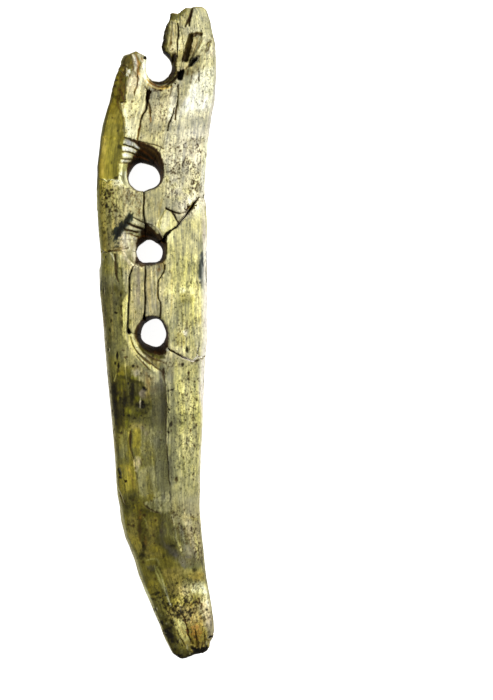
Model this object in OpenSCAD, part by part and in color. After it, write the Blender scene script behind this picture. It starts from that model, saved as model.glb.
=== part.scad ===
// Perforated carved baton for laying up rope: a flat tusk-ivory bar with four holes in its upper half.
// Lies on its back face. X is across, Y runs along the bar towards the broken hole, Z is up out of the front face.
// The bar is made of the fragments that its visible break lines part, so every fragment is a solid of its own.
// All sizes are in millimetres.

/* [Holes] */
// Radius of the broken hole between the prongs
broken_r = 3.9; // [3:0.1:5]
// Radius of the second hole, the widest one
second_r = 4.6; // [3.5:0.1:5.5]
// Radius of the third hole
third_r = 3.7; // [3:0.1:4.5]
// Radius of the fourth hole
fourth_r = 4.0; // [3:0.1:5]
// How far each mouth flares past its hole
flare = 2.4; // [0:0.1:3]
// Height where the straight wall starts
wall_z0 = 3.5; // [2:0.1:5]
// Height where the straight wall ends
wall_z1 = 11; // [9:0.1:12]

/* [Layers] */
// Height of the seam above the floor along the middle of the back sheets
seam_z = 2.6; // [2:0.1:4]
// Height where the edge lamella is parted from the wall behind it
lamella_z = 9.5; // [8:0.1:11]
// Height of the underside of the small flake
flake_z = 10.5; // [9:0.1:12]
// Height of the underside of the front right lamella
front_layer_z = 8; // [4:0.1:10]

/* [Hidden] */
$fn = 64;

// Centres of the four holes in plan, from the broken one down.
h1 = [0.5, 82];
h2 = [-3.9, 48];
h3 = [-2.3, 25];
h4 = [-1, 0];

// Stations along the bar: Y, left edge, right edge, height of the back face, height of the front face.
stations = [
    [-101, 7, 10.5, 4.5, 6.5],
    [-99.5, 5, 14, 3, 7.5],
    [-97.5, 4, 16, 2, 8],
    [-94, 2.5, 17, 0.8, 8.6],
    [-88, 0.5, 17.5, 0.1, 9.5],
    [-82, -2.5, 16.5, 0, 10.4],
    [-75, -5.5, 15.5, 0.4, 11.6],
    [-67, -8, 14.5, 0.8, 12.7],
    [-58, -11, 13.5, 1.1, 13.8],
    [-50, -12.4, 13.1, 1.3, 14.4],
    [-40, -13, 13.5, 1.3, 14.8],
    [-30, -13.7, 14, 1.1, 15],
    [-20, -14.6, 14.4, 0.9, 15.2],
    [-10, -15.6, 14.8, 0.7, 15.3],
    [0, -16.5, 15.4, 0.4, 15.2],
    [10, -17.3, 15.5, 0.3, 15.2],
    [20, -17.7, 15.2, 0.3, 15],
    [30, -18, 15, 0.1, 15],
    [40, -18.5, 15, 0, 15],
    [43, -18.5, 14.2, 0, 14.9],
    [50, -18.5, 14.4, 0.2, 14.8],
    [58, -18, 15.6, 0.8, 14.6],
    [66, -16.8, 16.8, 1.6, 14.4],
    [72, -15, 17.8, 2.6, 14.3],
    [78, -13.5, 18.5, 4, 14.2],
    [83, -11.5, 18.5, 5, 14.1],
    [86, -10.5, 18.4, 5.6, 14],
    [87.2, -7.5, 18.3, 5.8, 13.9],
    [88.5, 0.5, 18.2, 6, 13.8],
    [92, 1, 17.2, 6.4, 13.4],
    [96, 2, 16.7, 7, 12.6],
    [99, 4.5, 16, 7.5, 11.8],
    [101, 9, 14.5, 8, 10.8]
];

// One cross-section going round from the left edge over the front: part of the width, part of the thickness.
// The right edge comes to a ridge below the middle of the thickness.
section = [
    [0, 0.5], [0.02, 0.74], [0.08, 0.92], [0.2, 0.99],
    [0.42, 1], [0.64, 0.99], [0.82, 0.94], [0.94, 0.74],
    [1, 0.45], [0.96, 0.2], [0.86, 0.05], [0.64, 0],
    [0.4, 0], [0.2, 0.02], [0.07, 0.1], [0.015, 0.28]
];

// Break lines in plan, each running from hole centre to hole centre or out past an edge.
line_f = [[-2.9, 76], [-2.8, 69.5], [-4.6, 66.5], [-5.3, 63], [-6, 59.5], [-5.5, 53]];
line_g = [[4, 78.5], [6.2, 76.5], [6.2, 72], [5.8, 70], [4.1, 65.5], [3.4, 62], [1, 56]];
line_e = [[-3.9, 43], [-3.9, 32]];
line_a = [[2, 29], [6.5, 33], [10.5, 39], [13, 42], [22, 42.5]];
line_b = [[1.5, 21.5], [0.6, 16], [0.3, 11], [1.2, 8], [1, 4]];
line_c = [[-3.4, 20], [-3.5, 5]];
line_d = [[-7, 20.5], [-8.2, 16.5], [-8.4, 11.5], [-8.8, 0.5]];
line_h = [[3.6, -4.6], [11.4, -8.8], [15, -7.4], [22, -7]];
line_splinter = [[7, 104], [7.2, 95], [8, 92], [9, 87], [9.9, 84], [7.4, 79.5]];
// The back sheets part along this line, through the fourth hole.
line_cross = [[-22, -7.5], [-10.4, -7], [-3.2, -5]];

function back(v) = [for (i = [len(v) - 1:-1:0]) v[i]];

// Lofts the cross-section over stations i0 to i1.
module loft(i0, i1) {
    n = len(section);
    m = i1 - i0;
    pts = [for (i = [i0:i1]) for (p = section) [
        stations[i][1] + p[0] * (stations[i][2] - stations[i][1]),
        stations[i][0],
        stations[i][3] + p[1] * (stations[i][4] - stations[i][3])
    ]];
    walls = [for (i = [0:m - 1]) for (j = [0:n - 1]) for (t = [0, 1])
        let (a = i * n + j, b = i * n + (j + 1) % n, c = a + n, d = b + n)
        t == 0 ? [a, c, b] : [b, c, d]];
    cap0 = [for (j = [0:n - 1]) j];
    cap1 = [for (j = [n - 1:-1:0]) m * n + j];
    polyhedron(points = pts, faces = concat(walls, [cap0, cap1]));
}

// A wall-high block over a plan polygon.
module cell(poly, z0 = -2, z1 = 18) {
    translate([0, 0, z0]) linear_extrude(z1 - z0) polygon(poly);
}

// A hole with a straight wall and a flared mouth at each face.
module hole(c, r) {
    translate([c[0], c[1], -2]) cylinder(r = r, h = 20);
    translate([c[0], c[1], -2]) cylinder(r1 = r + flare * (wall_z0 + 2) / wall_z0, r2 = r, h = wall_z0 + 2);
    translate([c[0], c[1], wall_z1]) cylinder(r1 = r, r2 = r + flare * 7 / 4, h = 7);
}

module hole_1() { hole(h1, broken_r); }
module hole_2() { hole(h2, second_r); }
module hole_3() { hole(h3, third_r); }
module hole_4() { hole(h4, fourth_r); }

// The gap that is left where the broken hole lost its outer wall.
module open_notch() {
    cell([[h1[0] - 3.4, h1[1] + 1.5], [-3, 84.6], [-3.1, 85.6], [-3.6, 92], [0.5, 92], [1.6, 88.5], [2.2, 86.8], [3.6, 84.6]]);
}

// The space under the seam, seen from the side, run across the whole width.
module under_seam() {
    translate([-25, 0, 0]) rotate([90, 0, 90]) linear_extrude(50)
        polygon([[76, -2], [76, 5], [60, 3.8], [40, seam_z], [20, seam_z - 0.3], [-10, seam_z], [-30, 3.2], [-58.5, 3.6], [-58.5, -2]]);
}

// The zones of the two back sheets.
module upper_sheet_zone() {
    intersection() {
        under_seam();
        cell(concat([[-22, 80]], line_cross, [h4], [[4.3, 4.6], [6, 9.5], [10, 9]], [[10.3, 36], [13, 42], [22, 42.5], [22, 80]]));
    }
}

module lower_sheet_zone() {
    intersection() {
        under_seam();
        cell(concat([[-1.5, -57], [-9, -58], [-22, -58.4]], line_cross, [h4], [[4.3, 4.6], [6, 9.5], [10, 9], [9, -6], [6.3, -21.5], [4.6, -29], [2.3, -44.5], [0.3, -55]]));
    }
}

flake_outline = [[3, 38.5], [9.2, 37], [6.5, 33]];
edge_lamella_outline = [[-22, 25.3], [-12, 25], [-11.4, 32], [-11.6, 40], [-11.7, 46.5], [-14.5, 47.5], [-22, 46.5]];
front_layer_outline = [[3.6, -4.6], [3.2, -14.5], [3.5, -30], [4, -46], [9, -51.5], [22, -53], [22, -7], [15, -7.4], [11.4, -8.8]];

// Outer part of the tall prong and the right side down to the third hole.
module tall_prong() {
    color([0.80, 0.76, 0.62]) difference() {
        intersection() {
            loft(16, 32);
            cell(concat([h1], line_g, [h2], line_e, [h3], line_a, [[22, 104]], line_splinter));
        }
        upper_sheet_zone();
        cell(flake_outline, flake_z);
        hole_1();
        hole_2();
        hole_3();
    }
}

// Inner, splintered part of the tall prong, beside the broken hole.
module prong_splinter() {
    color([0.74, 0.71, 0.53]) difference() {
        intersection() {
            loft(24, 32);
            cell(concat([h1, [-4, 90], [-4, 104]], line_splinter));
        }
        open_notch();
        hole_1();
    }
}

// Small wedge between the broken hole and the second hole.
module bridge_piece() {
    color([0.82, 0.79, 0.68]) difference() {
        intersection() {
            loft(18, 26);
            cell(concat([h1], line_f, [h2], back(line_g)));
        }
        upper_sheet_zone();
        hole_1();
        hole_2();
    }
}

// The short prong and the left wall down to the third hole.
module short_prong() {
    color([0.60, 0.58, 0.36]) difference() {
        intersection() {
            loft(15, 29);
            cell(concat([h1], line_f, [h2], line_e, [h3], [[-12, 25], [-22, 25.3], [-22, 91], [-4, 90]]));
        }
        upper_sheet_zone();
        cell(edge_lamella_outline, lamella_z);
        open_notch();
        hole_1();
        hole_2();
        hole_3();
    }
}

// The stub of outer lamella left on the left edge beside the second and third holes.
module edge_lamella() {
    color([0.70, 0.67, 0.48]) intersection() {
        loft(16, 21);
        cell(edge_lamella_outline, lamella_z);
    }
}

// Triangular flake on the upper side of the break right of the third hole.
module rim_flake() {
    color([0.84, 0.80, 0.64]) difference() {
        intersection() {
            loft(17, 19);
            cell(flake_outline, flake_z);
        }
        hole_3();
    }
}

// Narrow piece between the third and fourth holes, left.
module left_sliver() {
    color([0.66, 0.64, 0.47]) difference() {
        intersection() {
            loft(12, 18);
            cell(concat([h3], line_c, [h4], back(line_d)));
        }
        upper_sheet_zone();
        lower_sheet_zone();
        hole_3();
        hole_4();
    }
}

// Narrow piece between the third and fourth holes, right.
module right_sliver() {
    color([0.72, 0.69, 0.52]) difference() {
        intersection() {
            loft(12, 18);
            cell(concat([h3], line_b, [h4], back(line_c)));
        }
        upper_sheet_zone();
        lower_sheet_zone();
        hole_3();
        hole_4();
    }
}

// The right edge between the two breaks that leave the third and fourth holes.
module right_shoulder() {
    color([0.83, 0.80, 0.65]) difference() {
        intersection() {
            loft(12, 20);
            cell(concat([h3], line_b, [h4], line_h, back(line_a)));
        }
        upper_sheet_zone();
        lower_sheet_zone();
        hole_3();
        hole_4();
    }
}

// Thin sheet that forms the back face behind the first three holes.
module upper_back_sheet() {
    color([0.78, 0.74, 0.60]) difference() {
        intersection() {
            loft(12, 25);
            upper_sheet_zone();
        }
        hole_1();
        hole_2();
        hole_3();
        hole_4();
    }
}

// Thin sheet that forms the back face below the fourth hole.
module lower_back_sheet() {
    color([0.76, 0.70, 0.50]) difference() {
        intersection() {
            loft(7, 16);
            lower_sheet_zone();
        }
        hole_4();
    }
}

// The long lower body that the hand holds, with the left wall beside the fourth hole.
module handle() {
    color([0.52, 0.49, 0.31]) difference() {
        intersection() {
            loft(0, 18);
            cell(concat([h3], line_d, [h4], line_h, [[22, -92], [12, -93.5], [6, -92], [-22, -92], [-22, 25.3], [-12, 25]]));
        }
        upper_sheet_zone();
        lower_sheet_zone();
        cell(front_layer_outline, front_layer_z);
        hole_3();
        hole_4();
    }
}

// Pale outer layer on the right of the front face below the fourth hole.
module front_right_lamella() {
    color([0.80, 0.76, 0.56]) difference() {
        intersection() {
            loft(8, 16);
            cell(front_layer_outline, front_layer_z);
        }
        hole_4();
    }
}

// The broken point of the handle.
module tip_piece() {
    color([0.58, 0.53, 0.35]) intersection() {
        loft(0, 5);
        cell([[22, -92], [12, -93.5], [6, -92], [-22, -92], [-22, -104], [22, -104]]);
    }
}

tall_prong();
prong_splinter();
bridge_piece();
short_prong();
edge_lamella();
rim_flake();
left_sliver();
right_sliver();
right_shoulder();
upper_back_sheet();
lower_back_sheet();
handle();
front_right_lamella();
tip_piece();
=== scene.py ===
import math

import bpy
import numpy as np
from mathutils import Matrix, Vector


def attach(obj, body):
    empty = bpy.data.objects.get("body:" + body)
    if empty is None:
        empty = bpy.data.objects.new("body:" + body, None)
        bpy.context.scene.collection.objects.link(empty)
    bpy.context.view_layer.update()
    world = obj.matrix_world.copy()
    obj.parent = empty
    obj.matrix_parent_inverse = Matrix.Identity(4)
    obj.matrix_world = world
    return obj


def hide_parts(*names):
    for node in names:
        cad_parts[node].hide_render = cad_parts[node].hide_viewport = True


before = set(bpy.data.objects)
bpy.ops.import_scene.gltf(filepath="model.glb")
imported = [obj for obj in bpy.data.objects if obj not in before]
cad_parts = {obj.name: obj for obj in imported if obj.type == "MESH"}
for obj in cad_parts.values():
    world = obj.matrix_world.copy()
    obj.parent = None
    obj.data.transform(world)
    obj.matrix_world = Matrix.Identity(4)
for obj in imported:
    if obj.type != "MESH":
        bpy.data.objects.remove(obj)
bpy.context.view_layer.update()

H = 0.22  # voxel size in mm; every length below is in mm unless it says metres
F32 = np.float32


# ---------------------------------------------------------------- drawing frames
# Every curve below is drawn in one of a few enlarged drawing frames.
# A drawing frame is (left, top, enlargement) on the plate where the four views of the object lie side by side.
PX = 3.238  # plate units to the millimetre


def front_mm(x, y):
    """Front view on the plate to X, Y."""
    return (np.asarray(x, float) - 157.0) / PX, (333.0 - np.asarray(y, float)) / PX


def back_mm(x, y):
    """Back view on the plate, which is mirrored and turned by about 5 degrees, to X, Y."""
    u, v = np.asarray(x, float) - 566.1, np.asarray(y, float) + 22.3
    x2 = (1.0077 * u - 0.092 * v) / -1.01183
    y2 = (-0.9957 * v - 0.092 * u) / -1.01183
    return front_mm(x2, y2)


# Heights of the back and front faces along the bar, with Y.
PROFILE_Y = [-101, -99.5, -97.5, -94, -88, -82, -75, -67, -58, -50, -40, -30, -20, -10, 0, 10, 20, 30, 40, 50, 58, 66, 72, 78, 83, 87, 92, 96, 99, 101]
PROFILE_LO = [4.4, 3.2, 2.2, 0.9, 0.2, 0.05, 0.4, 0.8, 1.1, 1.3, 1.3, 1.1, 0.9, 0.7, 0.4, 0.3, 0.3, 0.1, 0.0, 0.2, 0.8, 1.6, 2.6, 4.0, 5.0, 5.8, 6.4, 7.0, 7.5, 8.2]
PROFILE_HI = [6.4, 7.4, 8.0, 8.6, 9.5, 10.4, 11.6, 12.7, 13.8, 14.4, 14.8, 15.0, 15.2, 15.3, 15.2, 15.2, 15.0, 15.0, 15.0, 14.8, 14.6, 14.4, 14.3, 14.2, 14.1, 13.9, 13.4, 12.6, 11.8, 10.6]


def smooth_interp(y, xs, ys, reach=2.5):
    """Linear interpolation, averaged over a short stretch so that no corner shows."""
    y = np.asarray(y, float)
    out = 0.0
    for k, w in ((-1.0, 0.25), (-0.5, 0.5), (0.0, 0.5), (0.5, 0.5), (1.0, 0.25)):
        out = out + w * np.interp(y + k * reach, xs, ys)
    return out / 2.0


def z_lo(y):
    return smooth_interp(y, PROFILE_Y, PROFILE_LO)


def z_hi(y):
    return smooth_interp(y, PROFILE_Y, PROFILE_HI)


# Left-edge view: plate y to the front view's plate y, and the plate x of the back face's line.
def left_mm(x, y):
    y = np.asarray(y, float)
    y2 = np.interp(y, [1, 32, 160, 243, 660], [5, 52, 180, 251, 660])
    yy = (333.0 - y2) / PX
    line = np.interp(y, [1, 33, 61, 100, 130, 160, 180, 213, 240, 260, 300, 330, 360, 390, 430, 470, 500, 520, 560, 600, 640, 655, 660],
                     [272, 265.8, 263.7, 261.6, 260.4, 260.8, 262.4, 263.3, 265, 265.8, 269.9, 272.4, 274.5, 277, 280, 283, 284.4, 286, 286.4, 285.6, 286.8, 297.8, 302])
    return yy, (np.asarray(x, float) - line) / PX + z_lo(yy)


# Right-edge view: the same, with the back face at the right.
def right_mm(x, y):
    y = np.asarray(y, float)
    y2 = np.interp(y, [4, 40, 143, 218, 285, 380, 640, 663], [5, 37, 132, 200, 267, 358, 625, 660])
    yy = (333.0 - y2) / PX
    line = np.interp(y, [4, 40, 70, 100, 130, 190, 210, 260, 330, 380, 450, 520, 580, 620, 650, 662],
                     [27, 33, 35, 43, 46, 52, 52, 50, 50, 48, 46, 46, 47, 49, 42, 34])
    return yy, (line - np.asarray(x, float)) / PX + z_lo(yy)


# ---------------------------------------------------------------- noise
_table = np.random.default_rng(71).random(1 << 16).astype(F32)


def _hash(*ints):
    h = np.zeros(np.broadcast(*ints).shape, np.int64)
    for k, v in enumerate(ints):
        h = (h * 31 + v.astype(np.int64) * (73, 179, 283, 419)[k]) & 0x7FFFFFFF
        h = (h ^ (h >> 7)) * 977 & 0x7FFFFFFF
    return _table[(h ^ (h >> 5)) & 0xFFFF]


def noise2(x, y, seed=0):
    """Smooth value noise from 0 to 1."""
    xi, yi = np.floor(x), np.floor(y)
    fx, fy = (x - xi).astype(F32), (y - yi).astype(F32)
    fx, fy = fx * fx * (3 - 2 * fx), fy * fy * (3 - 2 * fy)
    xi, yi = xi.astype(np.int64) + seed * 57, yi.astype(np.int64) - seed * 91
    a, b = _hash(xi, yi), _hash(xi + 1, yi)
    c, d = _hash(xi, yi + 1), _hash(xi + 1, yi + 1)
    return (a + (b - a) * fx) * (1 - fy) + (c + (d - c) * fx) * fy


def fbm2(x, y, octaves=3, seed=0):
    out, amp, tot = 0.0, 1.0, 0.0
    for k in range(octaves):
        out = out + amp * noise2(x * 2**k, y * 2**k, seed + 11 * k)
        tot += amp
        amp *= 0.55
    return out / tot


def noise3(x, y, z, seed=0):
    xi, yi, zi = np.floor(x), np.floor(y), np.floor(z)
    fx, fy, fz = (x - xi).astype(F32), (y - yi).astype(F32), (z - zi).astype(F32)
    fx, fy, fz = (f * f * (3 - 2 * f) for f in (fx, fy, fz))
    xi, yi, zi = xi.astype(np.int64) + seed * 57, yi.astype(np.int64) - seed * 91, zi.astype(np.int64)
    out = 0.0
    for dx in (0, 1):
        for dy in (0, 1):
            for dz in (0, 1):
                w = (fx if dx else 1 - fx) * (fy if dy else 1 - fy) * (fz if dz else 1 - fz)
                out = out + w * _hash(xi + dx, yi + dy, zi + dz)
    return out


def step(x, a, b):
    """Smooth step from 0 at a to 1 at b."""
    t = np.clip((x - a) / (b - a), 0, 1)
    return t * t * (3 - 2 * t)


# ---------------------------------------------------------------- plane geometry
def poly_sdf(px, py, poly):
    """Signed distance to a closed polygon, negative inside."""
    poly = np.asarray(poly, float)
    d2 = np.full(px.shape, 1e9)
    inside = np.zeros(px.shape, bool)
    n = len(poly)
    for i in range(n):
        ax, ay = poly[i]
        bx, by = poly[(i + 1) % n]
        ex, ey = bx - ax, by - ay
        wx, wy = px - ax, py - ay
        t = np.clip((wx * ex + wy * ey) / (ex * ex + ey * ey + 1e-12), 0, 1)
        d2 = np.minimum(d2, (wx - t * ex) ** 2 + (wy - t * ey) ** 2)
        if ay != by:
            cross = (ay > py) != (by > py)
            inside ^= cross & (px < ex * (py - ay) / (by - ay) + ax)
    return np.where(inside, -1, 1) * np.sqrt(d2)


def line_dist(px, py, pts, widths=None):
    """Distance to a polyline less its half-width there, and how far along it the nearest point is (0 to 1)."""
    pts = np.asarray(pts, float)
    w = np.broadcast_to(np.asarray(0.0 if widths is None else widths, float), (len(pts),))
    seg = np.hypot(*(pts[1:] - pts[:-1]).T)
    run = np.concatenate([[0], np.cumsum(seg)])
    best = np.full(px.shape, 1e9)
    along = np.zeros(px.shape)
    for i in range(len(pts) - 1):
        (ax, ay), (bx, by) = pts[i], pts[i + 1]
        ex, ey = bx - ax, by - ay
        wx, wy = px - ax, py - ay
        t = np.clip((wx * ex + wy * ey) / (ex * ex + ey * ey + 1e-12), 0, 1)
        d = np.hypot(wx - t * ex, wy - t * ey) - (w[i] + (w[i + 1] - w[i]) * t)
        near = d < best
        best = np.where(near, d, best)
        along = np.where(near, (run[i] + t * seg[i]) / run[-1], along)
    return best, along


def curve(pts, n=6, closed=False):
    """Catmull-Rom through the points."""
    p = np.asarray(pts, float)
    if closed:
        q = np.concatenate([p[-1:], p, p[:2]])
    else:
        q = np.concatenate([2 * p[:1] - p[1:2], p, 2 * p[-1:] - p[-2:-1]])
    out = []
    for i in range(1, len(q) - 2):
        a, b, c, d = q[i - 1], q[i], q[i + 1], q[i + 2]
        for t in np.arange(n) / n:
            out.append(0.5 * (2 * b + (c - a) * t + (2 * a - 5 * b + 4 * c - d) * t**2 + (3 * b - a - 3 * c + d) * t**3))
    if not closed:
        out.append(p[-1])
    return np.array(out)


# ---------------------------------------------------------------- the bar's outline, in mm, going round from the short prong down the left edge
OUTLINE = [
    (-3.4, 85.5), (-4.3, 85.6), (-5.3, 86.3), (-6.5, 86.8), (-8.4, 86.1), (-10.4, 85.7), (-11.1, 84.4), (-11.7, 82.3),
    (-13.1, 79.9), (-14.1, 76.1), (-15.0, 71.7), (-16.2, 67.6), (-17.1, 64.2), (-17.8, 60.2), (-18.3, 55.3), (-18.7, 51.9),
    (-18.8, 44.2), (-18.6, 36.9), (-18.2, 30.9), (-17.8, 26.6), (-17.5, 22.9), (-17.7, 19.5), (-17.6, 13.0), (-17.1, 8.0),
    (-16.5, 2.2), (-16.2, -2.5), (-15.8, -7.1), (-15.3, -13.0), (-14.6, -20.4), (-14.1, -25.0), (-13.5, -31.2), (-13.0, -38.0),
    (-12.6, -45.4), (-12.2, -49.8), (-11.4, -53.7), (-11.0, -57.8), (-9.8, -63.0), (-8.1, -67.0), (-6.8, -70.4), (-5.7, -74.6),
    (-3.9, -79.2), (-2.1, -83.2), (-0.7, -87.0), (0.9, -90.4), (1.9, -93.3), (3.6, -97.1), (4.7, -99.1), (7.2, -100.9),
    (8.6, -100.7), (9.9, -100.1), (11.7, -99.5), (14.3, -99.1), (15.5, -98.4), (16.3, -97.1), (16.6, -95.3), (17.4, -93.9),
    (17.6, -91.8), (17.4, -88.9), (16.8, -84.4), (16.0, -79.9), (15.3, -75.9), (14.5, -69.5), (14.1, -64.9), (13.5, -59.0),
    (13.1, -54.0), (13.2, -49.4), (13.5, -38.0), (14.0, -31.2), (14.2, -24.1), (14.4, -17.6), (14.8, -9.6), (15.0, -7.2),
    (15.5, -2.5), (15.4, 2.2), (15.5, 11.1), (15.3, 22.9), (15.3, 27.5), (15.3, 34.6), (15.0, 40.2), (14.6, 41.4),
    (14.6, 43.5), (14.8, 48.5), (15.3, 54.4), (15.7, 59.0), (16.2, 62.4), (16.9, 67.9), (17.8, 72.0), (18.4, 78.1),
    (18.5, 84.3), (18.2, 89.6), (17.3, 92.7), (16.7, 96.2), (15.6, 99.6), (14.4, 100.7), (12.0, 101.0), (10.4, 100.2),
    (9.0, 100.4), (7.6, 99.4), (6.4, 98.4), (4.9, 98.8), (4.2, 98.5), (3.9, 96.2), (2.8, 94.6), (2.2, 92.6),
    (2.0, 90.1), (1.4, 88.2), (1.9, 86.4), (3.2, 85.1), (4.1, 83.6), (4.4, 82.0), (4.2, 80.6), (3.5, 79.3),
    (2.2, 78.2), (0.4, 77.6), (-1.3, 77.8), (-2.5, 78.8), (-3.2, 80.3), (-3.4, 82.1), (-3.2, 83.9), (-3.0, 84.7),
]
_left = np.array([p for p in OUTLINE[5:48]])  # short prong's shoulder to the tip
_right = np.array([p for p in OUTLINE[47:95]])  # tip to the tall prong's top


def edge_left(y):
    base = np.interp(y, _left[::-1, 1], _left[::-1, 0])
    return np.where(y > 85.7, -10.4 + np.clip(y - 85.7, 0, 3) / 3 * 8.6, base)


def edge_right(y):
    return np.interp(y, _right[:, 1], _right[:, 0])


# The cross-section going round from the left edge over the front, as parts of the width and the thickness.
ROUND = [(0, 0.48), (0.012, 0.66), (0.05, 0.83), (0.115, 0.94), (0.22, 0.99), (0.36, 1.0), (0.5, 1.0), (0.64, 0.992), (0.78, 0.965),
         (0.89, 0.90), (0.96, 0.76), (1.0, 0.52), (0.985, 0.3), (0.93, 0.12), (0.84, 0.03), (0.7, 0.0), (0.5, 0.0), (0.32, 0.0), (0.17, 0.03), (0.07, 0.12), (0.018, 0.28)]
RIDGED = [(0, 0.46), (0.012, 0.66), (0.05, 0.83), (0.115, 0.94), (0.22, 0.99), (0.36, 1.0), (0.5, 0.998), (0.64, 0.985), (0.78, 0.95),
          (0.885, 0.87), (0.955, 0.70), (1.0, 0.44), (0.978, 0.25), (0.92, 0.10), (0.83, 0.02), (0.7, 0.0), (0.5, 0.0), (0.32, 0.0), (0.17, 0.03), (0.07, 0.12), (0.018, 0.28)]

GX = np.arange(-21.0, 21.01, 0.6)
GY = np.arange(-103.8, 103.81, 0.6)
GZ = np.arange(-1.8, 17.41, 0.6)


def base_field():
    """Signed distance to the lofted bar on a coarse grid."""
    out = np.empty((len(GX), len(GY), len(GZ)), F32)
    xx, zz = np.meshgrid(GX, GZ, indexing="ij")
    yc = np.clip(GY, -100.6, 100.6)
    xl, xr, lo, hi = edge_left(yc), edge_right(yc), z_lo(yc), z_hi(yc)
    round_, ridged = np.array(ROUND), np.array(RIDGED)
    ridge = step(yc, -62, -50) * (1 - step(yc, 40, 52))
    for j in range(len(GY)):
        s = round_ + (ridged - round_) * ridge[j]
        s = curve(s, 4, closed=True)
        poly = np.stack([xl[j] - 0.12 + s[:, 0] * (xr[j] - xl[j] + 0.24), lo[j] + s[:, 1] * (hi[j] - lo[j])], 1)
        d = poly_sdf(xx, zz, poly)
        past = abs(GY[j]) - 100.6
        out[:, j, :] = np.where(past > 0, np.maximum(d, 0) + past, d) if past > 0 else d
    return out


BASE = base_field()


def sample_base(ax, ay, az):
    """Trilinear samples of the base field on the grid ax by ay by az."""
    f = BASE
    for axis, (g, q) in enumerate(((GX, ax), (GY, ay), (GZ, az))):
        t = (np.asarray(q) - g[0]) / 0.6
        i = np.clip(np.floor(t).astype(int), 0, len(g) - 2)
        w = (t - i).astype(F32)
        shape = [1, 1, 1]
        shape[axis] = len(w)
        w = w.reshape(shape)
        f = np.take(f, i, axis) * (1 - w) + np.take(f, i + 1, axis) * w
    return f


# ---------------------------------------------------------------- holes
def ring(values):
    """A closed radius curve from (degrees, mm) pairs."""
    a = np.array([v[0] for v in values], float)
    r = np.array([v[1] for v in values], float)
    o = np.argsort(a)
    a, r = a[o], r[o]
    a = np.concatenate([a - 360, a, a + 360])
    r = np.concatenate([r, r, r])
    q = np.arange(-180, 541)
    v = np.interp(q, a, r)
    k = np.array([1, 2, 3, 4, 3, 2, 1.0])
    v = np.convolve(np.pad(v, 12, mode="edge"), np.repeat(k, 3) / (3 * k.sum()), "same")[12:-12]
    return q, v


# centre, throat half-axes, and the rim of the mouth on each face as the radius at each angle seen from that face's own drawing
HOLES = {
    1: dict(c=(0.45, 82.0), throat=(3.85, 4.1), turn=0, mid=7.5,
            front=[(0, 5.2), (40, 5.4), (90, 5.4), (140, 4.6), (180, 4.3), (215, 4.6), (250, 6.4), (275, 7.2), (300, 7.4), (330, 6.2)],
            back=[(0, 6.4), (40, 6.0), (90, 5.2), (140, 4.6), (180, 4.5), (215, 5.0), (250, 5.6), (275, 5.8), (300, 6.4), (330, 6.6)]),
    2: dict(c=(-4.0, 48.1), throat=(4.85, 4.2), turn=0, mid=6.8,
            front=[(0, 6.0), (35, 7.0), (61, 8.4), (82, 9.9), (97, 11.0), (108, 12.0), (117, 12.6), (126, 11.2), (142, 9.0), (160, 8.0), (180, 7.3), (202, 6.4), (229, 5.3), (274, 4.7), (305, 5.0), (336, 5.6)],
            back=[(0, 6.0), (30, 6.6), (60, 6.8), (90, 6.2), (120, 5.6), (150, 6.2), (180, 8.0), (210, 8.4), (240, 7.4), (270, 6.2), (300, 5.8), (330, 5.8)]),
    3: dict(c=(-2.3, 25.0), throat=(4.0, 3.5), turn=0, mid=7.2,
            front=[(0, 5.2), (31, 6.0), (56, 6.5), (72, 7.5), (85, 8.5), (99, 9.0), (115, 11.0), (127, 10.8), (142, 9.4), (154, 8.5), (183, 7.4), (218, 6.0), (245, 4.6), (270, 4.2), (300, 4.6), (334, 5.5)],
            back=[(0, 5.4), (30, 6.0), (60, 6.4), (90, 6.2), (120, 5.6), (150, 6.0), (180, 7.6), (210, 8.2), (240, 7.0), (270, 5.6), (300, 5.0), (330, 5.0)]),
    4: dict(c=(-1.0, 0.0), throat=(3.85, 4.25), turn=0, mid=7.6,
            front=[(0, 4.7), (33, 4.7), (63, 5.0), (95, 5.2), (119, 5.4), (147, 5.2), (169, 5.6), (186, 5.8), (205, 5.7), (228, 6.2), (252, 6.9), (270, 8.2), (284, 9.0), (301, 7.6), (317, 6.3), (340, 5.0)],
            back=[(0, 5.0), (30, 5.6), (60, 6.2), (90, 6.4), (120, 6.0), (150, 6.8), (180, 7.2), (210, 7.0), (240, 6.2), (270, 5.2), (300, 4.9), (330, 4.8)]),
}


def hole_field(k, x, y, z):
    """Signed distance to the inside of a hole, negative in the hole. x, y are planes and z a column, all broadcast."""
    h = HOLES[k]
    dx, dy = x - h["c"][0], y - h["c"][1]
    rho = np.hypot(dx, dy)
    ang = np.degrees(np.arctan2(dy, dx))
    a, b = h["throat"]
    rad = np.arctan2(dy, dx)
    throat = a * b / np.sqrt((b * np.cos(rad)) ** 2 + (a * np.sin(rad)) ** 2)
    throat = throat + 0.18 * np.sin(3 * rad + k) + 0.1 * np.sin(5 * rad + 2 * k)
    qf, vf = ring(h["front"])
    qb, vb = ring(h["back"])
    front = np.interp(ang, qf, vf)
    back = np.interp(ang, qb, vb)
    # the mouth widens from the throat to the rim drawn on each face
    top, low = 14.6, 0.4
    up = np.clip((z - h["mid"]) / (top - h["mid"]), 0, 1.3)
    dn = np.clip((h["mid"] - z) / (h["mid"] - low), 0, 1.3)
    r = throat + (front - throat) * up**1.7 + (back - throat) * dn**1.9
    return (rho - r) * 0.82


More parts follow.
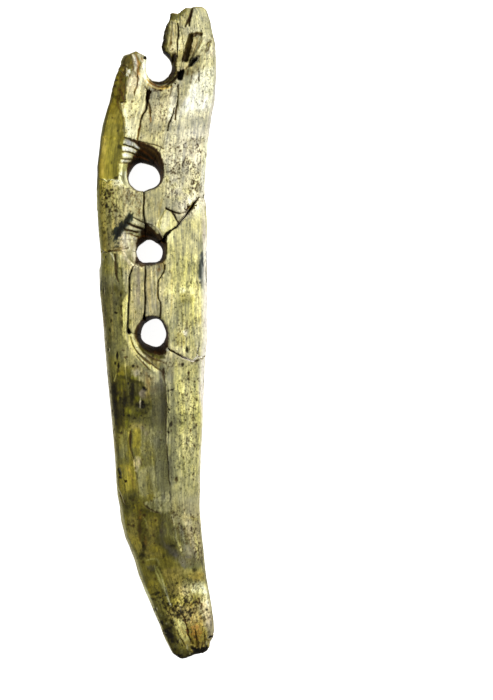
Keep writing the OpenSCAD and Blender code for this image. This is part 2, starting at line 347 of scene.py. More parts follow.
# ---------------------------------------------------------------- break lines in plan (mm)
H1, H2, H3, H4 = (0.5, 82.0), (-3.9, 48.0), (-2.3, 25.0), (-1.0, 0.0)
LINE_F = [(-3.0, 75.5), (-3.1, 72.5), (-2.9, 70.0), (-3.4, 68.4), (-4.3, 66.8), (-5.1, 65.0), (-5.5, 63.0), (-5.5, 60.6), (-5.6, 58.4), (-5.2, 53.0)]
LINE_G = [(3.6, 79.0), (6.3, 77.0), (6.5, 76.0), (6.3, 71.5), (5.3, 69.2), (4.2, 65.6), (3.4, 63.2), (1.6, 57.5), (-1.0, 52.5)]
LINE_E = [(-4.0, 43.6), (-4.2, 40.6), (-3.9, 37.6), (-3.5, 34.8), (-3.6, 31.8), (-3.4, 29.0)]
LINE_A = [(0.8, 28.2), (2.6, 29.2), (4.3, 31.4), (6.2, 32.8), (7.6, 34.6), (9.0, 36.2), (10.5, 38.3), (11.5, 40.1), (12.8, 41.7), (22.0, 42.3)]
LINE_B = [(1.9, 21.6), (2.4, 20.4), (2.1, 18.9), (1.4, 17.5), (0.6, 16.2), (0.4, 14.3), (0.4, 11.8), (0.6, 10.6), (1.1, 9.2), (1.1, 6.9), (0.9, 5.2)]
LINE_C = [(-3.2, 21.6), (-3.5, 20.2), (-3.4, 17.9), (-3.6, 14.2), (-3.6, 10.5), (-3.6, 7.0), (-3.8, 4.6)]
LINE_D = [(-6.6, 21.4), (-7.2, 20.0), (-8.0, 18.2), (-8.4, 16.0), (-8.4, 13.8), (-8.3, 11.4), (-8.8, 8.3), (-8.8, 5.5), (-9.0, 2.2), (-8.5, 0.5), (-6.4, -0.6)]
LINE_H = [(3.6, -4.6), (5.4, -5.8), (7.8, -7.3), (9.3, -7.8), (11.3, -8.7), (12.5, -7.5), (15.0, -7.3), (22.0, -7.2)]
LINE_S = [(7.0, 104), (7.2, 98), (7.0, 95), (7.6, 92.5), (8.0, 90), (8.2, 87.6), (8.0, 84.5), (7.2, 80.2), (5.2, 79.6)]
CROSS = [(-22, -7.6), (-10.6, -7.4), (-6.5, -6.2), (-3.2, -4.6)]
BACK_A = [(0.3, -55.0), (1.1, -50.0), (2.3, -44.5), (4.6, -29.0), (6.3, -21.5), (9.0, -6.0)]
BACK_UP = [(10.0, 9.0), (10.3, 36.0), (13.0, 42.0), (22.0, 42.5)]

SHEET_UP = [(-22, 80)] + CROSS + [H4, (4.3, 4.6), (6.0, 9.5)] + BACK_UP + [(22, 80)]
SHEET_LO = [(-1.5, -57), (-9, -58), (-22, -58.4)] + CROSS + [H4, (4.3, 4.6), (6.0, 9.5), (10.0, 9.0)] + BACK_A[::-1]
FLAKE = [(2.8, 38.0), (5.4, 37.2), (6.6, 33.6), (4.3, 31.4), (2.0, 29.6), (0.9, 34.5)]
LAMELLA = [(-22, 25.3), (-13.6, 25.2), (-12.0, 28), (-11.6, 34), (-11.7, 40), (-11.9, 46.6), (-14.2, 47.0), (-15.3, 46.4), (-16.8, 47.4), (-22, 47.6)]
FRONT_LAYER = [(3.9, -5.0), (3.2, -9.5), (3.1, -14.5), (3.6, -20), (3.7, -30), (3.2, -37), (3.9, -46), (4.2, -53), (9, -56.5), (22, -58), (22, -7.2), (15, -7.3), (12.5, -7.5), (11.3, -8.7), (9.3, -7.8), (7.8, -7.3), (5.4, -5.8)]
TIP_LINE = [(22, -92.4), (14, -93.2), (10, -92.2), (6, -92.8), (-22, -92)]

# Seam between the back sheets and the body: height with Y.
SEAM = ([-60, -58.5, -30, -10, 20, 40, 60, 76, 80], [3.4, 3.4, 3.1, 2.6, 2.3, 2.6, 3.8, 5.2, 5.4])

PLAN = {
    "tall_prong": [H1] + LINE_G + [H2] + LINE_E + [H3] + LINE_A + [(22, 104)] + LINE_S,
    "prong_splinter": [H1, (-4, 90), (-4, 104)] + LINE_S,
    "bridge_piece": [H1] + LINE_F + [H2] + LINE_G[::-1],
    "short_prong": [H1] + LINE_F + [H2] + LINE_E + [H3, (-12, 25), (-22, 25.3), (-22, 91), (-4, 90)],
    "edge_lamella": LAMELLA,
    "rim_flake": FLAKE,
    "left_sliver": [H3] + LINE_C + [H4] + LINE_D[::-1],
    "right_sliver": [H3] + LINE_B + [H4] + LINE_C[::-1],
    "right_shoulder": [H3] + LINE_B + [H4] + LINE_H + LINE_A[::-1],
    "upper_back_sheet": SHEET_UP,
    "lower_back_sheet": SHEET_LO,
    "handle": [H3] + LINE_D + [H4] + LINE_H + TIP_LINE + [(-22, 25.3), (-12, 25)],
    "front_right_lamella": FRONT_LAYER,
    "tip_piece": TIP_LINE[::-1] + [(22, -104), (-22, -104)],
}
SLOTS = {
    "tall_prong": "pale_ivory", "prong_splinter": "olive_ivory", "bridge_piece": "pale_ivory", "short_prong": "olive_ivory",
    "edge_lamella": "yellow_ivory", "rim_flake": "pale_ivory", "left_sliver": "olive_ivory", "right_sliver": "yellow_ivory",
    "right_shoulder": "pale_ivory", "upper_back_sheet": "pale_ivory", "lower_back_sheet": "yellow_ivory", "handle": "stained_ivory",
    "front_right_lamella": "yellow_ivory", "tip_piece": "stained_ivory",
}

# Where breaks gape at the front face: line, half-widths in mm, depth in mm.
GAPES = [
    (LINE_F[:4], [0.2, 0.32, 0.18, 0.06], 1.5),
    (LINE_F[3:9], [0.1, 0.14, 0.16, 0.08, 0.07, 0.06], 0.9),
    (LINE_G[2:7], [0.07, 0.08, 0.07, 0.14, 0.06], 0.7),
    (LINE_E, [0.1, 0.13, 0.11, 0.15, 0.12, 0.16], 1.4),
    (LINE_A[:9], [0.34, 0.3, 0.2, 0.14, 0.2, 0.3, 0.52, 0.36, 0.05], 1.6),
    (LINE_B, [0.12, 0.1, 0.07, 0.06, 0.09, 0.1, 0.08, 0.06, 0.1, 0.13, 0.12], 1.0),
    (LINE_C, [0.06, 0.08, 0.09, 0.12, 0.13, 0.16, 0.42], 1.2),
    (LINE_D[:10], [0.1, 0.12, 0.2, 0.2, 0.16, 0.14, 0.2, 0.15, 0.18, 0.5], 1.4),
    (LINE_H[:7], [0.12, 0.09, 0.09, 0.12, 0.06, 0.05, 0.04], 0.9),
    (LINE_S[1:5], [0.06, 0.1, 0.1, 0.08], 0.8),
    ([(2.8, 38.0), (5.4, 37.2), (6.6, 33.6)], [0.2, 0.16, 0.14], 0.9),
]

# The same at the back face.
BACK_GAPES = [
    (BACK_A[::-1], [0.12, 0.14, 0.16, 0.18, 0.24, 0.2], 1.2),
    (CROSS[1:], [0.16, 0.3, 0.3], 1.2),
]
# ---------------------------------------------------------------- colours, as sRGB 0-255, named once and used for every wash and stroke
PALETTE = {
    "white": (252, 244, 218), "pale": (243, 240, 206), "cream": (234, 228, 188), "ivory": (214, 207, 166), "straw": (212, 205, 138),
    "lemon": (226, 220, 128), "bone": (196, 190, 156), "greycream": (180, 172, 132), "grey": (150, 146, 116), "greyolive": (118, 114, 76),
    "ochre": (184, 164, 98), "gold": (156, 142, 56), "olive": (140, 129, 58), "moss": (112, 105, 50), "dkolive": (84, 79, 40),
    "stain": (52, 49, 27), "black": (24, 21, 14), "umber": (54, 39, 22), "brown": (104, 82, 46), "tan": (150, 128, 84),
    "orange": (178, 122, 58), "rust": (136, 88, 40), "slate": (44, 50, 48), "pewter": (104, 106, 100), "pink": (240, 224, 196),
    "mauve": (158, 144, 132), "amber": (206, 172, 84), "ash": (92, 87, 76), "lime": (124, 122, 38),
}
PAL = {k: np.array(v, F32) / 255 for k, v in PALETTE.items()}
CELL_MM = 0.16


class Face:
    """A painter's canvas laid over one side of the bar: colour, depth of relief, speckle, gloss. p and q are mm on the object."""

    def __init__(self, p0, p1, to_mm, base, across, seed):
        self.p = np.arange(p0, p1, CELL_MM)
        self.q = np.arange(-103.0, 103.0, CELL_MM)
        P, Q = np.meshgrid(self.p, self.q, indexing="ij")
        self.P, self.Q = P.astype(F32), Q.astype(F32)
        self.to_mm, self.seed = to_mm, seed
        self.rgb = np.empty(P.shape + (3,), F32)
        self.rgb[:] = PAL[base]
        self.depth = np.zeros(P.shape, F32)
        self.fleck = np.full(P.shape, 0.45, F32)  # how thick the fine dark flecks lie
        self.gloss = np.full(P.shape, 0.35, F32)
        s, t = across(self.P, self.Q).astype(F32), self.Q
        self.S, self.T = s, t
        self.fine = fbm2(s * 3.6, t * 0.30, 3, seed)  # narrow streaks along the grain
        self.mid = fbm2(s * 1.25, t * 0.085, 3, seed + 3)
        self.wide = fbm2(s * 0.42, t * 0.03, 3, seed + 5)
        self.spot = fbm2(self.P * 1.7, self.Q * 1.3, 3, seed + 7)
        self.blot = fbm2(self.P * 0.42, self.Q * 0.3, 3, seed + 9)
        self.rng = np.random.default_rng(seed)
        self.at(0, 0, 1)

    def at(self, x0, y0, s):
        """Drawing frame for the strokes that follow."""
        self.x0, self.y0, self.s = x0, y0, s
        return self

    def mm(self, pts):
        a = np.asarray(pts, float)
        p, q = self.to_mm(self.x0 + a[..., 0] / self.s, self.y0 + a[..., 1] / self.s)
        return np.stack([p, q], -1)

    def win(self, pts, pad):
        lo, hi = pts.min(0) - pad, pts.max(0) + pad
        i0, i1 = np.searchsorted(self.p, [lo[0], hi[0]])
        j0, j1 = np.searchsorted(self.q, [lo[1], hi[1]])
        return (slice(i0, i1), slice(j0, j1)) if i1 > i0 and j1 > j0 else None

    def lay(self, w, m, col, a, streak, mott, depth, fleck, gloss, geo):
        if streak:
            m = m * (1 - streak * (1 - step(0.5 * self.fine[w] + 0.5 * self.mid[w], 0.40, 0.60)))
        if mott:
            m = m * (1 - mott * (1 - step(self.spot[w], 0.40, 0.62)))
        if col is not None:
            k = (a * m)[..., None]
            self.rgb[w] = self.rgb[w] * (1 - k) + PAL[col] * k
        if depth:
            self.depth[w] = np.maximum(self.depth[w], geo * depth) if depth > 0 else self.depth[w] + geo * depth
        if fleck is not None:
            self.fleck[w] = self.fleck[w] * (1 - geo) + fleck * geo
        if gloss is not None:
            self.gloss[w] = self.gloss[w] * (1 - geo) + gloss * geo

    def wash(self, col, pts, a=1.0, soft=1.0, wob=0.5, streak=0.0, mott=0.0, depth=0.0, fleck=None, gloss=None, rnd=True, dsoft=None):
        """A closed area. soft is the width of its edge, wob how far the edge wanders, both mm."""
        P = self.mm(pts)
        if rnd:
            P = curve(P, 3, closed=True)
        w = self.win(P, soft + wob + 0.5)
        if w is None:
            return
        d = poly_sdf(self.P[w] + wob * 2 * (self.spot[w] - 0.5), self.Q[w] + wob * 3 * (self.fine[w] - 0.5), P)
        m = 1 - step(d, -soft / 2, soft / 2)
        geo = m if dsoft is None else 1 - step(d, -dsoft, 0)
        self.lay(w, m, col, a, streak, mott, depth, fleck, gloss, geo)

    def line(self, col, pts, width, a=1.0, soft=0.22, wob=0.12, streak=0.0, mott=0.0, depth=0.0, rnd=True, taper=True, fleck=None, gloss=None):
        """A stroke. width is in the drawing frame's units, one number or one for each point."""
        P = self.mm(pts)
        ws = np.broadcast_to(np.asarray(width, float), (len(P),)) / self.s / PX / 2
        if taper and np.isscalar(width) and len(P) > 2:
            ws = ws * np.interp(np.arange(len(P)), [0, 1, len(P) - 2, len(P) - 1], [0.45, 1, 1, 0.45])
        if rnd and len(P) > 2:
            Q = curve(P, 4)
            ws = np.interp(np.arange(len(Q)) / (len(Q) - 1), np.arange(len(P)) / (len(P) - 1), ws)
            P = Q
        w = self.win(P, ws.max() + soft + wob + 0.4)
        if w is None:
            return
        d, _ = line_dist(self.P[w] + wob * 2 * (self.spot[w] - 0.5), self.Q[w] + wob * 2 * (self.mid[w] - 0.5), P, ws)
        m = 1 - step(d, -soft / 2, soft / 2 + 0.05)
        self.lay(w, m, col, a, streak, mott, depth, fleck, gloss, m)

    def dabs(self, col, spots, a=1.0, soft=0.25, depth=0.0, wob=0.25, mott=0.0):
        """Spots: (u, v, width, height) or with a turn in degrees, clockwise on the plate."""
        for sp in spots:
            u, v, bw, bh = sp[:4]
            turn = math.radians(sp[4]) if len(sp) > 4 else 0.0
            c = self.mm([(u, v)])[0]
            e = self.mm([(u + math.cos(turn), v + math.sin(turn))])[0] - c
            e = e / (np.hypot(*e) + 1e-9)
            rw, rh = bw / self.s / PX / 2, bh / self.s / PX / 2
            r = max(rw, rh) + soft + wob + 0.3
            w = self.win(np.array([c - r, c + r]), 0)
            if w is None:
                continue
            dx = self.P[w] - c[0] + wob * 2 * (self.spot[w] - 0.5)
            dy = self.Q[w] - c[1] + wob * 2 * (self.fine[w] - 0.5)
            x, y = dx * e[0] + dy * e[1], -dx * e[1] + dy * e[0]
            k = np.hypot(x / rw, y / rh)
            d = (k - 1) * min(rw, rh)
            m = 1 - step(d, -soft / 2, soft / 2)
            self.lay(w, m, col, a, 0, mott, depth, None, None, m)

    def spray(self, col, pts, n, r=(0.12, 0.3), a=0.85, tall=1.6, depth=0.0, soft=2.6):
        """n seeded specks, sizes in mm, longer along the grain by tall. They thin out over soft mm at the area's border and lie in loose clumps."""
        P = self.mm(pts)
        lo, hi = P.min(0) - soft * 0.4, P.max(0) + soft * 0.4
        got = 0
        for _ in range(60):
            c = lo + (hi - lo) * self.rng.random((n, 2))
            d = poly_sdf(c[:, 0], c[:, 1], P)
            clump = 0.25 + 0.75 * step(fbm2(c[:, 0] * 0.55, c[:, 1] * 0.4, 2, self.seed + 21), 0.36, 0.6)
            c = c[self.rng.random(n) < step(-d, -0.4 * soft, 0.6 * soft) * clump][: n - got]
            for x, y in c:
                rad = r[0] + (r[1] - r[0]) * self.rng.random() ** 2
                k = 0.8 + (tall - 0.8) * self.rng.random()
                i0, i1 = np.searchsorted(self.p, [x - rad - 0.2, x + rad + 0.2])
                j0, j1 = np.searchsorted(self.q, [y - rad * k - 0.2, y + rad * k + 0.2])
                if i1 <= i0 or j1 <= j0:
                    continue
                w = (slice(i0, i1), slice(j0, j1))
                d = np.hypot((self.P[w] - x) / rad, (self.Q[w] - y) / (rad * k)) - 1 + 0.7 * (self.spot[w] - 0.5)
                m = 1 - step(d, -0.45, 0.35)
                aa = a * (0.55 + 0.45 * self.rng.random())
                self.rgb[w] = self.rgb[w] * (1 - aa * m[..., None]) + PAL[col] * (aa * m[..., None])
                if depth:
                    self.depth[w] = np.maximum(self.depth[w], depth * m)
            got += len(c)
            if got >= n:
                break

    def shade(self, pts, gain, soft=4.0, wob=0.8, hue=(1, 1, 1)):
        """Lightens or darkens an area by a factor; hue leans its colour."""
        P = curve(self.mm(pts), 3, closed=True)
        w = self.win(P, soft + 1)
        if w is None:
            return
        d = poly_sdf(self.P[w] + wob * 2 * (self.spot[w] - 0.5), self.Q[w], P)
        m = 1 - step(d, -soft / 2, soft / 2)
        self.rgb[w] *= 1 + (gain * np.array(hue, F32) - 1) * m[..., None]

    def texture(self, amount=1.0, grain=1.0, hue=1.0):
        """Streaks, mottling and hue drift all over."""
        k = 1 + amount * (grain * (0.50 * (self.fine - 0.5) + 0.26 * (self.mid - 0.5)) + 0.32 * (self.spot - 0.5) + 0.10 * (self.blot - 0.5))
        self.rgb *= k[..., None]
        warm = hue * amount * (0.9 * (self.blot - 0.5) + 0.5 * grain * (self.mid - 0.5) + 0.9 * grain * (self.fine - 0.5) + 0.5 * (self.spot - 0.5))
        self.rgb *= np.stack([1 + 0.03 * warm, 1 + 0.015 * warm, 1 - 0.2 * warm], -1)
        self.rgb = np.clip(self.rgb, 0.02, 1.0).astype(F32)

    def sample(self, field, p, q):
        u = np.clip((p - self.p[0]) / CELL_MM, 0, len(self.p) - 1.001)
        v = np.clip((q - self.q[0]) / CELL_MM, 0, len(self.q) - 1.001)
        i, j = u.astype(int), v.astype(int)
        fu, fv = (u - i).astype(F32), (v - j).astype(F32)
        if field.ndim == 3:
            fu, fv = fu[..., None], fv[..., None]
        return (field[i, j] * (1 - fu) + field[i + 1, j] * fu) * (1 - fv) + (field[i, j + 1] * (1 - fu) + field[i + 1, j + 1] * fu) * fv


def across_plan(x, y):
    yc = np.clip(y, -100.5, 100.5)
    l, r = edge_left(yc), edge_right(yc)
    return (x - (l + r) / 2) / (r - l) * 32.0


def across_edge(z, y):
    return z - z_lo(np.clip(y, -100.5, 100.5))


def flip(fn):
    """left_mm and right_mm give (Y, Z); the edge canvases want (Z, Y)."""
    def to(x, y):
        yy, zz = fn(x, y)
        return zz, yy
    return to


A = Face(-20.6, 20.6, front_mm, "greycream", across_plan, 101)
B = Face(-20.6, 20.6, back_mm, "ivory", across_plan, 202)
L = Face(-1.6, 17.2, flip(left_mm), "ivory", across_edge, 303)
R = Face(-1.6, 17.2, flip(right_mm), "cream", across_edge, 404)

# ---------------------------------------------------------------- front face, first the broad washes (plate coordinates)
A.at(0, 0, 1)
A.wash("bone", [(160, 0), (225, 0), (225, 120), (175, 120), (160, 60)], 0.7, soft=2)
A.wash("greycream", [(120, 50), (150, 50), (172, 90), (178, 190), (172, 240), (120, 240), (118, 140)], 0.8, soft=3)
A.wash("ivory", [(163, 150), (215, 150), (206, 200), (203, 240), (160, 240), (158, 200)], 0.6, soft=4, streak=0.3)
A.wash("olive", [(98, 60), (122, 60), (128, 110), (120, 175), (96, 182)], 0.9, soft=2)
A.wash("ochre", [(96, 182), (118, 180), (126, 260), (120, 330), (96, 330)], 0.55, soft=4, streak=0.5)
A.wash("greyolive", [(96, 262), (128, 262), (130, 330), (140, 372), (112, 380), (100, 330)], 0.9, soft=3, streak=0.25)
A.wash("grey", [(128, 262), (164, 262), (164, 318), (128, 318)], 0.7, soft=2, streak=0.4)
A.wash("straw", [(164, 245), (178, 225), (208, 215), (208, 345), (190, 360), (166, 345), (160, 290)], 0.8, soft=3, streak=0.45)
A.wash("greycream", [(130, 340), (168, 350), (208, 352), (208, 400), (166, 400), (140, 392), (122, 372)], 0.7, soft=4, streak=0.3)
A.wash("greyolive", [(108, 370), (166, 375), (168, 500), (172, 520), (124, 520), (112, 460)], 0.9, soft=4, streak=0.2)
A.wash("moss", [(110, 380), (150, 380), (150, 470), (160, 520), (124, 520), (114, 450)], 0.6, soft=6, mott=0.4)
A.wash("straw", [(172, 385), (208, 380), (206, 520), (176, 520)], 0.85, soft=2.5, streak=0.4)
A.wash("moss", [(118, 505), (172, 505), (192, 560), (196, 600), (152, 610), (124, 540)], 0.95, soft=5, mott=0.2)
A.wash("ochre", [(172, 505), (206, 505), (208, 560), (196, 575), (182, 540)], 0.7, soft=4, streak=0.4)
A.wash("olive", [(140, 560), (200, 565), (216, 640), (214, 665), (160, 665), (140, 600)], 0.95, soft=5, mott=0.3)

# ---- upper end
A.at(95, 0, 11.63)
A.wash("ivory", [(930, 100), (1180, 60), (1320, 100), (1380, 350), (1450, 700), (1440, 950), (1330, 1568), (860, 1568), (930, 1200), (1000, 950), (940, 700), (900, 400)], 0.85, soft=1.2)
A.wash("grey", [(1180, 80), (1300, 110), (1350, 300), (1370, 430), (1240, 400), (1120, 400), (1110, 300), (1130, 180)], 0.45, soft=1.2, mott=0.5)
A.wash("bone", [(1130, 330), (1250, 340), (1360, 420), (1400, 520), (1300, 500), (1230, 400), (1130, 400)], 0.7, soft=0.8)
A.wash("olive", [(960, 180), (1060, 95), (1115, 105), (1100, 200), (1040, 310), (960, 300)], 0.75, soft=0.7, streak=0.5)
A.line("pale", [(1000, 200), (985, 260), (975, 300)], 22, 0.7)
A.line("cream", [(1060, 150), (1020, 240), (1010, 330)], 16, 0.6, streak=0.4)
A.line("pale", [(1020, 230), (1000, 300), (1000, 380)], 12, 0.7)
A.wash("dkolive", [(875, 160), (935, 165), (945, 240), (900, 255), (865, 240)], 0.9, soft=0.5, mott=0.3)
A.line("pale", [(930, 160), (962, 185)], 12, 0.7)
A.wash("bone", [(850, 270), (960, 290), (970, 420), (955, 640), (880, 660), (830, 600), (820, 500)], 0.75, soft=0.5, streak=0.4, depth=0.55, dsoft=0.8)
A.line("brown", [(905, 330), (885, 480), (870, 590)], 22, 0.6, streak=0.6, depth=0.7)
A.line("brown", [(935, 300), (930, 420), (910, 560)], 12, 0.5, streak=0.5, depth=0.8)
A.line("ivory", [(885, 290), (870, 430), (850, 560)], 10, 0.55, streak=0.4)
A.line("ivory", [(925, 400), (915, 520), (925, 600)], 9, 0.55)
A.dabs("umber", [(885, 510, 26, 44, 10), (905, 585, 20, 30, 0), (862, 540, 10, 30, 10)], 0.85, depth=0.9)
# painted shadow: dark umber edge down the left side of the tall prong's splinter bands
A.wash("umber", [(835, 285), (800, 420), (775, 520), (765, 590), (800, 640), (850, 700), (880, 750), (905, 700), (850, 630), (822, 590), (822, 480), (850, 340)], 0.92, soft=0.4)
A.line("umber", [(965, 285), (974, 400), (960, 500), (962, 620), (955, 670)], [10, 14, 16, 10, 8], 0.95, depth=0.9)
A.line("pale", [(985, 300), (992, 420), (985, 560), (960, 660), (950, 730)], 15, 0.75)
A.wash("greycream", [(1000, 330), (1080, 330), (1075, 470), (1030, 620), (1000, 730), (965, 740), (985, 560)], 0.8, soft=0.5, streak=0.3)
A.dabs("brown", [(1010, 470, 30, 10, 0), (1012, 500, 30, 8, 0), (1010, 530, 30, 8, 0), (1008, 550, 24, 8, 0)], 0.6)
A.line("umber", [(1128, 110), (1112, 190), (1085, 250), (1052, 320)], [18, 30, 26, 14], 0.95, depth=1.1)
A.line("umber", [(1112, 190), (1100, 250), (1097, 315)], [20, 22, 12], 0.9, depth=1.0)
A.line("dkolive", [(1150, 80), (1130, 110)], 24, 0.8, depth=0.5)
A.wash("ivory", [(1250, 395), (1345, 430), (1350, 480), (1290, 520), (1240, 480)], 0.55, soft=0.5, mott=0.4)
A.wash("grey", [(1145, 425), (1200, 398), (1255, 398), (1242, 470), (1205, 560), (1165, 650), (1112, 700), (1095, 650), (1138, 520)], 0.85, soft=0.4, streak=0.35, depth=0.8, dsoft=0.6)
A.line("brown", [(1185, 450), (1165, 560), (1130, 660)], 16, 0.75, depth=1.1)
A.line("ivory", [(1205, 460), (1180, 560), (1145, 660)], 9, 0.65, streak=0.3)
A.line("ivory", [(1160, 450), (1140, 540)], 12, 0.5)
A.line("dkolive", [(1230, 470), (1215, 540), (1180, 620)], 14, 0.6)
A.line("umber", [(1150, 440), (1190, 402), (1245, 400), (1240, 425)], 16, 0.9, depth=1.0)
A.dabs("umber", [(1222, 412, 36, 24, 0), (1165, 430, 26, 20, 0)], 0.9, depth=1.1)
A.wash("umber", [(1100, 412), (1142, 402), (1136, 520), (1112, 620), (1080, 728), (1010, 728), (1030, 640), (1050, 560), (1076, 470)], 0.97, soft=0.35, depth=1.7, dsoft=0.4, wob=0.25)
A.line("brown", [(1118, 430), (1100, 530), (1070, 640)], 14, 0.5, streak=0.4)
A.wash("black", [(1085, 768), (1118, 704), (1168, 668), (1216, 660), (1202, 716), (1152, 762), (1092, 800)], 0.97, soft=0.35, depth=2.3, dsoft=0.5, wob=0.3)
A.line("dkolive", [(1150, 660), (1110, 700), (1090, 745)], 14, 0.8, depth=0.9)
A.wash("black", [(955, 895), (972, 850), (1045, 812), (1040, 872), (1016, 948), (984, 946), (950, 912)], 0.97, soft=0.35, depth=2.3, dsoft=0.5, wob=0.25)
A.wash("pink", [(945, 742), (1000, 742), (1078, 736), (1088, 768), (1066, 808), (1000, 826), (955, 848), (945, 790)], 0.7, soft=0.5)
A.line("brown", [(1085, 770), (1060, 812)], 14, 0.7, depth=0.5)
# the first hole's right wall: dark olive-brown, deepened as painted shade where the wall turns from the light
A.wash("dkolive", [(880, 720), (950, 640), (962, 760), (952, 860), (884, 945), (782, 990), (700, 992), (640, 958), (700, 958), (790, 948), (858, 870), (885, 790)], 0.9, soft=0.6)
A.line("umber", [(885, 700), (890, 800), (866, 880), (800, 950), (720, 965)], 26, 0.75, soft=0.7)
A.line("umber", [(905, 640), (915, 700), (905, 760)], 26, 0.8, depth=0.7)
A.line("olive", [(925, 850), (885, 910), (820, 960), (760, 985)], 16, 0.75)
A.line("cream", [(908, 905), (890, 930), (862, 948)], 16, 0.8)
A.line("umber", [(960, 880), (930, 920), (890, 960), (850, 990), (820, 1005)], 15, 0.85, depth=0.8)
# painted highlights: amber, cream and pale arcs along the first hole's lower rim
A.line("amber", [(590, 930), (640, 975), (700, 1020), (760, 1035), (815, 1020), (845, 1005)], 42, 0.75, soft=0.5)
A.line("cream", [(600, 960), (650, 1000), (710, 1032), (770, 1044)], 13, 0.9)
A.line("pale", [(650, 950), (690, 985), (735, 1005)], 10, 0.9)
A.line("rust", [(640, 935), (680, 975), (730, 1012), (780, 1020), (830, 1008)], 9, 0.8, depth=0.4)
A.line("rust", [(600, 940), (630, 972)], 9, 0.7)
A.line("umber", [(640, 930), (690, 962), (740, 975), (800, 970)], 14, 0.7)
A.dabs("umber", [(705, 1052, 26, 14, 20), (762, 1062, 34, 24, -20), (840, 1020, 30, 24, 0), (893, 1012, 30, 22, 60), (936, 984, 24, 20, 0), (690, 1050, 12, 10, 0)], 0.85, depth=0.5)
A.wash("olive", [(1300, 540), (1335, 500), (1352, 480), (1340, 520), (1330, 600), (1300, 600), (1310, 560)], 0.5, soft=0.4, mott=0.4)
A.line("brown", [(1288, 535), (1320, 505), (1352, 474)], 11, 0.8, depth=0.4)
A.line("brown", [(1335, 520), (1320, 575), (1292, 620)], 13, 0.75, depth=0.3)
A.dabs("brown", [(1290, 590, 14, 40, 15), (1240, 600, 12, 30, 0), (1228, 660, 16, 12, 0)], 0.6)
A.wash("pink", [(1360, 530), (1400, 560), (1410, 640), (1350, 680), (1310, 640), (1330, 580)], 0.4, soft=0.5)
A.wash("greycream", [(1400, 540), (1432, 620), (1442, 760), (1390, 792), (1345, 770), (1380, 690), (1410, 640)], 0.8, soft=0.6, mott=0.3)
A.wash("pale", [(1120, 960), (1200, 850), (1340, 790), (1430, 810), (1436, 1000), (1390, 1260), (1250, 1290), (1100, 1300), (965, 1400), (1010, 1260), (1085, 1100)], 0.95, soft=1.4, fleck=0.12)
A.wash("cream", [(1000, 1300), (1250, 1290), (1380, 1250), (1340, 1568), (850, 1568), (900, 1430)], 0.7, soft=2.0, streak=0.2, fleck=0.2)
A.wash("bone", [(1290, 1250), (1390, 1200), (1360, 1400), (1330, 1568), (1250, 1568), (1260, 1400)], 0.6, soft=1.4, mott=0.4)
A.wash("greycream", [(1050, 820), (1122, 810), (1132, 900), (1092, 1090), (1020, 1205), (962, 1300), (942, 1280), (972, 1100), (985, 980), (1030, 900)], 0.75, soft=0.6, streak=0.3)
A.wash("grey", [(1056, 840), (1118, 815), (1122, 900), (1085, 1050), (1030, 1150), (1010, 1100), (1040, 960)], 0.6, soft=0.7, streak=0.3)
A.line("brown", [(1085, 830), (1075, 880)], 16, 0.7)
A.line("brown", [(1118, 815), (1126, 900), (1112, 980)], 8, 0.6, depth=0.3)
A.line("umber", [(1210, 840), (1212, 900), (1218, 955)], 9, 0.8, depth=0.4)
A.line("brown", [(1182, 935), (1172, 975)], 8, 0.7, depth=0.3)
A.line("brown", [(1195, 790), (1205, 850)], 8, 0.5)
A.dabs("brown", [(1310, 880, 18, 16, 0), (1340, 830, 10, 10, 0), (1405, 850, 14, 20, 0), (1422, 985, 14, 16, 0), (1255, 1185, 24, 20, 0), (1188, 1220, 12, 12, 0), (1055, 1490, 12, 22, 0), (1280, 1120, 10, 10, 0), (1262, 1090, 14, 8, 0), (1300, 1085, 10, 8, 0)], 0.7)
A.spray("grey", [(1250, 780), (1430, 780), (1430, 1250), (1330, 1568), (1260, 1568), (1260, 1150), (1180, 900)], 90, (0.1, 0.22), 0.6)
A.wash("pink", [(400, 915), (440, 880), (500, 870), (540, 900), (550, 1000), (520, 1100), (440, 1120), (375, 1080), (372, 960)], 0.55, soft=0.8, mott=0.2)
A.wash("ivory", [(365, 1080), (480, 1080), (590, 1050), (600, 1200), (560, 1330), (515, 1480), (500, 1568), (345, 1568), (345, 1400), (300, 1235), (365, 1205)], 0.7, soft=0.8, streak=0.2)
A.line("pale", [(330, 1225), (365, 1350), (375, 1568)], 24, 0.45, soft=0.8)
A.line("brown", [(495, 885), (500, 925), (492, 1000), (476, 1050), (462, 1080), (460, 1120)], [16, 10, 7, 6, 12, 6], 0.9, depth=0.5)
A.dabs("umber", [(495, 905, 26, 16, 0), (585, 1020, 16, 14, 0), (440, 1195, 22, 26, 0), (480, 1222, 16, 12, 0), (405, 1300, 14, 16, 0), (600, 1450, 12, 12, 0)], 0.7)
# painted light: the first hole's left wall, which faces the light, nearly white
A.wash("white", [(545, 720), (602, 690), (606, 800), (600, 900), (640, 965), (600, 960), (545, 880), (530, 800)], 0.6, soft=0.6)
A.wash("moss", [(300, 770), (372, 770), (432, 800), (424, 880), (380, 912), (367, 1000), (362, 1190), (312, 1192), (280, 1140), (200, 1165), (160, 1150), (215, 950), (250, 850)], 0.95, soft=0.5, mott=0.25, depth=0.4, dsoft=1.0)
A.wash("dkolive", [(318, 660), (400, 628), (445, 680), (470, 765), (480, 800), (422, 802), (360, 762), (300, 775)], 0.9, soft=0.5, mott=0.25, depth=0.3)
A.line("umber", [(300, 700), (340, 655), (400, 632)], 20, 0.7)
A.line("umber", [(290, 780), (340, 770), (380, 762)], 16, 0.6)
A.line("olive", [(350, 700), (420, 720), (450, 760)], 26, 0.6)
A.line("pink", [(432, 615), (452, 680), (480, 745), (492, 800)], [22, 34, 26, 10], 0.9, depth=-0.2)
A.line("olive", [(485, 620), (505, 690), (535, 745), (515, 790)], 26, 0.85, depth=0.3)
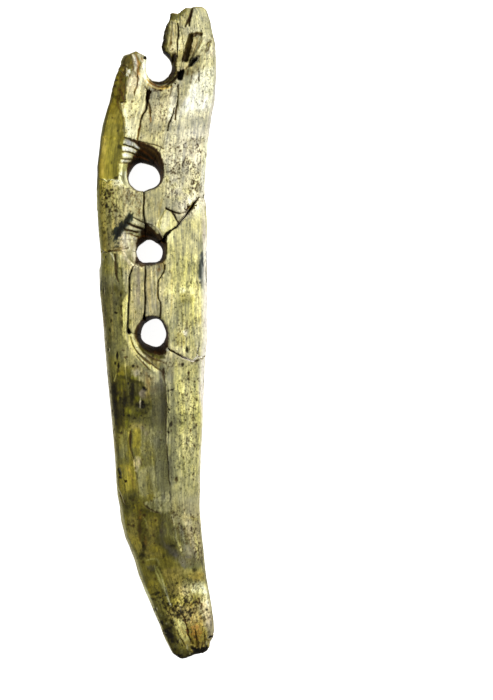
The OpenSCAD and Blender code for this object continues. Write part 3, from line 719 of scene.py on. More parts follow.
A.line("cream", [(500, 605), (545, 650), (585, 690), (592, 740)], 36, 0.85)
A.line("orange", [(522, 665), (552, 705), (560, 735)], 12, 0.75, depth=0.25)
A.line("amber", [(505, 640), (535, 690)], 12, 0.6)
# painted light: a white stroke on the first hole's left wall
A.line("white", [(560, 720), (580, 790)], 16, 0.7)
A.dabs("black", [(580, 678, 40, 44, 0)], 0.95, depth=1.2)
A.line("rust", [(482, 795), (492, 840), (500, 880)], 12, 0.75, depth=0.3)
A.line("orange", [(510, 800), (520, 860), (530, 910)], 12, 0.6)
A.line("cream", [(462, 790), (475, 850)], 10, 0.7)
A.wash("pink", [(362, 812), (412, 830), (408, 878), (384, 902), (366, 862)], 0.95, soft=0.35, depth=-0.3)
A.line("pale", [(375, 760), (385, 800)], 10, 0.7)
A.dabs("umber", [(392, 780, 26, 30, 0), (410, 890, 30, 16, -20), (440, 825, 20, 12, 0), (298, 905, 18, 26, 0), (310, 855, 12, 12, 0), (335, 1110, 60, 110, 0), (262, 1170, 26, 60, 0)], 0.7, mott=0.3)
A.dabs("gold", [(320, 800, 60, 40, 0), (335, 830, 30, 20, 0), (260, 920, 60, 60, 0), (315, 985, 50, 40, 20), (240, 1080, 50, 50, 0), (330, 1060, 40, 30, 0)], 0.7, soft=0.6, mott=0.3)
A.dabs("rust", [(300, 950, 26, 40, 0), (285, 1040, 20, 26, 0), (350, 1030, 20, 26, 0), (330, 900, 24, 18, 0)], 0.6, mott=0.3)
A.line("umber", [(300, 1195), (352, 1192)], 14, 0.7, depth=0.5)
A.line("ivory", [(285, 1205), (345, 1212)], 16, 0.7)
A.dabs("pale", [(325, 1205, 40, 12, 0), (332, 822, 10, 10, 0)], 0.8)
A.wash("olive", [(165, 1165), (235, 1200), (290, 1262), (330, 1380), (352, 1450), (352, 1600), (50, 1600), (110, 1350)], 0.9, soft=0.5, gloss=0.7, fleck=0.05, depth=0.3, dsoft=0.8)
A.wash("gold", [(200, 1230), (250, 1260), (310, 1400), (330, 1568), (140, 1568), (150, 1400)], 0.6, soft=2.0)
A.line("brown", [(262, 1110), (255, 1190), (285, 1262), (320, 1340), (350, 1420), (352, 1500)], 12, 0.65, soft=0.4)
A.dabs("umber", [(205, 1370, 14, 18, 0), (205, 1518, 14, 26, 0)], 0.8)
A.line("dkolive", [(170, 1150), (110, 1350), (62, 1568)], 26, 0.6, soft=0.8)
A.wash("greycream", [(640, 1080), (720, 1085), (882, 1050), (872, 1200), (905, 1290), (852, 1450), (825, 1600), (520, 1600), (542, 1400), (600, 1300), (652, 1200)], 0.6, soft=0.6, mott=0.2, fleck=0.8)
A.wash("cream", [(890, 1240), (925, 1230), (900, 1330), (855, 1430), (820, 1500), (840, 1400)], 0.6, soft=0.4)
A.wash("cream", [(890, 1060), (960, 1030), (965, 1150), (945, 1250), (900, 1260), (880, 1180)], 0.5, soft=0.4, streak=0.3)
A.wash("umber", [(608, 1060), (655, 1078), (640, 1120), (634, 1200), (602, 1200), (590, 1140)], 0.9, soft=0.3, depth=1.4, dsoft=0.4)
A.line("brown", [(615, 1120), (610, 1200), (600, 1280), (548, 1365), (530, 1420)], 24, 0.6, soft=0.6)
A.line("umber", [(612, 1180), (600, 1280), (572, 1330), (550, 1365), (535, 1420), (528, 1470)], [20, 14, 10, 12, 8, 10], 0.95, depth=0.8)
A.line("brown", [(625, 1200), (640, 1260), (642, 1310), (650, 1365)], [16, 14, 16, 10], 0.85, depth=0.6)
A.line("rust", [(650, 1380), (652, 1420)], 18, 0.6)
A.line("rust", [(535, 1470), (515, 1520), (516, 1580)], 18, 0.9, depth=0.8)
A.line("brown", [(892, 1020), (888, 1080), (870, 1130)], 11, 0.85, depth=0.4)
A.line("brown", [(965, 1010), (970, 1100), (962, 1200), (945, 1290), (936, 1400)], [14, 10, 10, 16, 16], 0.85, depth=0.7)
A.line("olive", [(975, 1100), (966, 1200), (975, 1290)], 14, 0.6)
A.line("umber", [(922, 1270), (910, 1330), (885, 1400), (862, 1450), (848, 1530)], [8, 12, 18, 16, 14], 0.9, depth=0.7)
A.spray("umber", [(540, 1350), (850, 1090), (860, 1568), (530, 1568)], 110, (0.1, 0.28), 0.65)
A.spray("brown", [(380, 1120), (560, 1000), (520, 1500), (370, 1500)], 50, (0.1, 0.25), 0.55)

# ---- second and third hole
A.at(95, 130, 11.2)
A.wash("olive", [(70, -60), (335, -60), (335, 0), (322, 150), (310, 200), (272, 370), (270, 480), (268, 560), (180, 556), (80, 550), (10, 540), (10, 300), (40, 100)], 0.9, soft=0.5, gloss=0.65, fleck=0.05)
A.wash("ochre", [(60, 100), (130, 60), (120, 300), (90, 540), (20, 540), (20, 300)], 0.5, soft=1.5)
A.wash("dkolive", [(250, 170), (312, 175), (300, 280), (268, 380), (266, 550), (205, 540), (190, 390), (225, 260)], 0.75, soft=1.4, mott=0.2)
A.dabs("stain", [(285, 195, 60, 50, 0), (188, 372, 14, 26, 0), (262, 15, 20, 26, 0), (240, 540, 50, 26, 0)], 0.75, soft=0.4)
A.line("straw", [(22, 330), (20, 560), (28, 800), (45, 1100), (60, 1400), (70, 1568)], 36, 0.55, soft=1.0)
# painted highlight: pale line along the broken edge
A.line("pale", [(80, 550), (110, 560), (130, 575), (190, 562), (262, 570)], 14, 0.85, wob=0.3)
A.wash("ivory", [(190, 570), (278, 572), (330, 640), (262, 655), (200, 612)], 0.75, soft=0.5, mott=0.2)
A.wash("ivory", [(335, -40), (492, -40), (472, 110), (400, 112), (330, 92)], 0.55, soft=0.5, streak=0.3)
A.line("rust", [(505, -30), (500, 10), (485, 80), (475, 130)], 16, 0.9, depth=0.7)
A.wash("greycream", [(500, 0), (780, 0), (790, 200), (640, 170), (490, 130)], 0.6, soft=0.6, mott=0.2, fleck=0.9)
A.dabs("umber", [(645, 48, 14, 14, 0), (680, 28, 12, 12, 0), (718, 38, 16, 18, 0), (765, 18, 16, 16, 0), (730, 95, 12, 12, 0), (905, 55, 16, 16, 0), (515, 98, 12, 14, 0)], 0.75)
A.wash("bone", [(790, 0), (1000, 0), (1000, 620), (880, 640), (800, 560), (780, 300), (780, 200)], 0.65, soft=1.0, mott=0.3, fleck=0.8)
A.spray("umber", [(790, 200), (1230, 60), (1220, 700), (880, 760), (790, 640)], 520, (0.1, 0.25), 0.85, soft=3)
A.wash("ivory", [(700, 560), (800, 620), (900, 720), (960, 700), (960, 640), (880, 660), (800, 590)], 0.5, soft=0.8, mott=0.3)
# the second hole's funnel: dark brown stain, deepened as painted shade on its top and right walls, which turn from the
# light
A.wash("umber", [(398, 112), (560, 152), (680, 205), (742, 290), (772, 380), (770, 540), (745, 602), (700, 650), (560, 690), (430, 660), (375, 590), (358, 500), (362, 400), (395, 350), (440, 290), (470, 240), (500, 220), (430, 170)], 0.97, soft=0.5, wob=0.3)
A.line("rust", [(500, 225), (570, 262), (650, 330), (705, 410)], 16, 0.55, soft=0.5)
A.line("brown", [(540, 190), (640, 240), (700, 310), (735, 400)], 22, 0.65, soft=0.5)
A.line("tan", [(600, 205), (670, 250), (715, 320)], 9, 0.5, soft=0.4)
A.line("black", [(480, 250), (560, 292), (640, 352), (700, 420)], 22, 0.75, soft=0.5)
A.line("rust", [(440, 300), (520, 310), (600, 345)], 14, 0.7, soft=0.4)
A.line("black", [(400, 380), (470, 350), (560, 355), (640, 385)], 30, 0.8, soft=0.6)
A.line("brown", [(745, 420), (752, 500), (735, 580)], 22, 0.6, soft=0.5)
A.wash("cream", [(338, 105), (405, 135), (470, 180), (502, 212), (488, 222), (430, 200), (380, 185), (320, 160)], 0.9, soft=0.3, wob=0.2)
A.wash("cream", [(318, 188), (390, 205), (450, 232), (466, 250), (440, 268), (380, 248), (312, 232)], 0.9, soft=0.3, wob=0.2)
A.wash("ivory", [(308, 262), (400, 270), (418, 300), (392, 325), (318, 318)], 0.9, soft=0.3, wob=0.25, mott=0.15)
A.wash("ivory", [(300, 332), (390, 342), (398, 360), (300, 372)], 0.9, soft=0.3, wob=0.2)
# the second hole's left wall faces the light: pale in itself, lightened further as painted light
A.wash("straw", [(275, 382), (362, 385), (360, 440), (354, 520), (370, 600), (412, 652), (392, 672), (322, 645), (280, 560), (272, 440)], 0.9, soft=0.4, wob=0.3, mott=0.15)
A.wash("cream", [(285, 470), (350, 460), (352, 520), (375, 610), (410, 660), (360, 650), (310, 610), (285, 560)], 0.6, soft=0.5)
# painted highlights: white and pink along the crests of the fan ridges left of the second hole
A.line("white", [(350, 125), (400, 148), (450, 178), (488, 206)], [22, 34, 36, 18], 0.85, soft=0.4, depth=-0.12)
A.line("white", [(330, 205), (380, 215), (430, 236), (455, 252)], [20, 34, 28, 16], 0.85, soft=0.4, depth=-0.12)
A.line("white", [(325, 288), (360, 290), (398, 302)], [20, 34, 24], 0.8, soft=0.4, depth=-0.1)
A.line("white", [(312, 352), (350, 352), (385, 352)], 20, 0.8, soft=0.3, depth=-0.1)
A.line("pink", [(420, 162), (460, 186), (490, 208)], 14, 0.8)
A.line("pink", [(385, 225), (430, 240)], 12, 0.8)
A.line("umber", [(328, 90), (400, 112), (450, 126), (560, 152), (700, 182), (770, 222)], [6, 9, 12, 8, 8, 8], 0.85, depth=0.35)
A.line("umber", [(318, 168), (390, 188), (460, 218), (520, 250)], [8, 12, 12, 10], 0.9, depth=0.7)
A.line("umber", [(308, 248), (370, 252), (440, 275), (480, 300)], [6, 9, 12, 10], 0.85, depth=0.6)
A.line("umber", [(295, 328), (350, 334), (405, 332)], [5, 8, 12], 0.8, depth=0.5)
A.line("brown", [(268, 376), (320, 376), (365, 378)], [5, 7, 9], 0.8, depth=0.35)
A.line("straw", [(420, 655), (480, 672), (530, 685)], 10, 0.6)
A.wash("greycream", [(300, 690), (550, 710), (545, 1060), (420, 980), (380, 900), (270, 860), (260, 700)], 0.5, soft=1.0, streak=0.4, fleck=0.7)
A.wash("grey", [(345, 700), (520, 715), (530, 900), (500, 1000), (430, 960), (400, 850)], 0.45, soft=1.0, streak=0.5)
A.wash("greycream", [(575, 700), (800, 650), (800, 880), (730, 960), (700, 1060), (590, 1040)], 0.6, soft=0.8, streak=0.3)
A.line("grey", [(610, 780), (600, 880), (590, 960)], 30, 0.5, streak=0.4)
A.line("ochre", [(755, 780), (735, 860), (715, 980)], 30, 0.6, soft=0.6)
A.line("brown", [(715, 810), (705, 860)], 8, 0.5)
A.dabs("umber", [(825, 760, 36, 20, 30), (905, 620, 14, 24, 0), (845, 580, 10, 14, 0), (590, 800, 8, 30, 0), (600, 850, 10, 16, 0), (370, 715, 14, 30, 0), (420, 705, 12, 22, 0), (400, 840, 12, 30, 15), (372, 665, 40, 10, 0)], 0.7)
A.spray("brown", [(280, 680), (540, 700), (530, 980), (300, 1000)], 120, (0.1, 0.26), 0.6, tall=3)
A.wash("greycream", [(60, 580), (200, 600), (262, 800), (240, 960), (150, 1120), (60, 1100), (40, 800)], 0.6, soft=1.2, mott=0.3)
A.dabs("straw", [(215, 720, 60, 90, 0), (150, 830, 60, 110, 0), (245, 880, 40, 90, 0), (120, 700, 60, 50, 0), (180, 960, 60, 60, 0)], 0.45, soft=0.9, wob=0.8, mott=0.3)
A.wash("straw", [(225, 700), (300, 700), (330, 900), (300, 1020), (240, 940)], 0.55, soft=1.0, mott=0.3)
A.dabs("umber", [(165, 720, 40, 24, -20), (130, 770, 30, 30, 0), (205, 715, 20, 30, 0), (180, 680, 30, 14, 0), (125, 860, 26, 44, 0), (85, 845, 14, 20, 0), (210, 840, 18, 24, 0), (235, 910, 20, 34, 0), (190, 870, 12, 12, 0), (165, 930, 18, 16, 0), (75, 620, 10, 60, 0)], 0.85, depth=0.25)
A.spray("umber", [(80, 640), (280, 660), (280, 980), (200, 1080), (110, 1100), (70, 850)], 80, (0.1, 0.26), 0.75, soft=4)
A.spray("dkolive", [(60, 560), (280, 580), (260, 1000), (160, 1300), (60, 1300)], 120, (0.12, 0.4), 0.55, tall=2.4)
A.line("umber", [(550, 690), (556, 760), (553, 830), (545, 900), (552, 980), (572, 1060), (566, 1130)], [9, 13, 12, 11, 13, 16, 22], 0.92, soft=0.3, depth=0.9)
A.line("ivory", [(575, 760), (570, 850), (580, 960)], 8, 0.5)
A.wash("straw", [(798, 892), (868, 930), (932, 1040), (850, 1130), (772, 1202), (725, 1120), (700, 1075), (745, 960)], 0.85, soft=0.3, wob=0.2, depth=-0.15, fleck=0.2)
A.wash("cream", [(800, 910), (850, 950), (830, 1060), (770, 1150), (740, 1080), (765, 980)], 0.6, soft=0.8)
A.line("ochre", [(800, 920), (750, 980), (710, 1070), (740, 1140)], 10, 0.6)
A.line("umber", [(795, 882), (840, 905), (880, 922), (955, 945)], [10, 16, 14, 12], 0.9, depth=0.7)
A.line("umber", [(865, 925), (900, 980), (920, 1020), (945, 1050)], [14, 16, 12, 14], 0.9, depth=0.7)
A.line("umber", [(955, 945), (995, 930), (1035, 905), (1065, 885)], [10, 9, 14, 22], 0.9, depth=0.8)
A.line("black", [(1158, 758), (1125, 800), (1100, 838), (1072, 890), (1040, 940), (1013, 975), (965, 1030), (912, 1092), (852, 1131), (805, 1175), (778, 1240)], [6, 14, 34, 46, 28, 14, 18, 15, 16, 28, 42], 0.93, soft=0.3, wob=0.3, depth=1.3)
A.line("umber", [(1075, 880), (1105, 852), (1140, 850)], [16, 12, 5], 0.9, depth=0.8)
A.line("umber", [(1062, 888), (1045, 862), (1040, 840)], [14, 10, 4], 0.85, depth=0.6)
A.line("umber", [(1060, 905), (1082, 935), (1088, 960)], [12, 8, 4], 0.8, depth=0.5)
A.line("grey", [(800, 1200), (770, 1290)], 20, 0.5, soft=0.4)
# the third hole's funnel: dark brown stain, deepened as painted shade on the walls turned from the light
A.wash("umber", [(565, 1050), (660, 1060), (722, 1108), (762, 1215), (812, 1280), (802, 1420), (762, 1492), (700, 1500), (600, 1500), (500, 1500), (440, 1500), (455, 1400), (455, 1300), (450, 1230), (520, 1200), (510, 1140), (560, 1110)], 0.96, soft=0.4, wob=0.25)
A.line("brown", [(600, 1120), (680, 1160), (730, 1230), (780, 1300), (780, 1400)], 20, 0.65, soft=0.5)
A.line("rust", [(455, 1255), (470, 1225), (540, 1190), (600, 1200)], 12, 0.6, soft=0.4)
A.line("black", [(560, 1160), (640, 1185), (710, 1245), (745, 1320)], 18, 0.7, soft=0.5)
A.line("tan", [(580, 1080), (650, 1110), (700, 1165)], 8, 0.5, soft=0.3)
A.line("greyolive", [(790, 1300), (800, 1400), (770, 1480)], 24, 0.6, soft=0.6)
A.wash("cream", [(598, 1068), (640, 1072), (690, 1105), (722, 1160), (700, 1165), (645, 1110)], 0.9, soft=0.3, wob=0.15)
A.wash("ivory", [(405, 985), (470, 1015), (555, 1060), (560, 1098), (520, 1092), (440, 1052), (400, 1020)], 0.85, soft=0.35, wob=0.2)
A.line("pink", [(470, 1098), (510, 1116)], 22, 0.85)
A.wash("ivory", [(365, 1065), (440, 1085), (500, 1108), (520, 1130), (450, 1130), (350, 1115)], 0.7, soft=0.35, wob=0.2)
A.line("umber", [(428, 984), (480, 1010), (520, 1032), (565, 1052)], [6, 8, 9, 10], 0.85, depth=0.5)
A.line("umber", [(365, 1048), (400, 1062), (450, 1082), (535, 1108)], [12, 14, 14, 14], 0.92, depth=0.8)
A.line("umber", [(342, 1130), (380, 1134), (450, 1136), (500, 1140)], [6, 9, 10, 14], 0.85, depth=0.5)
A.line("umber", [(410, 1186), (450, 1196), (490, 1200)], [6, 9, 12], 0.8, depth=0.5)
A.wash("cream", [(328, 1150), (440, 1162), (455, 1200), (446, 1280), (460, 1380), (446, 1490), (395, 1490), (345, 1420), (322, 1340), (330, 1250)], 0.8, soft=0.5, mott=0.3)
A.wash("white", [(375, 1190), (440, 1200), (445, 1290), (458, 1400), (430, 1440), (390, 1360), (360, 1270)], 0.75, soft=0.6, mott=0.4)
A.dabs("pink", [(420, 1260, 40, 70, 0), (400, 1330, 40, 60, 0)], 0.5, soft=0.5, mott=0.3)
A.dabs("rust", [(430, 1432, 12, 20, 0), (350, 1200, 10, 20, 0), (320, 1330, 18, 8, 0)], 0.7)
A.wash("stain", [(392, 932), (432, 938), (425, 985), (372, 1020), (378, 1070), (330, 1100), (300, 1160), (292, 1205), (250, 1232), (222, 1200), (190, 1150), (215, 1110), (262, 1080), (300, 1020), (350, 990)], 0.9, soft=0.45, wob=0.9, streak=0.2, mott=0.3, fleck=0)
A.dabs("slate", [(398, 960, 50, 40, -40), (360, 1005, 60, 36, -40), (340, 1060, 70, 46, -40), (295, 1075, 60, 30, -40), (250, 1185, 56, 80, 20), (230, 1150, 40, 40, 0), (268, 1270, 44, 24, 0), (285, 1235, 30, 20, 0)], 0.6, soft=0.4, mott=0.4, wob=0.5)
A.dabs("black", [(400, 958, 44, 30, -40), (370, 1000, 50, 24, -40), (335, 1062, 70, 36, -40), (300, 1100, 40, 30, -30), (255, 1180, 46, 80, 20), (215, 1155, 40, 36, 0), (268, 1272, 30, 16, 0), (300, 1235, 16, 12, 0), (345, 1100, 14, 10, 0)], 0.85, soft=0.4, mott=0.4, wob=0.4)
A.dabs("pewter", [(300, 1070, 30, 12, 40), (265, 1115, 30, 10, 40), (345, 1020, 24, 8, 40)], 0.6)
A.line("brown", [(145, 1358), (215, 1358), (255, 1340), (330, 1326)], 10, 0.85, depth=0.5)
A.line("cream", [(165, 1372), (200, 1395), (225, 1450)], 12, 0.6)
A.wash("ochre", [(260, 1345), (330, 1350), (350, 1420), (390, 1500), (440, 1568), (290, 1568), (262, 1450)], 0.6, soft=0.6, mott=0.2)
A.line("cream", [(340, 1370), (400, 1440), (430, 1520)], 14, 0.6)
A.line("umber", [(238, 1430), (245, 1500), (262, 1568)], 20, 0.7, streak=0.3, depth=0.4)
A.dabs("umber", [(95, 1355, 14, 18, 0), (125, 1430, 14, 20, 0), (160, 1290, 20, 20, 0)], 0.7)

# ---- third and fourth hole, the slivers between them
A.at(95, 255, 12.6)
A.wash("grey", [(80, 0), (200, 0), (260, 400), (280, 1000), (250, 1568), (140, 1568), (90, 700), (60, 300)], 0.55, soft=1.2, streak=0.5)
A.wash("greyolive", [(180, 0), (330, 60), (400, 300), (400, 480), (340, 620), (350, 1000), (330, 1300), (200, 1400), (180, 700)], 0.7, soft=1.0, streak=0.35)
A.line("moss", [(150, 50), (165, 300), (170, 700), (190, 1100)], 50, 0.5, soft=1.0, streak=0.4)
A.line("ochre", [(200, 20), (225, 300), (215, 700), (240, 1100)], 26, 0.45, soft=0.8, streak=0.4)
A.line("straw", [(75, 40), (70, 200), (85, 500), (110, 900), (140, 1400)], 24, 0.45, soft=0.8, streak=0.4)
A.wash("ivory", [(300, 40), (380, 0), (490, 60), (500, 130), (470, 200), (440, 300), (420, 470), (380, 450), (360, 250)], 0.65, soft=0.7, streak=0.45)
A.line("cream", [(330, 20), (420, 80), (480, 120)], 26, 0.7, soft=0.6)
A.line("umber", [(255, 0), (262, 90), (268, 180), (280, 280), (300, 340)], [20, 26, 30, 20, 12], 0.8, soft=0.4, streak=0.35, depth=0.5)
A.line("dkolive", [(318, 60), (328, 180), (345, 300)], 22, 0.7, streak=0.4, depth=0.3)
A.line("dkolive", [(250, 380), (290, 460), (330, 560), (320, 700), (330, 900)], 46, 0.55, soft=0.8, streak=0.4)
A.line("umber", [(330, 640), (342, 800), (348, 980)], 16, 0.6, streak=0.4, depth=0.4)
A.wash("straw", [(345, 640), (375, 560), (422, 480), (430, 560), (412, 760), (408, 960), (400, 1000), (350, 1010), (345, 800)], 0.8, soft=0.5, streak=0.2)
A.line("cream", [(405, 560), (398, 760), (392, 960)], 12, 0.6)
A.dabs("black", [(115, 450, 28, 100, 0), (142, 705, 18, 20, 0), (268, 732, 44, 30, -15), (206, 832, 18, 44, 0), (196, 945, 18, 60, 0), (178, 1195, 26, 44, 0), (283, 1270, 28, 96, 0), (298, 1395, 28, 66, 0), (262, 1360, 20, 30, 0), (270, 620, 12, 34, 0), (332, 508, 14, 50, 0), (262, 240, 16, 20, 0), (145, 580, 12, 14, 0), (140, 32, 16, 24, 0), (105, 60, 10, 14, 0), (120, 1330, 10, 14, 0)], 0.85, depth=0.35)
A.dabs("dkolive", [(290, 1340, 30, 40, 0), (235, 760, 30, 20, 0), (345, 470, 40, 60, 0), (268, 420, 60, 60, 0)], 0.6, soft=0.5, mott=0.4)
A.wash("greycream", [(482, 150), (560, 118), (622, 130), (642, 200), (622, 760), (560, 800), (470, 860), (432, 900), (432, 600), (462, 300)], 0.75, soft=0.5, streak=0.35)
A.line("straw", [(472, 200), (468, 400), (460, 600), (450, 760)], 14, 0.6)
A.line("mauve", [(548, 180), (552, 340), (548, 480), (560, 620)], 40, 0.6, soft=0.7, streak=0.4)
A.line("greyolive", [(600, 180), (598, 500), (590, 760)], 16, 0.5, streak=0.4)
A.line("ivory", [(520, 180), (515, 420), (510, 700)], 12, 0.5, streak=0.3)
A.wash("cream", [(488, 132), (560, 112), (636, 128), (634, 160), (560, 150), (498, 172)], 0.85, soft=0.4)
A.dabs("dkolive", [(480, 592, 34, 26, 0), (500, 658, 14, 20, 0), (520, 720, 26, 40, 0), (530, 390, 16, 40, 0), (440, 840, 50, 70, 0)], 0.65, mott=0.3)
A.line("umber", [(482, 150), (456, 215), (436, 300), (440, 400), (434, 540), (426, 700), (421, 850), (416, 930)], [8, 11, 16, 17, 12, 11, 15, 18], 0.92, soft=0.3, depth=1.0)
A.dabs("black", [(432, 965, 52, 68, 0)], 0.97, depth=2.0)
A.line("umber", [(635, 150), (640, 260), (634, 400), (638, 560), (635, 680), (628, 740), (622, 800)], [8, 8, 10, 12, 13, 18, 30], 0.92, soft=0.3, depth=1.0)
A.wash("greycream", [(650, 150), (760, 108), (800, 160), (864, 205), (800, 330), (795, 540), (826, 620), (822, 760), (652, 782), (648, 400)], 0.7, soft=0.5, streak=0.3)
A.line("ochre", [(690, 180), (684, 420), (700, 700)], 40, 0.35, soft=0.6, streak=0.4)
A.line("bone", [(730, 180), (728, 420), (735, 740)], 34, 0.45, soft=0.6, streak=0.3)
A.line("cream", [(772, 140), (776, 350), (768, 560), (772, 760)], 8, 0.75)
A.line("greyolive", [(755, 140), (756, 350), (750, 560)], 8, 0.55)
A.line("ochre", [(785, 330), (788, 540), (800, 700)], 14, 0.5)
A.dabs("tan", [(810, 190, 50, 60, 0)], 0.7, mott=0.3)
A.dabs("rust", [(818, 185, 20, 20, 0)], 0.5)
A.wash("grey", [(640, 112), (720, 98), (770, 108), (768, 135), (652, 150)], 0.8, soft=0.4, mott=0.3)
A.dabs("pewter", [(660, 125, 36, 22, 0), (735, 118, 40, 16, 0), (680, 98, 44, 14, 0)], 0.7)
A.wash("tan", [(770, 100), (860, 80), (896, 60), (902, 140), (872, 190), (820, 160)], 0.6, soft=0.4, mott=0.3)
A.line("umber", [(888, 130), (872, 210), (832, 285), (803, 335), (798, 450), (800, 540), (832, 620), (826, 790)], [9, 9, 7, 6, 7, 8, 10, 12], 0.9, soft=0.3, depth=0.8)
A.wash("ivory", [(902, 20), (960, 0), (960, 300), (900, 400), (850, 600), (860, 780), (820, 600), (805, 400), (850, 300), (890, 180)], 0.5, soft=0.7, streak=0.3)
A.wash("bone", [(850, 560), (1000, 500), (1010, 900), (960, 1160), (930, 1150), (935, 900), (880, 830)], 0.6, soft=0.8, streak=0.3)
A.line("lemon", [(1010, 0), (1015, 300), (1000, 480)], 30, 0.45, soft=0.6, streak=0.4)
A.line("lemon", [(1120, 40), (1130, 300), (1120, 500), (1150, 640)], 90, 0.55, soft=1.2, streak=0.5)
A.line("lemon", [(1232, 0), (1238, 300), (1222, 600), (1260, 900)], 40, 0.5, soft=0.8, streak=0.5)
A.line("grey", [(1060, 0), (1058, 300), (1048, 640), (1030, 900), (1010, 1100)], 24, 0.45, soft=0.6, streak=0.5)
A.line("grey", [(1178, 100), (1170, 400), (1180, 800)], 16, 0.4, streak=0.5)
A.line("ochre", [(968, 200), (975, 500), (960, 760)], 20, 0.45, streak=0.5)
A.line("ochre", [(1300, 60), (1290, 400), (1330, 700), (1300, 1000)], 16, 0.4, streak=0.5)
A.wash("gold", [(1080, 480), (1200, 480), (1260, 540), (1200, 610), (1090, 590)], 0.35, soft=1.2, streak=0.4)
A.wash("cream", [(1080, 410), (1140, 420), (1130, 475), (1080, 470)], 0.7, soft=0.6, mott=0.3)
A.wash("white", [(1118, 955), (1162, 960), (1160, 1010), (1125, 1020)], 0.8, soft=0.4, mott=0.2)
A.wash("greyolive", [(940, 850), (1020, 840), (1040, 1000), (1020, 1150), (960, 1100), (945, 980)], 0.55, soft=0.8, streak=0.5)
A.wash("gold", [(1040, 980), (1120, 1000), (1130, 1120), (1060, 1160), (1030, 1080)], 0.4, soft=0.8, streak=0.3)
A.line("dkolive", [(1100, 720), (1105, 800), (1098, 940)], 18, 0.65, streak=0.4)
A.line("umber", [(1165, 830), (1160, 880), (1165, 930)], 22, 0.6, streak=0.3)
A.wash("cream", [(1250, 900), (1380, 880), (1390, 1050), (1330, 1180), (1260, 1120)], 0.5, soft=1.0, mott=0.4)
A.spray("umber", [(930, 760), (1390, 740), (1390, 1180), (1100, 1260), (960, 1130), (950, 900)], 150, (0.08, 0.2), 0.55, tall=2.6)
A.spray("dkolive", [(900, 40), (1300, 20), (1380, 700), (870, 740), (850, 400)], 160, (0.1, 0.24), 0.5, tall=3)
A.dabs("umber", [(945, 100, 12, 18, 0), (945, 215, 12, 30, 0), (1095, 228, 12, 16, 0), (1122, 243, 14, 14, 0), (975, 365, 14, 14, 0), (1020, 462, 14, 12, 0), (1010, 455, 10, 10, 0), (1060, 455, 10, 14, 0), (1275, 830, 16, 14, 0), (1355, 775, 10, 10, 0)], 0.7)
A.wash("pewter", [(1312, 20), (1345, 0), (1392, 0), (1392, 250), (1350, 300), (1312, 290), (1330, 180)], 0.8, soft=0.4, streak=0.4, mott=0.2)
A.line("black", [(1360, 20), (1350, 120), (1335, 240)], 34, 0.7, soft=0.5, streak=0.4)
A.line("black", [(1388, 150), (1385, 250)], 16, 0.6, streak=0.3)
A.line("white", [(1378, 40), (1372, 130), (1360, 200)], 8, 0.6, streak=0.2)
A.line("white", [(1325, 300), (1335, 350)], 30, 0.5, soft=0.5)
A.dabs("umber", [(1345, 345, 50, 40, 0), (1365, 385, 30, 14, 0)], 0.5, mott=0.6)
A.dabs("black", [(1162, 1192, 32, 78, 0), (1302, 1192, 16, 60, 15)], 0.8, depth=0.3)
# the fourth hole's funnel: dark brown stain, deepened as painted shade on the walls turned from the light
A.wash("umber", [(622, 790), (720, 768), (800, 785), (872, 840), (915, 930), (930, 1050), (925, 1180), (905, 1215), (880, 1260), (740, 1250), (640, 1210), (570, 1140), (520, 1050), (505, 1000), (512, 940), (560, 860)], 0.97, soft=0.4, wob=0.25)
A.line("black", [(560, 930), (550, 1020), (590, 1110), (660, 1170), (740, 1195)], 44, 0.8, soft=0.7)
A.line("brown", [(900, 950), (912, 1050), (895, 1150)], 20, 0.55, soft=0.5)
# painted shade over olive staining: dark olive band round the fourth hole's lower right rim
A.wash("dkolive", [(560, 1120), (640, 1200), (740, 1250), (880, 1275), (880, 1310), (760, 1300), (650, 1250), (570, 1180)], 0.85, soft=0.4, wob=0.2)
A.wash("moss", [(575, 1150), (640, 1215), (730, 1265), (850, 1290), (870, 1306), (770, 1300), (660, 1262), (590, 1200)], 0.5, soft=0.4, mott=0.3)
A.line("umber", [(620, 1225), (700, 1280), (790, 1320), (870, 1345)], 22, 0.75, soft=0.5, depth=0.4)
A.wash("tan", [(640, 1270), (740, 1320), (830, 1350), (840, 1380), (790, 1400), (720, 1370), (640, 1310)], 0.6, soft=0.5)
A.wash("dkolive", [(700, 1310), (820, 1345), (870, 1400), (820, 1470), (780, 1420), (720, 1370)], 0.55, soft=0.7, mott=0.3)
A.wash("straw", [(375, 1000), (440, 1000), (470, 1000), (500, 1080), (540, 1190), (620, 1280), (700, 1350), (800, 1440), (760, 1470), (690, 1440), (600, 1370), (500, 1270), (430, 1150), (390, 1070)], 0.85, soft=0.6, wob=0.2)
A.line("cream", [(478, 1010), (500, 1100), (545, 1195), (622, 1275), (705, 1350), (795, 1428)], [12, 14, 15, 15, 12, 8], 0.75, soft=0.35, depth=-0.2)
A.line("cream", [(400, 1010), (432, 1120), (500, 1235), (600, 1330), (690, 1410), (750, 1470)], [12, 13, 13, 13, 11, 8], 0.7, soft=0.35, depth=-0.2)
A.line("brown", [(452, 1030), (476, 1120), (530, 1215), (610, 1300), (700, 1380)], [8, 12, 14, 18, 14], 0.8, depth=0.5)
A.line("brown", [(640, 1305), (720, 1375), (790, 1430), (830, 1465)], [8, 15, 18, 10], 0.85, depth=0.45)
A.line("brown", [(520, 1262), (580, 1330), (640, 1395), (690, 1450)], [6, 11, 14, 9], 0.85, depth=0.4)
A.line("tan", [(420, 1080), (470, 1190), (540, 1280)], 10, 0.5)
A.line("tan", [(500, 1000), (520, 1060), (560, 1140)], 10, 0.5)
A.line("umber", [(925, 1175), (960, 1205), (1010, 1232), (1070, 1265), (1110, 1290), (1160, 1305), (1238, 1338)], [12, 12, 14, 14, 18, 10, 10], 0.95, depth=0.9)
A.line("umber", [(1238, 1338), (1270, 1305), (1305, 1284), (1390, 1284)], [10, 10, 8, 7], 0.85, depth=0.5)
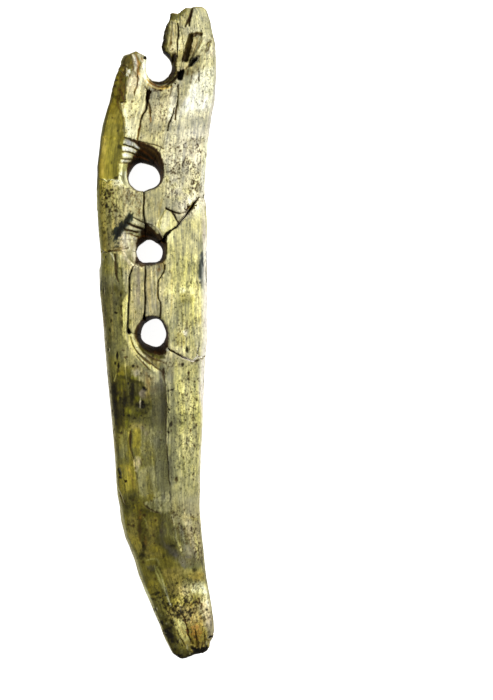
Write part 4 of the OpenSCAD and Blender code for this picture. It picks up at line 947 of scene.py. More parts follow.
A.dabs("umber", [(1140, 1302, 36, 16, 15), (1300, 1282, 22, 16, 0), (1288, 1330, 30, 26, 0)], 0.7)
A.dabs("white", [(918, 1190, 44, 52, -20)], 0.9, soft=0.4)
A.wash("greycream", [(480, 1260), (600, 1400), (760, 1500), (800, 1600), (600, 1600), (420, 1500), (380, 1350), (440, 1280)], 0.6, soft=1.0, mott=0.3)
A.wash("olive", [(330, 1420), (460, 1400), (640, 1470), (700, 1600), (260, 1600), (300, 1500)], 0.6, soft=1.2, mott=0.3)
A.wash("tan", [(520, 1380), (620, 1440), (640, 1520), (540, 1520), (480, 1440)], 0.5, soft=1.0, mott=0.3)
A.dabs("umber", [(485, 1394, 34, 32, 0), (362, 1200, 40, 16, -10), (395, 1285, 60, 20, 0), (545, 1400, 24, 26, 0), (390, 1285, 20, 14, 0)], 0.75, mott=0.2)
A.wash("greycream", [(880, 1240), (1000, 1300), (1240, 1380), (1390, 1340), (1380, 1600), (860, 1600), (850, 1400)], 0.6, soft=1.0, mott=0.3, streak=0.2)
A.line("lemon", [(1020, 1320), (1030, 1450), (1020, 1568)], 60, 0.4, soft=0.8, streak=0.3)
A.dabs("umber", [(1105, 1385, 38, 54, 0), (1182, 1480, 20, 66, 0), (868, 1482, 22, 50, 0), (1316, 1416, 16, 34, 0), (1188, 1390, 14, 14, 0), (868, 1360, 24, 14, 0)], 0.75)
A.spray("umber", [(860, 1320), (1380, 1360), (1360, 1568), (860, 1568)], 80, (0.1, 0.26), 0.55, tall=2)

# ---- middle of the handle
A.at(90, 370, 10.45)
A.wash("stain", [(205, 110), (300, 40), (430, 60), (540, 140), (600, 200), (570, 290), (560, 390), (430, 410), (392, 560), (300, 640), (255, 560), (232, 380), (200, 220)], 0.6, soft=2.4, wob=1.2, streak=0.15, mott=0.45, gloss=0.6)
A.dabs("stain", [(282, 190, 110, 130, 0), (376, 330, 60, 170, 0), (292, 510, 80, 180, 5), (545, 400, 150, 150, 0), (450, 250, 130, 90, 10), (320, 380, 110, 150, 0), (470, 480, 120, 90, 0)], 0.55, soft=1.5, wob=1.2, mott=0.35)
A.dabs("black", [(250, 180, 60, 100, 0), (300, 235, 60, 70, 0), (375, 290, 28, 90, 0), (382, 400, 30, 70, 0), (280, 480, 44, 100, 0), (302, 585, 40, 60, 0), (440, 205, 40, 30, 0), (470, 300, 50, 26, 0), (430, 370, 34, 40, 0), (345, 150, 30, 50, 0), (545, 440, 60, 40, 0)], 0.68, soft=0.8, wob=1.0, mott=0.4)
A.wash("moss", [(300, 20), (420, 0), (430, 90), (360, 130), (300, 100)], 0.7, soft=0.8, mott=0.3)
A.dabs("gold", [(330, 40, 60, 70, 0), (385, 30, 14, 60, 0), (480, 320, 50, 50, 0), (410, 430, 70, 60, 0), (330, 200, 40, 90, 0)], 0.5, soft=0.8, mott=0.3)
A.line("straw", [(402, 60), (404, 160), (408, 260)], 9, 0.5, streak=0.3)
A.line("pale", [(272, 70), (258, 110)], 12, 0.6)
A.dabs("black", [(572, 198, 50, 24, 25), (545, 372, 70, 56, 0), (405, 140, 14, 26, 0), (555, 330, 40, 22, 0)], 0.85, depth=0.3)
A.wash("mauve", [(530, 210), (600, 220), (590, 300), (545, 300), (520, 270)], 0.55, soft=0.6, mott=0.4)
A.line("bone", [(535, 290), (528, 330), (526, 375)], 14, 0.8)
A.wash("greycream", [(440, -10), (640, -10), (630, 160), (600, 190), (560, 130), (470, 80)], 0.7, soft=1.0, mott=0.3)
A.wash("ochre", [(570, 60), (632, 80), (630, 260), (590, 250), (580, 160)], 0.5, soft=0.8, streak=0.3)
A.dabs("bone", [(500, 22, 60, 50, 0)], 0.6, soft=0.6)
A.line("umber", [(628, 60), (640, 100)], 10, 0.6)
A.wash("grey", [(640, 120), (700, -10), (795, -10), (805, 300), (812, 450), (792, 640), (805, 900), (832, 1100), (835, 1240), (720, 1240), (680, 900), (650, 560), (640, 400)], 0.65, soft=1.2, streak=0.35)
A.wash("greyolive", [(660, 190), (800, 150), (808, 420), (790, 640), (700, 700), (650, 560)], 0.7, soft=1.2, streak=0.3)
A.line("dkolive", [(765, 200), (780, 380), (768, 560)], 60, 0.55, soft=1.0, streak=0.35)
A.line("dkolive", [(690, 300), (680, 450), (700, 560)], 40, 0.45, soft=0.9, streak=0.4, mott=0.2)
A.line("umber", [(742, 0), (770, 60), (780, 120)], 24, 0.6, streak=0.3, depth=0.2)
A.line("dkolive", [(640, 330), (645, 400)], 26, 0.6)
A.line("greyolive", [(790, 850), (815, 1000), (820, 1200)], 50, 0.6, soft=0.9, streak=0.3)
A.wash("greycream", [(540, 560), (640, 580), (700, 640), (780, 630), (740, 700), (700, 800), (620, 900), (540, 860), (520, 700)], 0.5, soft=1.2, mott=0.4, streak=0.2)
A.wash("olive", [(560, 760), (640, 740), (690, 900), (680, 1000), (600, 900)], 0.4, soft=1.2, mott=0.4)
A.line("straw", [(655, 920), (664, 1060), (672, 1180), (690, 1240)], 16, 0.5, soft=0.5)
A.line("dkolive", [(682, 940), (684, 1080), (680, 1230)], 8, 0.6, depth=0.25)
A.line("ivory", [(802, 110), (806, 300), (822, 400), (808, 560), (806, 660), (816, 800), (830, 980), (834, 1120), (880, 1232)], [12, 14, 12, 14, 16, 12, 10, 10, 10], 0.75, depth=-0.12)
A.line("umber", [(792, 150), (797, 300), (812, 410), (797, 560), (794, 660), (806, 830), (820, 990), (826, 1120), (842, 1200)], [4, 7, 8, 7, 8, 7, 5, 4, 4], 0.5, depth=0.3)
A.wash("ivory", [(806, 40), (850, 40), (856, 300), (846, 640), (850, 760), (800, 740), (804, 640), (818, 400), (804, 240)], 0.6, soft=0.4, streak=0.3)
A.wash("grey", [(852, 100), (896, 90), (905, 500), (905, 800), (912, 1150), (870, 1200), (836, 1000), (850, 760), (850, 400)], 0.65, soft=0.8, streak=0.35)
A.dabs("umber", [(822, 212, 14, 26, 0), (855, 205, 30, 12, 0), (830, 408, 18, 20, 0), (850, 562, 22, 66, 12), (822, 650, 18, 20, 0), (850, 630, 14, 20, 0), (770, 15, 26, 70, 0), (905, 1140, 28, 60, 0)], 0.8, depth=0.2)
A.wash("straw", [(898, -10), (1190, -10), (1182, 400), (1168, 800), (1152, 1150), (1150, 1568), (905, 1568), (925, 1000), (905, 500)], 0.6, soft=1.0, streak=0.3)
A.line("lemon", [(930, 60), (960, 300), (985, 500), (950, 640)], 70, 0.45, soft=1.0, streak=0.4)
A.line("lemon", [(1100, 150), (1110, 350), (1130, 550)], 90, 0.5, soft=1.2, mott=0.3)
A.line("greyolive", [(940, 640), (960, 860), (985, 1100), (1000, 1400)], 22, 0.45, soft=0.6, streak=0.4)
A.line("grey", [(1020, 700), (1035, 900), (1050, 1200), (1060, 1500)], 28, 0.5, soft=0.7, streak=0.4)
A.line("grey", [(1140, 900), (1130, 1200), (1120, 1500)], 30, 0.4, soft=0.7, streak=0.4)
A.line("bone", [(940, 960), (950, 1200), (940, 1450)], 40, 0.5, soft=0.8, streak=0.4)
A.wash("greycream", [(900, 1140), (1150, 1100), (1150, 1568), (880, 1568), (880, 1300)], 0.5, soft=1.5, streak=0.4)
A.spray("umber", [(930, 330), (1170, 330), (1160, 780), (1060, 860), (940, 820), (910, 560)], 260, (0.08, 0.18), 0.7, tall=1.8, soft=4)
A.spray("umber", [(900, 60), (1190, 60), (1180, 400), (900, 400)], 110, (0.1, 0.26), 0.65, tall=1.8)
A.spray("dkolive", [(920, 780), (1150, 780), (1140, 1300), (900, 1300)], 110, (0.1, 0.26), 0.5, tall=2.6)
A.dabs("umber", [(1034, 30, 20, 34, 0), (1038, 90, 16, 44, 0), (1130, 90, 18, 26, 20), (1098, 122, 20, 20, 0), (1176, 110, 14, 70, 0), (965, 252, 16, 18, 0), (1115, 252, 14, 14, 0), (925, 340, 14, 12, 0), (1078, 492, 18, 26, 0), (1110, 575, 18, 40, 0), (1050, 625, 16, 40, 0), (1085, 600, 12, 26, 0), (1000, 520, 12, 20, 0), (1090, 788, 16, 26, -30), (1078, 1085, 14, 26, 0), (1082, 1140, 12, 20, 0), (980, 905, 12, 30, 0)], 0.8)
A.line("pale", [(985, 750), (1040, 760), (1085, 785)], 6, 0.5)
A.wash("moss", [(262, 600), (400, 600), (440, 900), (470, 1150), (500, 1400), (330, 1420), (290, 1200), (262, 900)], 0.6, soft=1.2, mott=0.3)
A.wash("grey", [(270, 640), (380, 620), (400, 760), (380, 900), (290, 900)], 0.45, soft=1.2, streak=0.4)
A.line("gold", [(430, 560), (405, 700), (420, 850), (440, 1000), (440, 1200)], [24, 24, 34, 44, 50], 0.75, soft=0.6, streak=0.25)
A.line("lemon", [(428, 540), (420, 600), (395, 720)], 10, 0.5)
A.wash("gold", [(452, 600), (532, 602), (534, 850), (492, 905), (448, 790), (440, 700)], 0.5, soft=0.9, mott=0.25)
A.wash("moss", [(452, 640), (512, 622), (524, 820), (492, 895), (455, 790), (446, 700)], 0.35, soft=0.9, mott=0.25)
A.wash("ochre", [(440, 560), (560, 560), (560, 610), (450, 620)], 0.5, soft=0.6, mott=0.4)
A.line("umber", [(420, 640), (434, 700), (424, 780), (442, 870), (468, 950), (480, 1040), (492, 1140), (508, 1240), (514, 1312)], [5, 10, 6, 8, 5, 4, 4, 4, 3], 0.7, soft=0.3, depth=0.35)
A.wash("pink", [(466, 912), (530, 902), (542, 960), (522, 1012), (488, 1072), (470, 1000)], 0.45, soft=0.5, mott=0.4, depth=-0.08)
A.dabs("mauve", [(512, 950, 34, 60, 0), (500, 1005, 24, 30, 0)], 0.55, soft=0.5)
A.line("umber", [(528, 930), (545, 990)], 8, 0.5)
A.wash("gold", [(290, 1010), (400, 980), (480, 1060), (500, 1260), (420, 1280), (340, 1300), (290, 1180)], 0.75, soft=1.2, mott=0.3)
A.line("amber", [(400, 1010), (440, 1120), (470, 1230)], 26, 0.45, soft=0.8, mott=0.3)
A.dabs("black", [(312, 1062, 34, 84, -14), (376, 1160, 26, 26, 0), (322, 1302, 14, 32, 0), (318, 1118, 34, 26, 0), (272, 1020, 12, 50, 0)], 0.9, depth=0.35)
A.dabs("umber", [(330, 660, 26, 20, 0), (310, 700, 16, 16, 0), (555, 930, 14, 14, 0), (560, 1075, 14, 18, 0), (720, 900, 10, 18, 0), (745, 725, 24, 16, 0)], 0.65)
A.wash("greycream", [(500, 1060), (680, 1000), (690, 1240), (700, 1300), (560, 1320), (520, 1230)], 0.55, soft=1.2, streak=0.35)
A.line("olive", [(610, 1080), (620, 1200), (640, 1320), (600, 1400)], 60, 0.5, soft=1.2, mott=0.3)
A.wash("dkolive", [(380, 1270), (470, 1250), (540, 1320), (540, 1440), (420, 1460), (370, 1380)], 0.7, soft=1.0, mott=0.3)
A.dabs("stain", [(440, 1330, 60, 60, 0), (390, 1430, 40, 50, 0), (560, 1480, 120, 60, 0), (680, 1475, 100, 26, 0), (580, 1510, 40, 30, 0)], 0.65, soft=0.7, mott=0.3)
A.wash("bone", [(700, 1260), (880, 1280), (880, 1420), (780, 1470), (700, 1400)], 0.45, soft=1.2, mott=0.4)
A.wash("ochre", [(850, 1380), (1100, 1400), (1140, 1568), (860, 1568)], 0.3, soft=1.5, streak=0.3)
A.line("straw", [(222, 400), (245, 600), (262, 850), (280, 1050)], 16, 0.55, soft=0.6, streak=0.2)
# painted rim highlight: pale line along the lower left contour
A.line("pale", [(282, 1230), (300, 1330), (320, 1450), (350, 1568)], [14, 22, 24, 24], 0.75, soft=0.5)
A.line("umber", [(290, 1240), (330, 1310), (350, 1380), (380, 1420)], 12, 0.7, streak=0.2, depth=0.3)
A.dabs("umber", [(748, 1410, 18, 20, 0), (930, 1430, 30, 16, 0), (1050, 1475, 20, 14, 0), (990, 1460, 12, 24, 0), (1140, 1400, 12, 60, 0)], 0.6)

# ---- lower end
A.at(110, 515, 10.45)
A.wash("moss", [(150, -20), (560, -20), (640, 260), (860, 480), (900, 620), (600, 700), (360, 640), (220, 400), (150, 150)], 0.6, soft=2.0, mott=0.35, gloss=0.55)
A.wash("ochre", [(200, 0), (280, 0), (330, 260), (420, 260), (380, 120), (440, 0), (520, 60), (480, 220), (560, 400), (480, 440), (300, 380), (200, 200)], 0.4, soft=1.2, mott=0.4)
A.wash("greyolive", [(560, -20), (720, -20), (740, 160), (860, 330), (980, 470), (920, 560), (760, 540), (600, 400), (480, 300), (500, 180), (580, 120)], 0.75, soft=1.4, streak=0.35)
A.wash("dkolive", [(480, 240), (620, 220), (760, 380), (880, 450), (880, 520), (740, 520), (620, 420), (520, 320)], 0.75, soft=1.4, mott=0.2, streak=0.2)
A.line("greyolive", [(620, 150), (700, 260), (780, 400)], 60, 0.5, soft=1.0, streak=0.4)
A.wash("greycream", [(620, -20), (940, -20), (955, 200), (975, 420), (900, 440), (760, 260), (700, 100)], 0.5, soft=1.4, streak=0.45)
A.line("grey", [(720, 40), (770, 200), (840, 360)], 40, 0.6, soft=0.9, streak=0.4)
A.line("dkolive", [(740, 60), (780, 150), (800, 240), (840, 360)], 40, 0.5, soft=0.8, streak=0.3, mott=0.4)
A.line("straw", [(690, 180), (730, 320), (800, 440)], 14, 0.6, streak=0.3)
A.line("lemon", [(870, 60), (890, 220), (915, 330), (920, 440)], [20, 24, 34, 20], 0.55, soft=0.7, streak=0.3)
A.line("dkolive", [(850, 300), (870, 420), (880, 560)], 24, 0.6, soft=0.6, mott=0.3)
A.dabs("stain", [(352, 322, 50, 60, 0), (350, 400, 60, 70, 0), (235, 100, 40, 20, 0), (310, 130, 50, 90, 0), (355, 240, 50, 50, 0), (440, 570, 70, 60, 0), (520, 575, 30, 30, 0), (350, 492, 30, 20, 0), (640, 310, 60, 30, 0), (690, 400, 60, 40, 0), (885, 570, 34, 44, 0)], 0.5, soft=1.3, wob=1.3, mott=0.35)
A.dabs("gold", [(490, 340, 130, 100, 0), (560, 370, 60, 60, 0), (300, 300, 60, 90, 0), (640, 640, 160, 70, 0), (430, 720, 80, 120, 0), (700, 740, 100, 60, 0)], 0.5, soft=1.0, mott=0.4)
A.line("straw", [(392, 468), (440, 455), (490, 455), (520, 510)], 14, 0.55, soft=0.5)
A.line("lemon", [(495, 540), (525, 600), (550, 665), (570, 740)], [14, 18, 18, 12], 0.75, soft=0.5)
A.line("straw", [(510, 670), (560, 760), (590, 830), (610, 910)], [16, 34, 20, 12], 0.6, soft=0.5, streak=0.3)
A.line("pale", [(585, 740), (600, 820), (620, 905), (635, 935)], 9, 0.6, streak=0.2)
A.wash("ochre", [(560, 560), (860, 560), (1000, 620), (900, 720), (860, 820), (640, 820), (600, 700)], 0.5, soft=1.2, mott=0.35)
A.wash("grey", [(750, 700), (880, 640), (880, 800), (860, 900), (780, 840)], 0.35, soft=1.2, mott=0.3)
A.wash("amber", [(840, 600), (980, 600), (1010, 660), (940, 700), (860, 680)], 0.5, soft=1.0, mott=0.4)
A.wash("cream", [(860, 720), (980, 680), (1030, 860), (1050, 1060), (980, 1080), (930, 1000), (930, 860), (880, 800)], 0.45, soft=1.6, mott=0.35)
A.line("ivory", [(950, 700), (1000, 820), (1030, 960)], 34, 0.5, soft=0.8, mott=0.4)
A.wash("ochre", [(600, 960), (880, 960), (960, 1060), (1060, 1200), (1040, 1360), (880, 1420), (680, 1380), (600, 1200)], 0.6, soft=1.2, mott=0.3)
A.wash("lemon", [(660, 1080), (752, 1096), (800, 1190), (832, 1300), (762, 1302), (702, 1202), (670, 1150)], 0.7, soft=0.6, mott=0.2)
A.line("amber", [(690, 1100), (740, 1180), (790, 1280)], 30, 0.6, mott=0.3)
A.wash("rust", [(852, 1120), (950, 1120), (960, 1240), (960, 1350), (900, 1360), (850, 1260), (830, 1180)], 0.3, soft=0.8, mott=0.35)
A.line("amber", [(860, 1060), (850, 1130), (862, 1220)], 18, 0.7, streak=0.2)
A.line("amber", [(950, 1050), (960, 1160), (980, 1300)], 26, 0.55, mott=0.4)
A.wash("mauve", [(1010, 1080), (1070, 1060), (1092, 1180), (1080, 1290), (1030, 1290), (1020, 1180)], 0.65, soft=0.8, mott=0.3)
A.wash("tan", [(960, 880), (1050, 980), (1080, 1100), (1020, 1120), (980, 1020)], 0.4, soft=0.8, mott=0.4)
A.line("black", [(1022, 1290), (1045, 1275), (1072, 1270)], 24, 0.9, depth=0.9)
A.line("umber", [(740, 960), (752, 1030), (772, 1070), (800, 1160), (812, 1230), (832, 1292), (872, 1350)], [5, 5, 8, 10, 8, 13, 12], 0.8, wob=0.4, depth=0.6)
A.line("umber", [(890, 1200), (905, 1290), (910, 1370)], [10, 16, 26], 0.75, depth=0.6, mott=0.2)
A.line("umber", [(850, 1180), (850, 1260), (862, 1330)], 10, 0.6, depth=0.4)
A.line("umber", [(700, 1200), (740, 1290), (790, 1370)], 12, 0.6, depth=0.4, mott=0.2)
A.line("umber", [(980, 1240), (990, 1330), (1000, 1390)], 14, 0.55, depth=0.4, mott=0.3)
A.wash("greyolive", [(430, 870), (560, 900), (620, 1100), (560, 1100), (480, 1000)], 0.5, soft=1.0, mott=0.4)
A.wash("moss", [(560, 1100), (680, 1180), (760, 1330), (850, 1420), (850, 1470), (740, 1530), (630, 1440), (560, 1280)], 0.7, soft=0.9, mott=0.3)
A.wash("stain", [(560, 1180), (660, 1180), (700, 1290), (720, 1340), (660, 1330), (600, 1290)], 0.8, soft=0.7, mott=0.35)
A.dabs("black", [(610, 1210, 60, 50, 0), (660, 1285, 70, 30, 20), (535, 1130, 34, 44, 0), (625, 1100, 30, 26, 0), (735, 1470, 50, 24, 0), (700, 1500, 26, 20, 0), (640, 1445, 26, 24, 0), (860, 1380, 40, 40, 0), (560, 1240, 16, 16, 0)], 0.75, soft=0.5, mott=0.3)
A.line("stain", [(430, 830), (480, 812), (520, 815)], 20, 0.75, mott=0.3)
A.line("stain", [(440, 880), (470, 870), (520, 850)], 18, 0.7, mott=0.3)
A.wash("stain", [(630, 1390), (740, 1400), (840, 1420), (860, 1462), (770, 1500), (740, 1530), (660, 1470)], 0.65, soft=0.6, mott=0.4)
A.wash("black", [(868, 1385), (940, 1400), (1010, 1376), (1030, 1410), (1000, 1450), (930, 1470), (860, 1465), (880, 1425)], 0.92, soft=0.4, depth=0.6)
A.dabs("ivory", [(600, 1290, 20, 60, 20), (590, 1270, 16, 20, 0), (1010, 1340, 30, 60, 10), (690, 1330, 14, 40, 30)], 0.5, mott=0.3)
A.spray("black", [(500, 860), (620, 760), (860, 780), (920, 1000), (880, 1100), (760, 1120), (600, 1140), (540, 980)], 300, (0.1, 0.32), 0.8, tall=1.8, depth=0.12, soft=5)
A.dabs("black", [(700, 1040, 80, 60, 10), (650, 980, 40, 30, 0), (620, 930, 26, 60, 0), (805, 870, 18, 40, 0), (875, 915, 20, 20, 0), (770, 940, 30, 26, 0), (840, 1020, 30, 30, 0), (690, 950, 40, 26, 0), (590, 940, 20, 26, 0), (730, 1070, 50, 26, 0), (965, 830, 14, 26, 0), (970, 960, 12, 60, 10), (700, 700, 24, 24, 0), (560, 435, 18, 18, 0), (770, 130, 12, 20, 0)], 0.6, soft=0.5, wob=0.7, mott=0.5, depth=0.12)
A.spray("umber", [(820, 820), (1020, 820), (1060, 1100), (900, 1060)], 90, (0.1, 0.28), 0.7, tall=2.5)
A.spray("stain", [(440, 960), (640, 1040), (700, 1300), (560, 1240)], 110, (0.12, 0.36), 0.65)
A.spray("umber", [(780, 1060), (1050, 1060), (1060, 1380), (860, 1380)], 90, (0.1, 0.3), 0.6, tall=2)
A.spray("dkolive", [(200, 0), (560, 0), (860, 500), (860, 700), (420, 700)], 170, (0.12, 0.36), 0.5)
A.spray("umber", [(600, 0), (940, 0), (980, 480), (860, 480), (720, 200)], 150, (0.1, 0.26), 0.55, tall=2.5)
# painted rim highlight: pale line along the left contour down to the tip
A.line("pale", [(118, 20), (150, 170), (190, 290), (270, 480), (345, 690), (430, 910), (500, 1080), (548, 1200), (600, 1330)], [26, 26, 24, 20, 20, 22, 20, 20, 18], 0.7, soft=0.5, mott=0.15)
A.line("grey", [(150, 60), (200, 240), (300, 500), (380, 720)], 14, 0.5, soft=0.5)
A.dabs("black", [(600, 1230, 110, 130, 0), (650, 1330, 110, 100, 0), (690, 1430, 110, 80, 0), (770, 1485, 100, 60, 0), (560, 1130, 60, 80, 0), (840, 1450, 60, 40, 0)], 0.45, soft=1.0, wob=1.2, mott=0.5)
A.dabs("stain", [(500, 960, 60, 120, -20), (560, 1060, 60, 100, -20), (620, 1160, 60, 60, 0), (1000, 1430, 60, 40, 0)], 0.5, soft=0.9, wob=1.0, mott=0.5)
# ---- closer work on the two prongs and the first hole
A.at(112, 5, 6.909)
# painted shade: dark umber and olive band down the tall prong's left side, turned from the light
A.line("umber", [(408, 62), (398, 95), (380, 125), (368, 165), (362, 210), (352, 255), (346, 295), (360, 325), (385, 355), (405, 375)], [10, 14, 22, 24, 22, 22, 20, 18, 16, 14], 0.75, soft=0.6, mott=0.2)
A.line("dkolive", [(400, 110), (385, 170), (375, 240), (372, 290)], [14, 20, 22, 16], 0.6, soft=0.6, streak=0.3)
A.wash("dkolive", [(402, 60), (440, 68), (470, 50), (500, 25), (520, 30), (490, 70), (460, 100), (430, 112), (402, 100)], 0.6, soft=0.5, mott=0.4)
A.line("umber", [(430, 72), (470, 52), (500, 28), (545, 14)], [8, 7, 9, 5], 0.65, soft=0.4, mott=0.3)
A.line("brown", [(475, 95), (470, 130), (478, 165)], 7, 0.75, depth=0.3)
A.line("brown", [(492, 70), (484, 120), (486, 150)], 6, 0.65, depth=0.25)
A.line("brown", [(512, 45), (508, 80), (500, 100)], 6, 0.6, depth=0.2)
A.line("umber", [(420, 125), (416, 180), (408, 230), (404, 300)], [4, 6, 5, 4], 0.6, soft=0.3, depth=0.25)
A.line("bone", [(432, 130), (430, 200), (424, 280)], 7, 0.6, streak=0.3)
A.wash("ochre", [(380, 120), (450, 120), (455, 250), (440, 330), (400, 340), (360, 300)], 0.25, soft=0.8, mott=0.3)
A.wash("greycream", [(470, 110), (510, 90), (520, 200), (500, 330), (470, 360), (462, 220)], 0.5, soft=0.8, streak=0.4)
A.line("brown", [(540, 225), (525, 300), (505, 380)], 18, 0.55, streak=0.35)
A.line("tan", [(548, 230), (535, 300), (518, 370)], 5, 0.5, streak=0.3)
A.line("brown", [(600, 215), (585, 280), (560, 340)], 10, 0.6, depth=0.5)
A.line("brown", [(575, 235), (560, 300), (540, 360)], 7, 0.6, depth=0.5)
A.line("ivory", [(590, 240), (572, 300), (556, 345)], 6, 0.6)
A.line("brown", [(620, 210), (618, 260), (600, 310)], 8, 0.6, depth=0.35)
A.line("umber", [(530, 212), (560, 208), (590, 200), (622, 215)], [8, 12, 16, 10], 0.8, wob=0.3, depth=0.6)
A.dabs("umber", [(590, 205, 30, 18, 20), (614, 214, 16, 16, 0), (560, 218, 20, 12, 0)], 0.8, mott=0.3, depth=0.5)
A.line("umber", [(690, 252), (665, 268), (650, 290)], 5, 0.7, depth=0.2)
A.line("brown", [(665, 265), (655, 300), (640, 340)], 5, 0.65, depth=0.2)
A.dabs("brown", [(602, 300, 8, 14, 0), (625, 322, 8, 12, 0), (640, 352, 6, 14, 0), (560, 255, 6, 10, 0)], 0.6)
# the first hole's right rim: dark brown band, partly painted shade on the wall turned from the light
A.wash("umber", [(418, 345), (448, 345), (446, 420), (442, 470), (426, 510), (400, 535), (370, 545), (395, 515), (410, 470), (414, 400)], 0.85, soft=0.5, mott=0.15)
A.line("moss", [(440, 470), (420, 510), (385, 540)], 12, 0.6, soft=0.4)
A.line("brown", [(432, 400), (427, 460), (405, 505)], 8, 0.5, soft=0.4)
A.line("black", [(436, 350), (440, 390)], 12, 0.7, soft=0.4)
A.wash("pale", [(455, 405), (480, 398), (520, 402), (528, 425), (500, 445), (462, 448), (452, 430)], 0.85, soft=0.3, wob=0.4, depth=-0.1)
A.line("tan", [(455, 430), (490, 436), (525, 428)], 4, 0.6)
A.line("umber", [(452, 470), (440, 520), (400, 548)], [6, 8, 5], 0.75, depth=0.5)
A.wash("umber", [(70, 360), (100, 348), (135, 352), (150, 385), (155, 420), (120, 430), (85, 415), (62, 430), (60, 400)], 0.6, soft=0.6, wob=0.8, mott=0.5)
A.dabs("olive", [(95, 385, 24, 18, 0), (60, 440, 26, 22, 0), (45, 520, 30, 44, 0), (72, 560, 26, 40, 0), (90, 620, 20, 50, 0), (35, 600, 26, 44, 0), (40, 660, 30, 30, 0)], 0.75, wob=0.6, mott=0.35)
A.dabs("umber", [(75, 425, 26, 20, 0), (30, 480, 24, 28, 0), (85, 480, 18, 34, 0), (60, 600, 22, 26, 0), (20, 560, 22, 28, 0), (92, 650, 18, 44, 0), (50, 655, 20, 20, 0), (110, 440, 20, 10, 0), (70, 520, 18, 22, 0), (95, 590, 12, 20, 0)], 0.8, wob=0.6, mott=0.3, depth=0.2)
A.dabs("gold", [(88, 440, 18, 20, 0), (50, 470, 20, 16, 0), (68, 640, 16, 16, 0), (30, 520, 14, 20, 0)], 0.7, wob=0.5, mott=0.3)
A.line("white", [(140, 345), (155, 375), (168, 410)], [10, 17, 12], 0.9, soft=0.25, depth=-0.15)
A.line("cream", [(175, 340), (190, 370), (205, 400)], 12, 0.8, soft=0.25)
A.line("moss", [(170, 355), (180, 390), (192, 430), (186, 470)], 8, 0.85, depth=0.3)
A.line("brown", [(166, 418), (180, 440), (176, 480), (190, 520)], 5, 0.8, depth=0.25)
A.line("orange", [(186, 395), (202, 428)], 5, 0.7)
A.line("umber", [(205, 355), (216, 375), (228, 372)], 5, 0.7)
A.wash("pale", [(92, 438), (112, 450), (128, 455), (130, 475), (110, 500), (98, 485), (104, 462)], 0.9, soft=0.25, wob=0.4, depth=-0.15)
A.line("brown", [(180, 505), (176, 560), (160, 600), (158, 640)], [6, 4, 5, 3], 0.75, depth=0.25)
A.line("amber", [(232, 530), (262, 560), (300, 580), (345, 585), (390, 578), (420, 565)], 10, 0.65)
A.line("umber", [(262, 518), (290, 540), (330, 550), (370, 545), (400, 535)], 7, 0.75, depth=0.3)
A.line("rust", [(245, 520), (275, 548), (310, 566), (350, 572)], 5, 0.85, depth=0.25)
A.line("pale", [(238, 528), (268, 556), (300, 573)], 5, 0.9)
A.line("moss", [(360, 575), (400, 560), (440, 530)], 12, 0.6, soft=0.4)
A.dabs("umber", [(285, 583, 10, 8, 0), (318, 600, 30, 8, -10), (298, 598, 12, 8, 0), (232, 580, 10, 10, 0), (420, 540, 20, 10, -30), (395, 600, 10, 14, 0), (460, 560, 8, 14, 0), (560, 470, 6, 24, 10), (600, 520, 8, 30, 0), (632, 440, 8, 30, 10), (640, 380, 8, 14, 0), (625, 605, 10, 10, 0)], 0.75, mott=0.2, depth=0.25)
A.spray("umber", [(240, 600), (480, 560), (460, 700), (240, 700)], 70, (0.1, 0.2), 0.7, soft=2)
A.spray("grey", [(560, 60), (680, 90), (730, 330), (740, 690), (600, 690), (620, 400), (560, 200)], 240, (0.1, 0.22), 0.7, soft=2)

# ---- closer work between the second and the third hole
A.at(92, 160, 6.333)
A.wash("umber", [(600, 290), (636, 284), (664, 240), (674, 244), (655, 285), (640, 300), (648, 316), (625, 322), (618, 345), (600, 350), (598, 330), (578, 320), (600, 310)], 0.93, soft=0.25, wob=0.5, depth=1.1)
A.line("umber", [(600, 340), (570, 375), (545, 405)], [14, 10, 8], 0.85, depth=0.8)
A.wash("slate", [(238, 345), (252, 338), (262, 352), (255, 385), (240, 400), (228, 428), (205, 440), (200, 470), (175, 490), (165, 520), (145, 505), (135, 470), (150, 430), (185, 400), (210, 385), (225, 360)], 0.9, soft=0.3, wob=0.9, mott=0.15, fleck=0)
A.wash("black", [(236, 352), (250, 350), (244, 380), (222, 400), (200, 430), (180, 470), (160, 500), (148, 480), (165, 440), (200, 405)], 0.75, soft=0.4, wob=0.8, mott=0.3)
A.dabs("slate", [(175, 535, 14, 8, 0), (150, 528, 10, 10, 0), (195, 505, 12, 8, 0), (165, 548, 30, 8, -15), (140, 515, 10, 14, 0), (125, 500, 6, 6, 0)], 0.85, wob=0.4)
A.wash("pale", [(205, 490), (240, 470), (275, 475), (285, 500), (278, 540), (285, 600), (270, 640), (250, 600), (230, 560), (215, 545), (200, 520)], 0.8, soft=0.35, wob=0.7, mott=0.3)
A.dabs("white", [(235, 520, 34, 30, 0), (262, 500, 24, 20, 0), (255, 560, 24, 40, 0), (222, 500, 16, 14, 0)], 0.85, wob=0.6, mott=0.25, depth=-0.12)
A.dabs("pink", [(265, 540, 14, 30, 0), (240, 545, 16, 16, 0)], 0.7, wob=0.4)
A.line("umber", [(225, 405), (260, 420), (300, 435), (335, 445)], [6, 9, 10, 9], 0.88, depth=0.7)
A.line("umber", [(205, 440), (250, 450), (290, 462)], [5, 8, 9], 0.85, depth=0.6)
A.line("rust", [(232, 470), (270, 480), (292, 490)], 6, 0.75, depth=0.4)
A.line("umber", [(210, 470), (235, 466), (262, 472)], 5, 0.7, depth=0.3)
A.line("brown", [(215, 503), (250, 508), (275, 512)], 4, 0.7, depth=0.25)
A.line("pale", [(240, 432), (280, 446), (305, 454)], [6, 8, 5], 0.8)
A.line("cream", [(262, 392), (300, 404), (335, 412)], [5, 8, 5], 0.7)
A.line("cream", [(345, 393), (392, 413), (425, 447), (442, 480)], [7, 11, 11, 6], 0.85, soft=0.3)
